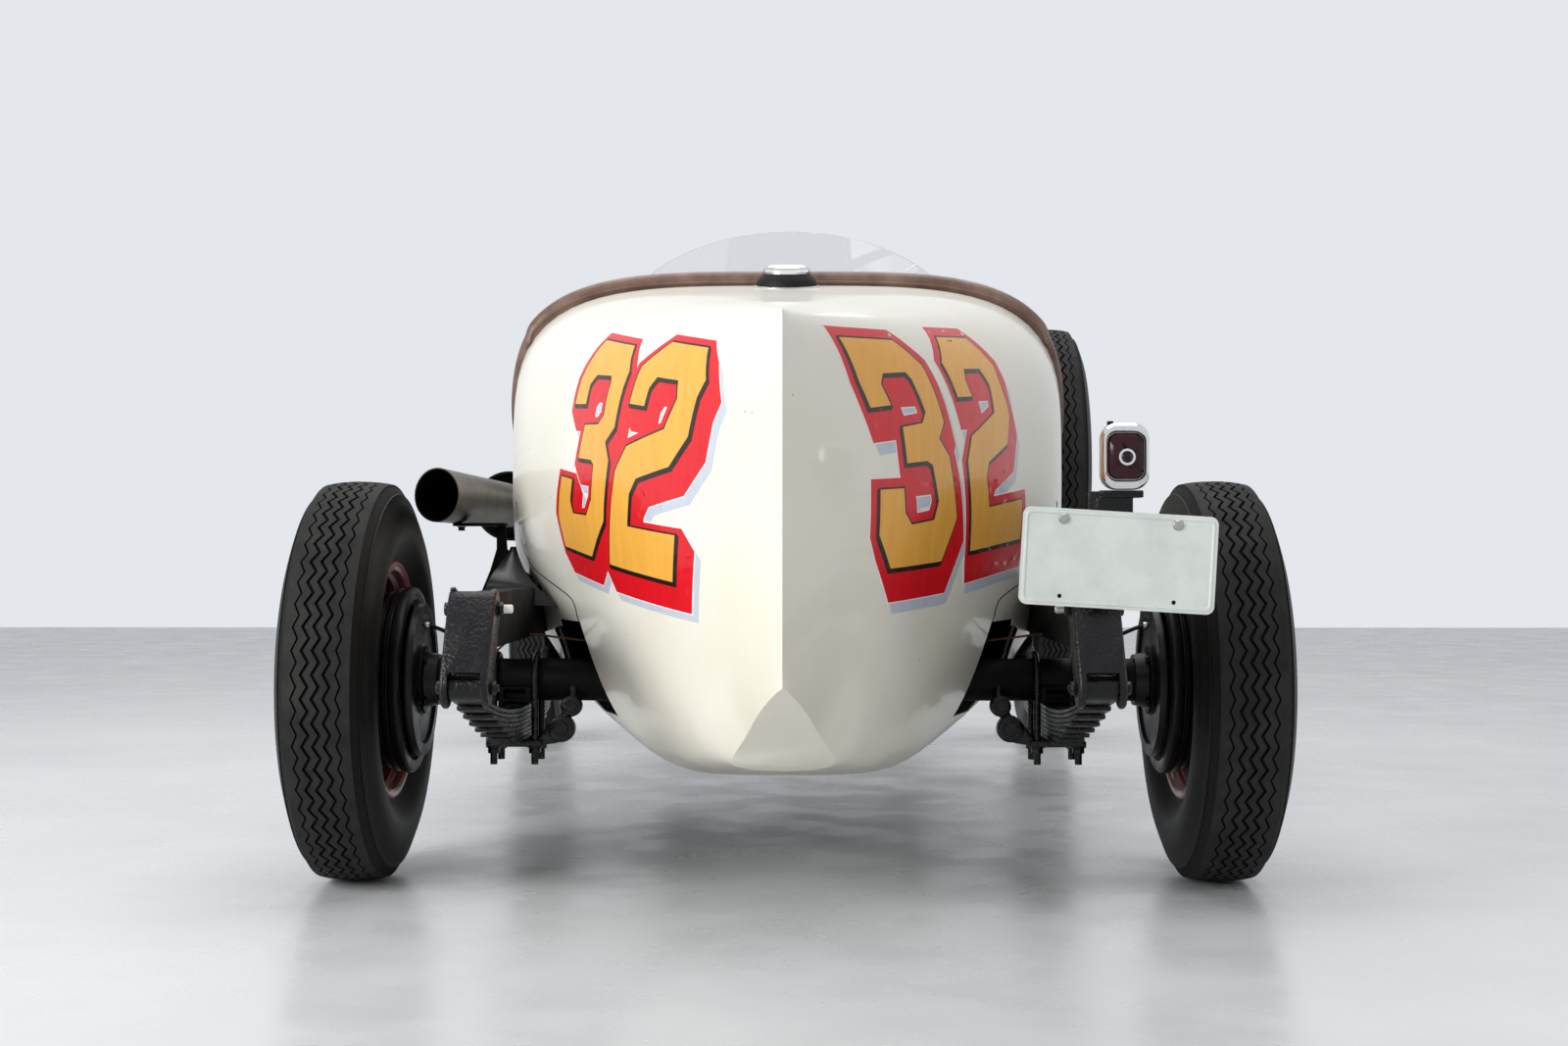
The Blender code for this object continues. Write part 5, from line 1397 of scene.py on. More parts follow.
def leaf_spring(name, x, rear_eye, front_eye, centre, leaves, leaf, half, seat_half=0.055):
    """A pack of separate leaves with an eye rolled at each end, beside the axle at centre."""

    def top(ahead):
        eye = rear_eye if ahead < centre[0] else front_eye
        run = max(abs(ahead - centre[0]) - seat_half, 0)
        return centre[1] + (eye[1] - EYE + leaf - centre[1]) * (
            run / (abs(eye[0] - centre[0]) - seat_half)
        ) ** 2

    made = []
    for k in range(leaves):
        share = 1.0 if k == 0 else 1 - k * 0.8 / leaves
        ends = [centre[0] + (eye[0] - centre[0]) * share for eye in (rear_eye, front_eye)]
        steps = [ends[0] + (ends[1] - ends[0]) * j / 28 for j in range(29)]
        upper = [(y_at(a), top(a) - leaf * k - 0.25 * MM) for a in steps]
        lower = [(y_at(a), top(a) - leaf * (k + 1) + 0.25 * MM) for a in reversed(steps)]
        strip = extruded(
            f"{name}_leaf", [*upper, *lower], "X", x - half + 0.3 * k * MM, x + half - 0.3 * k * MM
        )
        eased(strip, 1.6 * MM, 2, 40)
        made.append(strip)
    for eye in (rear_eye, front_eye):
        a, z = eye
        made.append(
            spun(
                f"{name}_eye",
                [(-half, EYE - 8 * MM), (-half, EYE - 1 * MM), (-half + 1 * MM, EYE), (half - 1 * MM, EYE),
                 (half, EYE - 1 * MM), (half, EYE - 8 * MM)],
                (x, y_at(a), z), (1, 0, 0), 28, closed=True,
            )
        )
    return one_piece(name, *made)


def spring_clip(name, x, ahead, high, low, half):
    """A rebound clip bent round the leaves, with its bolt."""
    wall = 4 * MM
    outer = block(
        name, (x - half - wall, y_at(ahead) - 0.011, low - wall),
        (x + half + wall, y_at(ahead) + 0.011, high + 0.012),
    )
    inner = block(
        "inside", (x - half - 0.5 * MM, y_at(ahead) - 0.03, low),
        (x + half + 0.5 * MM, y_at(ahead) + 0.03, high + 0.03),
    )
    clip = less(outer, inner)
    eased(clip, 1 * MM)
    bolt = bolts(
        f"{name}_bolt", [(x - half - wall, y_at(ahead), high + 0.006)], (-1, 0, 0), 10 * MM, 6 * MM, False
    )
    rod = pipe(
        f"{name}_rod",
        [(x - half - wall, y_at(ahead), high + 0.006), (x + half + wall + 4 * MM, y_at(ahead), high + 0.006)],
        4 * MM, 8,
    )
    return one_piece(name, clip, bolt, rod)


RAIL_X, SPRING_HALF = 0.49, 0.025
LEAF, REAR_LEAVES, FRONT_LEAVES = 8 * MM, 8, 6  # a leaf's thickness, and how many there are
SPRING_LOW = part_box("rear_spring_left")[0].z
SPRING_TOP = SPRING_LOW + REAR_LEAVES * LEAF
SHACKLE_TOP, SHACKLE_LOW = Vector((0, y_at(-0.5), 0.505)), Vector((0, y_at(-0.575), 0.385))
for label, side in SIDES:
    pack = leaf_spring(
        f"rear_leaf_spring_{label}", side * RAIL_X, (-0.575, 0.385), (0.58, 0.4197), (0, SPRING_TOP),
        REAR_LEAVES, LEAF, SPRING_HALF,
    )
    finish(pack, forging_black, "black_paint", f"rear_spring_{label}")
    clip = spring_clip(f"rear_spring_clip_{label}", side * RAIL_X, 0.33, 0.366, 0.324, SPRING_HALF)
    finish(clip, forging_black, "black_paint")

# %% Shackles with their pins
for label, side in SIDES:
    link = refined(
        f"rear_shackle_{label}", f"rear_shackle_forging_{label}", edge=5 * MM, dissolve=8.0, segments=3
    )
    window = block(
        "window", (side * RAIL_X - 0.0255, y_at(-0.66), 0.3), (side * RAIL_X + 0.0255, y_at(-0.575), 0.41),
        0.0,
    )
    less(link, window)
    finish(link, forging_black, "black_paint", f"rear_shackle_{label}", angle=40)
    x, out = side * RAIL_X, 0.0375
    inboard, outboard = Vector((-side, 0, 0)), Vector((side, 0, 0))
    pins = []
    for place in (SHACKLE_TOP, SHACKLE_LOW):
        pins.append(
            bolts("pin_head", [Vector((x, 0, 0)) + place + outboard * out], outboard, 19 * MM, 9 * MM)
        )
        pins.append(
            bolts(
                "pin_nut", [Vector((x, 0, 0)) + place + inboard * out], inboard, 19 * MM, 9 * MM, stud=4 * MM
            )
        )
    marked = spun(
        "pin_end", mm((0, 0), (0, 7), (12, 7), (14, 5.5), (14, 0)),
        Vector((x, 0, 0)) + SHACKLE_TOP + inboard * (out + 0.01), inboard, 20,
    )
    finish(marked, numeral_white if side < 0 else zinc, "black_paint")
    marked.name = f"shackle_pin_end_{label}"
    ear = Vector((x + side * (out - 6 * MM), y_at(-0.508), 0.533))
    pins.append(bolts("clamp_bolt", [ear], (0, -0.35, 1), 9 * MM, 6 * MM, False))
    finish(one_piece(f"shackle_pins_{label}", *pins), forging_black, "black_paint")

# %% Axle tube, saddles, U-bolts and plates
AXLE_Z, AXLE_R = REAR_AXLE.z, 0.0385
tube_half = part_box("rear_axle")[1].x
axle_parts = [
    spun(
        "axle_tube",
        [
            (-tube_half, 0), (-tube_half, AXLE_R), (-0.16, AXLE_R), (-0.15, 0.055), (-0.085, 0.122),
            (-0.03, 0.134), (-0.012, 0.134), (-0.012, 0.142), (0.012, 0.142), (0.012, 0.134), (0.03, 0.134),
            (0.085, 0.122), (0.15, 0.055), (0.16, AXLE_R), (tube_half, AXLE_R), (tube_half, 0),
        ],
        (0, REAR_AXLE.y, AXLE_Z), (1, 0, 0), 48,
    ),
    pipe("torque_tube", [(0, y_at(0.06), AXLE_Z), (0, y_at(1.32), 0.385)], 0.032, 24, smooth=False),
]
ring = round_x((0.0125, REAR_AXLE.y, AXLE_Z), 0.13573, 12)
axle_parts.append(bolts("cover_bolts", ring, (1, 0, 0), 11 * MM, 6 * MM, False))
for side in (-1, 1):
    x = side * RAIL_X
    saddle = block(
        "saddle", (x - 0.031, y_at(-0.046), SPRING_TOP + 0.5 * MM), (x + 0.031, y_at(0.046), AXLE_Z - 0.01),
        5 * MM,
    )
    hollow = block(
        "hollow", (x - 0.02, y_at(-0.06), SPRING_TOP + 0.01), (x + 0.02, y_at(-0.03), AXLE_Z - 0.014),
        4 * MM,
    )
    axle_parts.append(less(saddle, hollow))
axle = one_piece("rear_axle_assembly", *axle_parts)
eased(axle, 1.2 * MM, 1, 50)
finish(axle, chassis_black, "black_paint", "rear_axle")

PLATE_LOW, PLATE_HIGH = SPRING_LOW - 12 * MM, SPRING_LOW - 0.4 * MM
for label, side in SIDES:
    parts = []
    for offset in (-0.037, 0.037):
        x, reach = side * RAIL_X + offset, AXLE_R + 7.5 * MM
        foot = SPRING_TOP - 0.108
        path = [(x, y_at(-reach), foot), (x, y_at(-reach), AXLE_Z - 0.01)]
        path += [
            (x, y_at(-reach * cos(a)), AXLE_Z + reach * sin(a)) for a in (pi * k / 10 for k in range(11))
        ]
        path += [(x, y_at(reach), AXLE_Z - 0.01), (x, y_at(reach), foot)]
        parts.append(pipe("u_bolt", path, 6.5 * MM, 14, smooth=False))
        for end in (-reach, reach):
            parts.append(
                bolts("u_nut", [(x, y_at(end), PLATE_LOW)], (0, 0, -1), 20 * MM, 12 * MM, True, 14 * MM)
            )
            for k in range(6):
                level = PLATE_LOW - (15 + 2.4 * k) * MM
                thread = spun(
                    "thread", mm((0, 5.5), (0.7, 7.1), (1.4, 5.5)),
                    (x, y_at(end), level), (0, 0, 1), 12, closed=True,
                )
                parts.append(thread)
    x = side * RAIL_X
    parts.append(
        block("pad", (x - 0.05, y_at(-0.06), PLATE_LOW), (x + 0.05, y_at(0.06), PLATE_HIGH), 3 * MM)
    )
    eye_x, eye_z = side * 0.404, 0.276  # the arm's lower eye
    pin_x, pin_z = side * 0.387, 0.3165  # the shock link's lower pin
    arm = extruded(
        "link_arm",
        [
            (x - side * 0.04, PLATE_HIGH), (x - side * 0.04, PLATE_LOW + 1 * MM),
            (eye_x + side * 0.01, eye_z - 0.026), (eye_x - side * 0.008, eye_z - 0.02),
            (eye_x - side * 0.006, eye_z + 0.012), (eye_x + side * 0.016, eye_z + 0.018),
        ],
        "Y", y_at(-0.052), y_at(-0.036),
    )
    eased(arm, 3 * MM)
    parts.append(arm)
    for cx, cz, r, depth in ((eye_x, eye_z, 0.024, 0.03), (pin_x, pin_z, 0.019, 0.026)):
        parts.append(
            spun(
                "link_eye",
                [
                    (0, 0), (0, r - 0.004), (0.003, r), (depth - 0.003, r), (depth, r - 0.004),
                    (depth, r * 0.55), (depth + 0.003, r * 0.5), (depth + 0.003, 0),
                ],
                (cx, y_at(-0.028), cz), (0, -1, 0), 28,
            )
        )
    parts.append(
        pipe(
            "link_rod", [(pin_x, y_at(-0.04), pin_z), (side * 0.398, y_at(-0.04), 0.296)], 0.01,
            12,
        )
    )
    parts.append(
        pipe(
            "shock_link",
            [
                (side * 0.384, y_at(-0.042), 0.322), (side * 0.38, y_at(-0.02), 0.38),
                (side * 0.42, y_at(0.05), 0.452),
            ],
            0.009, 12,
        )
    )
    finish(one_piece(f"spring_bolts_{label}", *parts), forging_black, "black_paint", angle=40)

# %% Backing plates
for label, side in SIDES:
    place = (side * 0.662, REAR_AXLE.y, AXLE_Z)
    plate = spun(
        f"rear_backing_plate_{label}",
        mm(
            (-3, 0), (-3, 60), (2, 66), (2, 112), (-3, 118), (-3, 137), (6, 139), (6, 140), (9, 140),
            (9, 120), (12, 112), (12, 50), (6, 0),
        ),
        place, (side, 0, 0), 64,
    )
    hub = spun(
        "hub_flange", mm((-30, 0), (-30, 46), (-8, 50), (-6, 62), (0, 62), (0, 0)), place, (side, 0, 0), 40,
    )
    ring = round_x((place[0] - side * 6 * MM, *place[1:]), NUT_CIRCLE, 4, pi / 4)
    studs = bolts("plate_bolts", ring, (-side, 0, 0), 13 * MM, 6 * MM, False)
    finish(one_piece(f"rear_backing_{label}", plate, hub, studs), drum_black, "black_paint")

# %% Brake hoses and copper pipe
halves = []
for label, side in SIDES:
    hose = pipe(
        f"brake_hose_{label}",
        [(side * x, y_at(a), z) for x, a, z in
         ((0.657, -0.035, 0.463), (0.64, -0.04, 0.461), (0.61, -0.046, 0.449), (0.585, -0.048, 0.437),
          (0.56, -0.046, 0.424), (0.525, -0.042, 0.408))],
        3.6 * MM, 10,
    )
    finish(hose, seal_rubber, "black_paint")
    end = bolts("hose_end", [(side * 0.645, y_at(-0.038), 0.462)], (side, 0, 0), 11 * MM, 10 * MM, False)
    finish(one_piece(f"hose_end_{label}", end), zinc, "chrome")
    halves.append(
        [(side * x, y_at(a), z) for x, a, z in
         ((0.53, -0.04, 0.41), (0.49, -0.036, 0.448), (0.455, -0.034, 0.446), (0.4, -0.034, 0.438),
          (0.3, -0.034, 0.428), (0.2, -0.034, 0.418), (0.165, -0.045, 0.425), (0.125, -0.072, 0.462),
          (0.08, -0.09, 0.492))]
    )
line = pipe("copper_brake_pipe", [*halves[0], (0, y_at(-0.098), 0.512), *reversed(halves[1])], 2.0 * MM, 8)
finish(line, copper, "black_paint", "brake_lines")

# %% [markdown]
# ## Exhaust
#
# The side pipe is thin tube, cut on the slant so that its mouth faces outward. Its inside is nearly black
# with soot. Ahead of the seat a guard of woven-looking expanded metal keeps elbows off it: a tube of quads
# turned to mesh by the Wireframe modifier. The pipe rests on a strap whose leg flares out to stand on the
# frame.

# %% Pipe, soot and guard
PIPE_X, PIPE_Z, PIPE_R = -0.64, 0.699, 0.05
PIPE_END = 2.1  # ahead of the axle, where the pipe turns in to the hood's side

exhaust_steel, tree, shader = metal(
    "heat_browned_exhaust_steel", "#6E675C", 0.4, 0.02, 0.0002, 0.06, metallic=0.85
)
heat = add(tree, "TexNoise", {"Scale": per(0.12), "Detail": 5.0, "Roughness": 0.6})
mottled(shader, heat, 0.35, "#4A443B", 0.7, "#625C51")
soot = black_paint("exhaust_soot", "#070605", 0.85, 0.006, 0.0008)

path = [(PIPE_X, y_at(a), PIPE_Z) for a in (-0.3, 0, 0.6, 1.2, 1.7, 1.78)]
for k in range(1, 9):
    turn = pi / 2 * k / 8
    path.append(
        (PIPE_X + 0.13 * (1 - cos(turn)), y_at(1.78 + (PIPE_END - 1.78) * sin(turn)), PIPE_Z + 0.02 * k / 8)
    )
path.append((-side_x(PIPE_END, PIPE_Z) - 0.006, y_at(PIPE_END), PIPE_Z + 0.021))
tube = pipe("exhaust_pipe", path, PIPE_R, 32, smooth=False)
bore = pipe(
    "bore", [(PIPE_X, y_at(-0.4), PIPE_Z), (PIPE_X, y_at(0.9), PIPE_Z)], PIPE_R - 2.2 * MM, 32,
    smooth=False,
)
slash = extruded(
    "slash",
    [
        (PIPE_X - 0.3, y_at(-0.6)), (PIPE_X + 0.3, y_at(-0.6)), (PIPE_X + 0.3, y_at(-0.3)),
        (PIPE_X - 0.3, y_at(0.3)),
    ],
    "Z", PIPE_Z - 0.2, PIPE_Z + 0.2,
)
less(tube, bore, slash)
tube.data.materials.clear()
tube.data.materials.append(exhaust_steel)
tube.data.materials.append(soot)
for face in tube.data.polygons:
    ahead = face.center.y - REAR_AXLE.y
    inside = hypot(face.center.x - PIPE_X, face.center.z - PIPE_Z) < PIPE_R - 1.6 * MM
    sooty = inside and (ahead > 0.5 or ahead < 0.95 and abs(face.normal.y) < 0.4)
    face.material_index = 1 if sooty else 0
flange = block(
    "exhaust_flange", (-side_x(PIPE_END, PIPE_Z) - 0.01, y_at(PIPE_END - 0.07), PIPE_Z - 0.033),
    (-side_x(PIPE_END, PIPE_Z) - 0.001, y_at(PIPE_END + 0.07), PIPE_Z + 0.078), 2 * MM,
)
ring = [
    (-side_x(PIPE_END, PIPE_Z) - 0.01, y_at(PIPE_END + a), PIPE_Z + 0.022 + b)
    for a in (-0.056, 0.056) for b in (-0.042, 0.042)
]
flange_bolts = bolts("exhaust_flange_bolts", ring, (-1, 0, 0), 11 * MM, 7 * MM)
finish(tube, None, "exhaust_steel", "exhaust")
finish(flange, exhaust_steel, "exhaust_steel")
finish(flange_bolts, zinc, "chrome")

GUARD_R, GUARD_REAR, GUARD_FRONT = 0.078, 0.95, 1.7
around, along = 44, 84
guard = grid_piece(
    "exhaust_guard", around, along,
    lambda u, v: (
        PIPE_X - 0.004 + GUARD_R * cos(2 * pi * (u + 0.5 * (round(v * along) % 2) / around)),
        y_at(GUARD_REAR + (GUARD_FRONT - GUARD_REAR) * v),
        PIPE_Z + GUARD_R * sin(2 * pi * (u + 0.5 * (round(v * along) % 2) / around)),
    ),
)
cleaned(guard)
modify(guard, "WIREFRAME", thickness=3.6 * MM, use_replace=True, use_even_offset=False, use_boundary=False)
rings = [
    spun(
        "guard_ring",
        [(0, GUARD_R - 3 * MM), (0, GUARD_R + 1 * MM), (0.012, GUARD_R + 1 * MM), (0.012, GUARD_R - 3 * MM)],
        (PIPE_X - 0.004, y_at(a), PIPE_Z), (0, 1, 0), 44, closed=True,
    ) for a in (GUARD_REAR - 0.002, GUARD_FRONT - 0.01)
]
finish(one_piece("exhaust_guard", guard, *rings), chassis_black, "black_paint")

# %% Strap, leg and the flared foot
bracket = refined("exhaust_bracket", "exhaust_strap", edge=1 * MM)
finish(bracket, chassis_black, "black_paint", "exhaust_bracket")
strap_bolts = bolts(
    "strap_bolts", [(PIPE_X + 0.016, y_at(0.18), 0.643)], (0, 0, -1), 12 * MM, 8 * MM
)
finish(strap_bolts, forging_black, "black_paint")


# The flare's black is lightened to a grey all over: painted sheen for the highlights on its sheet, under the
# dust patches that every black paint has.
sheen_lightened_black = black_paint("worn_satin_black", "#232325", 0.34, 0.05, 0.0006, coat=0.2)


def flare_at(u, v):
    """The sheet that spreads from the leg down on to the rail, hollow on both its sides."""
    near = -(0.526 + 0.04 * v)
    far = -(0.518 - 0.098 * v**1.4)
    x = near + (far - near) * u
    foot = 0.5045 - 0.012 * u
    run = min(v / 0.7, 1.0)
    ahead = 0.165 - 0.121 * run * run * (3 - 2 * run) - 0.006 * sin(pi * u)
    return (x, y_at(ahead), 0.604 + (foot - 0.604) * v)


flare = grid_piece("bracket_flare", 14, 14, flare_at)
modify(flare, "SOLIDIFY", thickness=3 * MM, offset=0)
foot = block("flare_foot", (-0.556, y_at(0.062), 0.5306), (-0.468, y_at(0.178), 0.534), 1 * MM)
finish(one_piece("bracket_flare", flare, foot), sheen_lightened_black, "black_paint")

# %% [markdown]
# ## Lamp and plate
#
# The tail lamp has a chrome bezel, deeper at top and bottom, round a dark red glass with a small reflector
# in the middle. The plate is pressed sheet: a raised border and rounded corners, painted off-white, and left
# blank.


# %% Glass and plate paint
lamp_glass, tree, shader = new_material(
    "dark_red_glass", "#2B0406", 0.1, Coat_Weight=0.2, Coat_Roughness=0.03, Specular_IOR_Level=0.25
)
lens_ribs = add(tree, "TexWave", {"Scale": per(0.02), "Distortion": 0.0}, bands_direction="X").outputs["Fac"]
relief = add(tree, "Bump", {"Strength": 0.15, "Distance": 0.0006}, {"Height": lens_ribs})
feed(shader, Normal=relief)
reflector_glass = new_material("dark_reflector_glass", "#050507", 0.08, Specular_IOR_Level=0.4)[0]
plate_paint = enamel("plate_paint", "#DBDFDA", "#C6CCC6", 0.38, 0.3, 0.02)


# %% Tail lamp
def rounded(half_w, half_h, radius, centre, steps=8):
    """A rounded rectangle as (x, z) points."""
    made = []
    for k, (sx, sz) in enumerate(((1, 1), (-1, 1), (-1, -1), (1, -1))):
        for j in range(steps + 1):
            angle = pi / 2 * (k + j / steps)
            made.append(
                (centre[0] + sx * (half_w - radius) + radius * cos(angle),
                 centre[1] + sz * (half_h - radius) + radius * sin(angle))
            )
    return made


lamp_low, lamp_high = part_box("tail_lamp")
lamp_mid = (lamp_low + lamp_high) / 2
spot = (lamp_mid.x, lamp_mid.z)
half_w, half_h = (lamp_high.x - lamp_low.x) / 2, (lamp_high.z - lamp_low.z) / 2


def lofted(name, rings):
    """Closed rings of the same count joined one to the next, with filled ends."""
    count = len(rings[0])
    points = [point for ring in rings for point in ring]
    faces = [
        (r * count + i, r * count + (i + 1) % count, (r + 1) * count + (i + 1) % count, (r + 1) * count + i)
        for r in range(len(rings) - 1) for i in range(count)
    ]
    faces += [tuple(range(count))[::-1], tuple(range((len(rings) - 1) * count, len(rings) * count))]
    data = bpy.data.meshes.new(name)
    data.from_pydata(points, [], faces)
    return cleaned(shown(name, data))


front, deep = lamp_low.y, (lamp_high.y - lamp_low.y) / MM


def lamp_shell(name, *rings):
    """Rounded rings joined into a shell; each is in from the sides, in from the ends and back, in mm."""
    outlines = []
    for side_in, end_in, back in rings:
        corner = 0.024 - min(side_in * MM, 0.014)
        flat = rounded(half_w - side_in * MM, half_h - end_in * MM, corner, spot)
        outlines.append([(x, front + back * MM, z) for x, z in flat])
    return lofted(name, outlines)


housing = lamp_shell(
    "lamp_housing", (12, 16, deep), (4, 6, deep - 8), (1, 1, deep - 22), (0, 0, deep - 34), (0, 0, 12)
)
finish(housing, chrome, "chrome", "tail_lamp")
bezel = lamp_shell(
    "lamp_bezel", (0, 0, 12), (0.5, 1, 6), (3, 5, 1), (6, 12, 0), (7.5, 14.5, 2), (8, 15.5, 6)
)
finish(bezel, chrome, "chrome")
glass = lamp_shell("lamp_glass", (8.5, 16, 8), (8.5, 16, 4.5), (12, 20, -1), (20, 30, -4.5), (30, 44, -6))
finish(glass, lamp_glass, "red_paint")
eye = (spot[0], front - 0.005, spot[1] - 0.002)
ring = spun("reflector_ring", mm((0, 9.4), (3, 12.6), (5, 12.8), (5, 9.2)), eye, (0, -1, 0), 32, closed=True)
finish(ring, chrome, "chrome")
bead = spun("reflector_bead", mm((0, 0), (0, 9.3), (3, 8.4), (5, 5.5), (5.8, 0)), eye, (0, -1, 0), 28)
finish(bead, reflector_glass, "black_paint")
latch = block(
    "lamp_latch", (spot[0] - 0.026, front + 0.016, lamp_high.z - 0.004),
    (spot[0] - 0.017, front + 0.028, lamp_high.z + 0.003), 1 * MM,
)
finish(latch, forging_black, "black_paint")

# %% Number plate
PLATE = (0.522, 0.582)  # its middle in x and z
PLATE_W, PLATE_H, PLATE_ROLL = 0.3048, 0.1524, radians(3.4)
BOLT_U, BOLT_V = 0.0889, 0.0603  # its holes and bolts, across and up from the middle
plate_y = middle("number_plate").y


def place_on_plate(u, v, out=0.0):
    """A place across and up the rolled plate, and so far out from its face."""
    turned = Matrix.Rotation(-PLATE_ROLL, 2) @ Vector((u, v))
    return Vector((PLATE[0] + turned.x, plate_y - out, PLATE[1] + turned.y))


PLATE_EDGE = (  # mm: in from the edge, forward of the plate's middle, and the corner's radius
    (0, 1, 13), (0, -0.6, 13), (0.8, -1.4, 12), (4, -1.4, 10), (5.5, -2.6, 9), (8, -2.6, 8), (9.5, -1.2, 7),
    (11, -1.2, 6),
)
plate_rings = [
    [
        place_on_plate(u, v, -forward * MM)
        for u, v in rounded(PLATE_W / 2 - inset * MM, PLATE_H / 2 - inset * MM, radius * MM, (0, 0))
    ]
    for inset, forward, radius in PLATE_EDGE
]
number_plate = lofted("number_plate_pressing", plate_rings)
for u in (-BOLT_U, BOLT_U):
    hole = spun(
        "hole", mm((-10, 0), (-10, 3.5), (10, 3.5), (10, 0)), place_on_plate(u, -BOLT_V), (0, 1, 0), 20,
    )
    less(number_plate, hole)
finish(number_plate, plate_paint, "plate_white", "number_plate")
heads = [
    spun(
        "plate_bolt", mm((0, 0), (0, 8.5), (1.2, 8.5), (3.5, 6.5), (4.5, 0)),
        place_on_plate(u, BOLT_V, 0.0013), (0, -1, 0), 20,
    ) for u in (-BOLT_U, BOLT_U)
]
finish(one_piece("plate_bolts", *heads), zinc, "chrome")
lamp_arm = refined("lamp_bracket", "lamp_arm", edge=1.5 * MM)
finish(lamp_arm, forging_black, "black_paint", "lamp_bracket")

# %% [markdown]
# ## Coaming, filler and windscreen
#
# A padded roll in brown vinyl runs round the cockpit's edge, with a welt sewn under its outer side. The
# filler is a chrome cap on a black rubber cone. The windscreen is a bent sheet of clear acrylic with an
# arched top.

# %% Brown vinyl
brown_vinyl, tree, shader = new_material("brown_vinyl", "#6E5548", 0.36, Specular_IOR_Level=0.45)
stretch = add(tree, "TexNoise", {"Scale": per(0.06), "Detail": 4.0, "Roughness": 0.6})
mottled(shader, stretch, 0.32, "#5E4539", 0.7, "#80675A")
# The embossed grain is a net of creases about 2 mm apart; longer puckers pull across the roll every 25 mm.
grain = add(tree, "TexVoronoi", {"Scale": per(0.002)}, feature="DISTANCE_TO_EDGE")
pucker = add(tree, "TexNoise", {"Scale": per(0.025), "Detail": 2.0})
fine = add(tree, "Bump", {"Strength": 0.25, "Distance": 0.0004}, {"Height": grain})
broad = add(tree, "Bump", {"Strength": 0.5, "Distance": 0.003}, {"Height": pucker, "Normal": fine})
feed(shader, Normal=broad)

# %% Coaming
ROLL = 18 * MM
REAR_LINE = 0.308
arch_half = side_x(REAR_LINE, 1.0) - 6 * MM
arch, arch_welt = [], []
for k in range(37):
    x = -arch_half * cos(pi * k / 36)
    z = crown_at(REAR_LINE, x) if abs(x) < arch_half * 0.995 else 1.0
    lean = Vector((x / arch_half, 0, 0.6)).normalized()
    arch.append(Vector((x, y_at(REAR_LINE), z + 12 * MM)))
    arch_welt.append(arch[-1] + Vector((0.35 * lean.x * ROLL, -0.97 * ROLL, -0.3 * ROLL)))
sides, sides_welt = [], []
for a, z in curved(COCKPIT_EDGE, 3)[1:]:
    x = side_x(a, z) - 6 * MM
    sides.append(Vector((x, y_at(a), z + 10 * MM)))
    sides_welt.append(sides[-1] + Vector((0.88 * ROLL, 0, -0.5 * ROLL)))
flip = lambda points: [Vector((-p.x, p.y, p.z)) for p in reversed(points)]
coaming = pipe("coaming_roll", [*flip(sides), *arch, *sides], ROLL, 20)
finish(coaming, brown_vinyl, "brown_leather", "coaming", angle=60)
welt = pipe("coaming_welt", [*flip(sides_welt), *arch_welt, *sides_welt], 3.0 * MM, 10)
finish(welt, brown_vinyl, "brown_leather", angle=60)

# %% Filler
FILLER = 0.19
tilt = (crown_at(FILLER + 0.05, 0) - crown_at(FILLER - 0.05, 0)) / 0.1
foot = Vector((0, y_at(FILLER), crown_at(FILLER, 0)))
up = (0, -tilt, 1)
rubber_cone = spun(
    "filler_rubber",
    mm((0, 0), (0, 57.5), (3, 59.5), (8, 58.5), (15, 55), (21.5, 48.5), (24.5, 45.5), (24.5, 0)), foot, up,
    48,
)
cap = spun(
    "filler_chrome",
    mm(
        (23.5, 0), (23.5, 44), (25.5, 46), (30, 46.2), (31.2, 44.5), (33, 45), (36.5, 43.5), (40.8, 38),
        (43.4, 27), (44.7, 12), (45, 0),
    ),
    foot, up, 48,
)
collar = spun(
    "filler_collar", mm((-2, 59), (-2, 64), (1, 64), (2.2, 61.5), (2.2, 59)), foot, up, 48, closed=True,
)
finish(rubber_cone, seal_rubber, "black_paint", "filler_cap")
finish(cap, chrome, "chrome")
finish(collar, zinc, "chrome")

# %% Windscreen
acrylic = new_material("clear_acrylic", "#F6F7F8", 0.02, Transmission_Weight=1.0, IOR=1.49)[0]
SCREEN_HALF, SCREEN_RISE = 0.42, 0.29
SCREEN_AHEAD, SCREEN_SWEEP = 1.43, 1.15  # its foot on the centre line, and how far the ends sweep back
SCREEN_Z, SCREEN_RAKE = 1.1, 0.3  # the level that its rise is measured from, and its slope


def screen_at(u, v):
    """A point of the bent sheet, u across it and v up it."""
    turn = pi * (u - 0.5) * 0.992
    x = SCREEN_HALF * sin(turn)
    base_ahead = SCREEN_AHEAD - SCREEN_SWEEP * x * x
    base = crown_at(base_ahead, x) - 2 * MM
    top = max(SCREEN_Z + SCREEN_RISE * cos(turn), base + 3 * MM)
    z = base + (top - base) * v
    return (x, y_at(base_ahead - SCREEN_RAKE * (z - SCREEN_Z)), z)


screen = grid_piece("windscreen_sheet", 44, 10, screen_at)
modify(screen, "SOLIDIFY", thickness=4 * MM, offset=0)
eased(screen, 1 * MM, 1)
finish(cleaned(screen), acrylic, "acrylic", "windscreen")
screen.data.materials.append(new_material("sawn_acrylic_edge", "#74787C", 0.45)[0])
for face in screen.data.polygons:
    if abs(face.normal.y) < 0.6:
        face.material_index = 1
low_edge = []
for k in range(33):
    x, y, z = screen_at(0.03 + 0.94 * k / 32, 0)
    low_edge.append((x, y, z + 3 * MM))
finish(pipe("windscreen_seal", low_edge, 4.5 * MM, 10), seal_rubber, "black_paint")

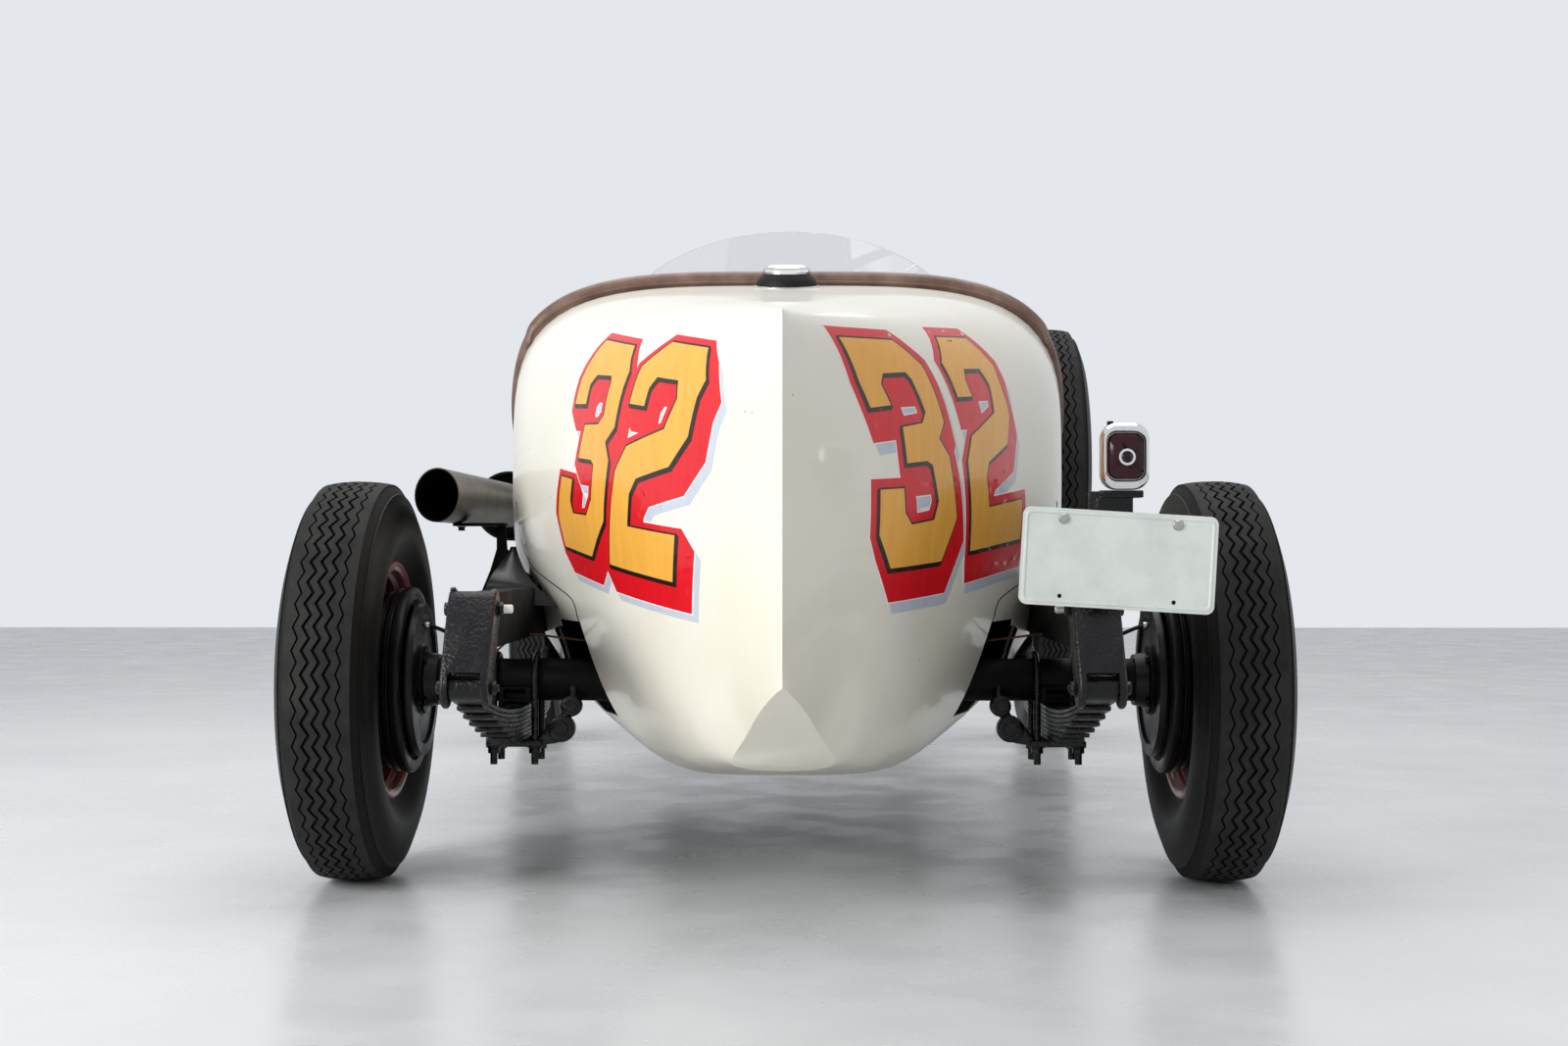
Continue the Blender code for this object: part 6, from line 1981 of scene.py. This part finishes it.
# %% [markdown]
# ## Frame, front axle and steering
#
# These solids already have the right shape, so each is copied, its flats are made whole, its edges are eased
# by a bevel, and bolts, nuts and rivets are added where the parts meet.

# %% Frame
RAIL_LOW, RAIL_TOP = (corner.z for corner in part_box("frame"))
rails = refined("frame", "frame_rails", edge=3 * MM)
finish(rails, chassis_black, "black_paint", "frame")
rivets = []
for side in (-1, 1):
    for ahead in (0.36, 1.22):
        for offset in (-0.02, 0.02):
            rivets.append(((side * (RAIL_X + 0.025), y_at(ahead + offset), 0.485), side))
heads = [spun("rivet", mm((0, 0), (0, 8), (3, 7), (5, 0)), place, (side, 0, 0), 12) for place, side in rivets]
finish(one_piece("frame_rivets", *heads), chassis_black, "black_paint")

# %% Front springs and axle
FRONT_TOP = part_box("front_spring_left")[0].z + FRONT_LEAVES * LEAF
for label, side in SIDES:
    low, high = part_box(f"front_spring_{label}")
    x = (low.x + high.x) / 2
    eye_z = RAIL_LOW - EYE - 0.3 * MM
    ends = (low.y - REAR_AXLE.y + EYE, high.y - REAR_AXLE.y - EYE)
    axle_ahead = FRONT_AXLE.y - REAR_AXLE.y
    pack = leaf_spring(
        f"front_leaf_spring_{label}", x, (ends[0], eye_z), (ends[1], eye_z), (axle_ahead, FRONT_TOP),
        FRONT_LEAVES, LEAF, SPRING_HALF,
    )
    finish(pack, forging_black, "black_paint", f"front_spring_{label}")
    loops = []
    for offset in (-0.031, 0.031):
        ends = [Vector((x + offset, y_at(axle_ahead + reach), FRONT_TOP + 4 * MM)) for reach in (-0.03, 0.03)]
        for end in ends:
            nut = [(end.x, end.y, 0.312)]
            loops.append(pipe("front_u", [(end.x, end.y, 0.3), end], 5 * MM, 10))
            loops.append(bolts("front_nut", nut, (0, 0, -1), 15 * MM, 9 * MM, True, 5 * MM))
        loops.append(pipe("front_u_top", ends, 5 * MM, 10))
    finish(one_piece(f"front_u_bolts_{label}", *loops), forging_black, "black_paint", angle=40)
beam = refined("front_axle", "front_axle_beam", edge=3 * MM)
finish(beam, forging_black, "black_paint", "front_axle")

# %% Steering
for label, side in SIDES:
    knuckle = refined(f"knuckle_{label}", f"steering_knuckle_{label}", edge=1.5 * MM)
    finish(knuckle, forging_black, "black_paint", f"knuckle_{label}", body=f"knuckle_{label}")
for node in ("tie_rod", "drag_link", "pitman_arm"):
    finish(refined(node, f"{node}_forging", edge=1.2 * MM), forging_black, "black_paint", node, body=node)
carrier = refined("spare_carrier", "spare_carrier_arm", edge=2 * MM)
finish(carrier, chassis_black, "black_paint", "spare_carrier")

# %% [markdown]
# ## Cockpit
#
# The bench is a cushion and a back in brown leather. Each pad starts as a block a little smaller than its
# place, is remeshed, and is blown up by cloth simulation. It is then held inside its place, and the sewn
# channels are pressed in, every 64 mm. They fade out at the edges.

# %% Leather
seat_leather, tree, shader = new_material("brown_seat_leather", "#5E3F31", 0.44, Specular_IOR_Level=0.45)
hide = add(tree, "TexNoise", {"Scale": per(0.09), "Detail": 5.0, "Roughness": 0.6})
mottled(shader, hide, 0.32, "#43291F", 0.7, "#6F4C3B")
grain = add(tree, "TexVoronoi", {"Scale": per(0.0024)}, feature="DISTANCE_TO_EDGE")
feed(shader, Normal=add(tree, "Bump", {"Strength": 0.3, "Distance": 0.0005}, {"Height": grain}))


# %% Pads
def blown(piece, cap, voxel):
    """Remeshes a closed form and swells it as cloth under pressure; no point moves farther than the cap."""
    modify(piece, "REMESH", mode="VOXEL", voxel_size=voxel)
    start = np.empty(3 * len(piece.data.vertices))
    piece.data.vertices.foreach_get("co", start)
    only(piece)
    cloth = piece.modifiers.new("Cloth", "CLOTH")
    cloth.settings.quality = 4
    cloth.settings.use_pressure = True
    cloth.settings.uniform_pressure_force = 4.0
    cloth.settings.effector_weights.gravity = 0.0
    cloth.settings.tension_stiffness = cloth.settings.compression_stiffness = 12.0
    scene = bpy.context.scene
    for count in range(1, 21):
        scene.frame_set(count)
    evaluated = piece.evaluated_get(bpy.context.evaluated_depsgraph_get())
    end = np.empty_like(start)
    evaluated.data.vertices.foreach_get("co", end)
    piece.modifiers.remove(cloth)
    scene.frame_set(1)
    move = (end - start).reshape(-1, 3)
    far = np.linalg.norm(move, axis=1, keepdims=True)
    move *= np.minimum(1.0, cap / np.maximum(far, 1e-9))
    piece.data.vertices.foreach_set("co", start + move.reshape(-1))
    piece.data.update()
    return piece


def pressed(piece, low, high, channels):
    """Holds a pad inside its place and presses its channels in along its own normals."""
    normals = [vertex.normal.copy() for vertex in piece.data.vertices]
    for vertex, normal in zip(piece.data.vertices, normals):
        depth = channels(vertex.co, normal)
        co = vertex.co - normal * depth
        vertex.co = [min(max(co[k], low[k]), high[k]) for k in range(3)]
    return piece


CHANNEL = 64 * MM


def channel(x, width=7 * MM, deep=9 * MM):
    """The depth of the nearest sewn channel at x."""
    off = abs((x / CHANNEL + 0.5) % 1.0 - 0.5) * CHANNEL
    return deep * exp(-((off / width) ** 2))


low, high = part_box("seat_cushion")
cushion = block("seat_cushion_pad", low + Vector((0.016, 0.016, 0)), high - Vector((0.016, 0.016, 0.016)), 0)
eased(cushion, 22 * MM, 4)
blown(cushion, 24 * MM, 6 * MM)
front_line = high.y - 0.075


def cushion_channels(co, normal):
    """The cushion's channels run back from a seam near its front edge."""
    top = max(normal.z, 0) * min(max((front_line - co.y) / 0.01, 0), 1.0)
    edge = min(max((co.y - low.y) / 0.05, 0), 1.0)
    return channel(co.x) * top * edge + 8 * MM * exp(-(((co.y - front_line) / 0.006) ** 2)) * max(normal.z, 0)


pressed(cushion, low, high + Vector((0, 0, 0.01)), cushion_channels)
modify(cushion, "SMOOTH", factor=0.5, iterations=2)
modify(cushion, "SUBSURF", levels=1, render_levels=1)
finish(cushion, seat_leather, "brown_leather", "seat_cushion", angle=80)

low_back, high_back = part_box("seat_back")
outline = [
    (y_at(0.318), 0.515), (y_at(0.458), 0.515), (y_at(0.462), 0.65), (y_at(0.412), 1.0),
    (y_at(0.356), 1.0), (y_at(0.318), 0.56),
]
back = extruded("seat_back_pad", outline, "X", -0.368, 0.368)
eased(back, 16 * MM, 4)
blown(back, 24 * MM, 6 * MM)


def back_channels(co, normal):
    """The back's channels run up to a seam near its top."""
    front = max(normal.y, 0) * min(max((0.955 - co.z) / 0.012, 0), 1.0)
    return channel(co.x) * front + 8 * MM * exp(-(((co.z - 0.955) / 0.006) ** 2)) * max(normal.y, 0)


pressed(back, low_back, high_back + Vector((0, 0, 0.004)), back_channels)
for vertex in back.data.vertices:
    # The sloping face stays clear of the cushion and within its own wedge.
    limit = y_at(0.4797) - max(vertex.co.z - 0.66, 0) * (0.0547 / 0.36) + 6 * MM * (vertex.co.z > 0.68)
    vertex.co.y = min(max(vertex.co.y, y_at(0.3162)), limit)
modify(back, "SMOOTH", factor=0.5, iterations=2)
modify(back, "SUBSURF", levels=1, render_levels=1)
finish(back, seat_leather, "brown_leather", "seat_back", angle=80)

# %% Steering wheel and column
WHEEL_AT, BOX_AT = Vector((-0.28, y_at(0.95), 1.0)), Vector((-0.28, y_at(2.36), 0.5))
shaft = (BOX_AT - WHEEL_AT).normalized()
side_of = shaft.cross(Vector((0, 0, 1))).normalized()
up_of = side_of.cross(shaft).normalized()
grip_black = black_paint("moulded_wheel_rim", "#0B0A0A", 0.32, 0.03, 0.0002, coat=0.3)
rim_profile = [(0.0125 * cos(2 * pi * k / 14), 0.205 + 0.0118 * sin(2 * pi * k / 14)) for k in range(14)]
rim = spun("steering_rim", rim_profile, WHEEL_AT, shaft, 72, closed=True)
finish(rim, grip_black, "black_grip", "steering_wheel", body="steering_wheel")
spokes = []
for k in range(4):
    turn = pi / 4 + pi / 2 * k
    ray = side_of * cos(turn) + up_of * sin(turn)
    across = shaft.cross(ray).normalized()
    for offset in (-0.0075, 0, 0.0075):
        spokes.append(
            pipe(
                "spoke",
                [
                    WHEEL_AT + ray * 0.02 + across * offset + shaft * 0.006,
                    WHEEL_AT + ray * 0.202 + across * offset,
                ],
                2.2 * MM, 8,
            )
        )
hub = spun(
    "steering_hub", mm((-12, 0), (-12, 12), (-8, 20), (0, 27), (8, 28), (33, 20), (33, 0)), WHEEL_AT, shaft,
    36,
)
finish(one_piece("steering_spokes", hub, *spokes), chrome, "chrome", body="steering_wheel")
column_tube = pipe(
    "steering_tube", [WHEEL_AT + shaft * 0.036, BOX_AT], 0.0185, 24, smooth=False
)
finish(column_tube, drum_black, "black_paint", "steering_column")
box_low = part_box("steering_column")[0]
housing = block(
    "steering_box", (box_low.x, BOX_AT.y - 0.01, box_low.z), (-0.24, BOX_AT.y + 0.11, box_low.z + 0.15),
    10 * MM,
)
cover = spun(
    "box_cover", mm((0, 0), (0, 45), (8, 45), (12, 36), (12, 0)),
    (-0.242, BOX_AT.y + 0.05, box_low.z + 0.075), (1, 0, 0), 32,
)
cast_iron = metal("rough_cast_iron", "#3B3A38", 0.62, 0.004, 0.0008, 0.1, metallic=0.5)[0]
finish(one_piece("steering_box", housing, cover), cast_iron, "grey_iron")

# %% Gauges
gauge_face = black_paint("gauge_face", "#0A0A0B", 0.3, 0.02, 0.0001)
gauge_white = new_material("gauge_white", "#E9E6DA", 0.5)[0]
lens_glass = new_material("gauge_glass", "#FFFFFF", 0.02, Transmission_Weight=1.0, IOR=1.46)[0]
bezels, faces, marks = [], [], []
DASH_FACE = y_at(1.236)
for x, z, r in (
    (-0.1, 0.985, 0.05), (0.03, 0.985, 0.05), (0.145, 0.995, 0.027), (0.215, 0.995, 0.027),
    (0.285, 0.99, 0.027),
):
    centre = Vector((x, DASH_FACE, z))
    bezels.append(
        spun(
            "bezel",
            [
                (-0.001, r), (-0.001, r + 0.005), (0.006, r + 0.004), (0.008, r + 0.001), (0.007, r - 0.002),
                (0.002, r - 0.002),
            ],
            centre, (0, -1, 0), 40, closed=True,
        )
    )
    faces.append(
        spun("face", [(0, 0), (0, r - 0.001), (0.0022, r - 0.001), (0.0022, 0)], centre, (0, -1, 0), 32)
    )
    ray = lambda degrees: Vector((cos(radians(degrees)), 0, sin(radians(degrees)))) * r
    for k in range(11):
        foot, out = centre - Vector((0, 3 * MM, 0)), ray(225 - 27 * k)
        marks.append(pipe("tick", [foot + out * 0.76, foot + out * 0.92], 0.7 * MM, 4))
    foot = centre - Vector((0, 4.2 * MM, 0))
    marks.append(pipe("needle", [foot, foot + ray(205) * 0.8], 0.9 * MM, 6))
finish(one_piece("gauge_bezels", *bezels), chrome, "chrome")
finish(one_piece("gauge_faces", *faces), gauge_face, "black_paint")
finish(one_piece("gauge_marks", *marks), gauge_white, "plate_white")

# %% Gear lever and pedals
lever = pipe(
    "gear_lever",
    [(0, y_at(1.16), 0.515), (0, y_at(1.1), 0.7), (-0.01, y_at(1.0), 0.82), (-0.015, y_at(0.985), 0.845)],
    7 * MM, 14,
)
knob = spun(
    "knob",
    [(0, 0)] + [(0.022 - 0.022 * cos(pi * k / 10), 0.022 * sin(pi * k / 10)) for k in range(1, 10)]
    + [(0.044, 0)],
    (-0.015, y_at(0.988), 0.835), (-0.05, -0.35, 1), 28,
)
finish(lever, chrome, "chrome")
finish(knob, grip_black, "black_grip")
boot = spun(
    "lever_boot", mm((0, 0), (0, 60), (4, 60), (10, 50), (22, 34), (30, 18), (34, 0)),
    (0, y_at(1.155), 0.512), (0, -0.1, 1), 32,
)
finish(boot, seal_rubber, "black_grip")
pedals = []
for x in (-0.36, -0.27, -0.18):
    pad = block("pedal", (x - 0.028, y_at(1.52), 0.6), (x + 0.028, y_at(1.53), 0.665), 3 * MM)
    pedals += [
        pad,
        pipe(
            "pedal_arm", [(x, y_at(1.528), 0.62), (x, y_at(1.6), 0.6), (x, y_at(1.66), 0.53)], 6 * MM, 10
        ),
    ]
finish(one_piece("pedals", *pedals), forging_black, "black_paint")

# %% [markdown]
# ## Engine, radiator and headlamps
#
# Under the hood is a side-valve four: a cast-iron block, an aluminium head with two rows of nuts, a
# carburettor on a cast manifold, a fan and its belt. The radiator's shell is chrome round a core of small
# cells.

# %% Engine
cast_aluminium = metal("cast_aluminium", "#A6A7A6", 0.48, 0.003, 0.0005, 0.1)[0]
block_parts = [
    block("crankcase", (-0.158, y_at(1.8), 0.432), (0.158, y_at(2.45), 0.6), 8 * MM),
    block("cylinders", (-0.125, y_at(1.81), 0.59), (0.125, y_at(2.44), 0.78), 8 * MM),
    block("valve_chest", (-0.15, y_at(1.86), 0.6), (-0.1, y_at(2.39), 0.72), 10 * MM),
]
for k in range(4):
    block_parts.append(
        spun(
            "core_plug", mm((0, 0), (0, 24), (5, 26), (8, 20), (6, 0)), (0.124, y_at(1.89 + 0.155 * k), 0.69),
            (1, 0, 0), 24,
        )
    )
finish(one_piece("engine_casting", *block_parts), cast_iron, "grey_iron", "engine_block")
head = block("cylinder_head", (-0.118, y_at(1.815), 0.782), (0.118, y_at(2.435), 0.845), 6 * MM)
ribs = [
    block("rib", (-0.085, y_at(1.86 + 0.053 * k), 0.842), (0.085, y_at(1.872 + 0.053 * k), 0.862), 2 * MM)
    for k in range(11)
]
finish(one_piece("cylinder_head", head, *ribs), cast_aluminium, "grey_iron")
nut_places = [(x, y_at(1.845 + 0.08 * k), 0.845) for k in range(8) for x in (-0.102, 0.102)]
finish(bolts("head_nuts", nut_places, (0, 0, 1), 17 * MM, 12 * MM, True, 5 * MM), zinc, "chrome")
plugs = []
for k in range(4):
    at = Vector((0, y_at(1.91 + 0.145 * k), 0.845))
    plugs.append(
        spun("spark_plug", mm((0, 0), (0, 12), (16, 12), (18, 7), (40, 6), (42, 0)), at, (0, 0, 1), 18)
    )
finish(one_piece("spark_plugs", *plugs), gauge_white, "plate_white")
manifold = [
    pipe(
        "manifold_run", [(-0.175, y_at(1.92), 0.7), (-0.175, y_at(2.1), 0.715), (-0.175, y_at(2.33), 0.7)],
        0.024, 18,
    ),
    spun(
        "riser", mm((0, 0), (0, 28), (60, 24), (65, 36), (75, 36), (75, 0)), (-0.175, y_at(2.1), 0.71),
        (0, 0, 1), 28,
    ),
]
for a in (1.92, 2.33):
    manifold.append(pipe("port", [(-0.175, y_at(a), 0.7), (-0.13, y_at(a), 0.68)], 0.022, 16))
finish(one_piece("inlet_manifold", *manifold), cast_aluminium, "grey_iron")
carb = spun(
    "carburettor",
    mm(
        (0, 0), (0, 30), (20, 30), (24, 40), (40, 40), (44, 32), (50, 32), (52, 45), (66, 45), (70, 36),
        (70, 0),
    ),
    (-0.175, y_at(2.1), 0.786), (0, 0, 1), 36,
)
finish(carb, brass, "grey_iron")
branches = []
for k in range(4):
    a = 1.9 + 0.13 * k
    branches.append(
        pipe(
            "exhaust_port", [(-0.12, y_at(a), 0.625), (-0.2, y_at(a), 0.62), (-0.235, y_at(a + 0.03), 0.63)],
            0.02, 16,
        )
    )
branches.append(
    pipe(
        "exhaust_log", [(-0.235, y_at(1.88), 0.63), (-0.24, y_at(2.1), 0.645), (-0.235, y_at(2.36), 0.63)],
        0.03, 20,
    )
)
branches.append(
    pipe(
        "exhaust_out",
        [
            (-0.24, y_at(2.1), 0.645), (-0.3, y_at(2.1), 0.69),
            (-side_x(2.1, 0.72) + 0.012, y_at(2.1), 0.719),
        ],
        0.032, 20,
    )
)
finish(one_piece("exhaust_manifold", *branches), exhaust_steel, "exhaust_steel")
pulley = [
    spun(
        "fan_hub", mm((0, 0), (0, 50), (8, 50), (14, 44), (20, 50), (28, 50), (28, 30), (60, 30), (60, 0)),
        (0, y_at(2.452), 0.74), (0, 1, 0), 36,
    ),
    spun(
        "crank_pulley", mm((0, 0), (0, 60), (10, 60), (16, 53), (22, 60), (32, 60), (32, 0)),
        (0, y_at(2.452), 0.52), (0, 1, 0), 36,
    ),
]
for k in range(4):
    turn = pi / 4 + pi / 2 * k
    blade = grid_piece(
        "fan_blade", 4, 8,
        lambda u, v: (
            cos(turn) * (0.03 + 0.17 * v) - sin(turn) * (u - 0.5) * (0.05 + 0.05 * v),
            y_at(2.5) + (u - 0.5) * 0.03,
            0.74 + (sin(turn) * (0.03 + 0.17 * v) + cos(turn) * (u - 0.5) * (0.05 + 0.05 * v)),
        ),
    )
    modify(blade, "SOLIDIFY", thickness=2 * MM, offset=0)
    pulley.append(blade)
finish(one_piece("fan_and_pulleys", *pulley), drum_black, "black_paint")
belt = pipe(
    "fan_belt",
    [(0.045 * cos(a), y_at(2.466), 0.74 + 0.045 * sin(a)) for a in (pi * k / 8 for k in range(9))]
    + [(-0.054 * cos(a), y_at(2.468), 0.52 - 0.054 * sin(a)) for a in (pi * k / 8 for k in range(9))]
    + [(0.045, y_at(2.466), 0.74)],
    5 * MM, 6, smooth=False,
)
finish(belt, seal_rubber, "black_grip")
gear = [
    block("gearbox", (-0.085, y_at(1.325), 0.347), (0.085, y_at(1.72), 0.423), 12 * MM),
    block("bell_housing", (-0.108, y_at(1.7), 0.347), (0.108, y_at(2.19), 0.498), 24 * MM),
    block(
        "engine_arms", (-0.44, y_at(2.022), RAIL_TOP + 0.5 * MM), (0.44, y_at(2.078), RAIL_TOP + 0.024),
        4 * MM,
    ),
]
finish(one_piece("gearbox_casting", *gear), cast_iron, "grey_iron")

# %% Radiator
shell = refined("radiator", "radiator_shell", edge=2.5 * MM, segments=3)
finish(shell, chrome, "chrome", "radiator")
core_metal, tree, shader = metal("radiator_core", "#2B2622", 0.5, 0.01, 0.0002, metallic=0.6)
flat = add(tree, "Mapping", {"Rotation": (pi / 2, 0, 0)})
# Cells 8 mm wide and 6 mm tall between thin folded strips. The cells are near black: painted shade for the
# depth of the open core on this flat slab.
cells = add(
    tree, "TexBrick",
    {"Scale": 1.0, "Brick Width": 0.008, "Row Height": 0.006, "Mortar Size": 0.0008, "Mortar Smooth": 0.3,
     "Color1": linear("#0B0A09"), "Color2": linear("#12100E"), "Mortar": linear("#6B6258")},
    {"Vector": flat},
)
feed(shader, Base_Color=cells)
core_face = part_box("radiator")[1].y - 18 * MM
core_ring = [(x * 0.835, 0.76 + (z - 0.76) * 0.835) for x, z in right_outline(HOOD_FRONT, 16, 8, 6)]
core_ring = core_ring + [(-x, z) for x, z in reversed(core_ring[1:-1])]
core = extruded("radiator_core", core_ring, "Y", core_face + 0.5 * MM, core_face + 6 * MM)
finish(core, core_metal, "grey_iron")
cap = spun(
    "radiator_cap", mm((-10, 0), (-10, 22), (12, 22), (14, 30), (24, 31), (30, 24), (34, 12), (35, 0)),
    (0, y_at(2.705), crown_at(2.66, 0)), (0, 0, 1), 36,
)
finish(cap, chrome, "chrome")

# %% Headlamps
LAMP_X, LAMP_AHEAD = 0.3, 2.86
bar = pipe(
    "lamp_bar", [(-0.42, y_at(LAMP_AHEAD), 0.66), (0.42, y_at(LAMP_AHEAD), 0.66)], 0.012, 18, smooth=False
)
posts = [bar]
for side in (-1, 1):
    x = side * 0.37
    posts.append(
        block(
            "lamp_post", (x - 0.014, y_at(LAMP_AHEAD - 0.013), RAIL_TOP + 0.3 * MM),
            (x + 0.014, y_at(LAMP_AHEAD + 0.013), 0.662), 2 * MM,
        )
    )
    posts.append(
        pipe(
            "lamp_stem", [(side * LAMP_X, y_at(LAMP_AHEAD), 0.655), (side * LAMP_X, y_at(LAMP_AHEAD), 0.7)],
            0.011, 16, smooth=False,
        )
    )
finish(one_piece("headlamp_bar", *posts), forging_black, "black_paint", "headlamps")
for label, side in SIDES:
    at = (side * LAMP_X, y_at(LAMP_AHEAD), 0.775)
    shell = spun(
        f"headlamp_shell_{label}",
        mm(
            (-100, 0), (-98, 14), (-88, 45), (-66, 68), (-30, 85), (10, 92.5), (30, 93.5), (30, 90), (10, 89),
            (-30, 81), (-64, 64), (-84, 43), (-92, 0),
        ),
        at, (0, 1, 0), 48,
    )
    finish(shell, chrome, "chrome")
    ring = spun(
        f"headlamp_rim_{label}",
        mm((24, 90.5), (24, 95.5), (44, 95.5), (50, 91), (48, 85), (42, 86), (40, 90.5)), at, (0, 1, 0), 48,
        closed=True,
    )
    finish(ring, chrome, "chrome")
    lens = spun(
        f"headlamp_lens_{label}", mm((36, 0), (36, 89.5), (40, 89.5), (48, 60), (52, 30), (53.5, 0)), at,
        (0, 1, 0), 40,
    )
    finish(lens, lens_glass, "acrylic")
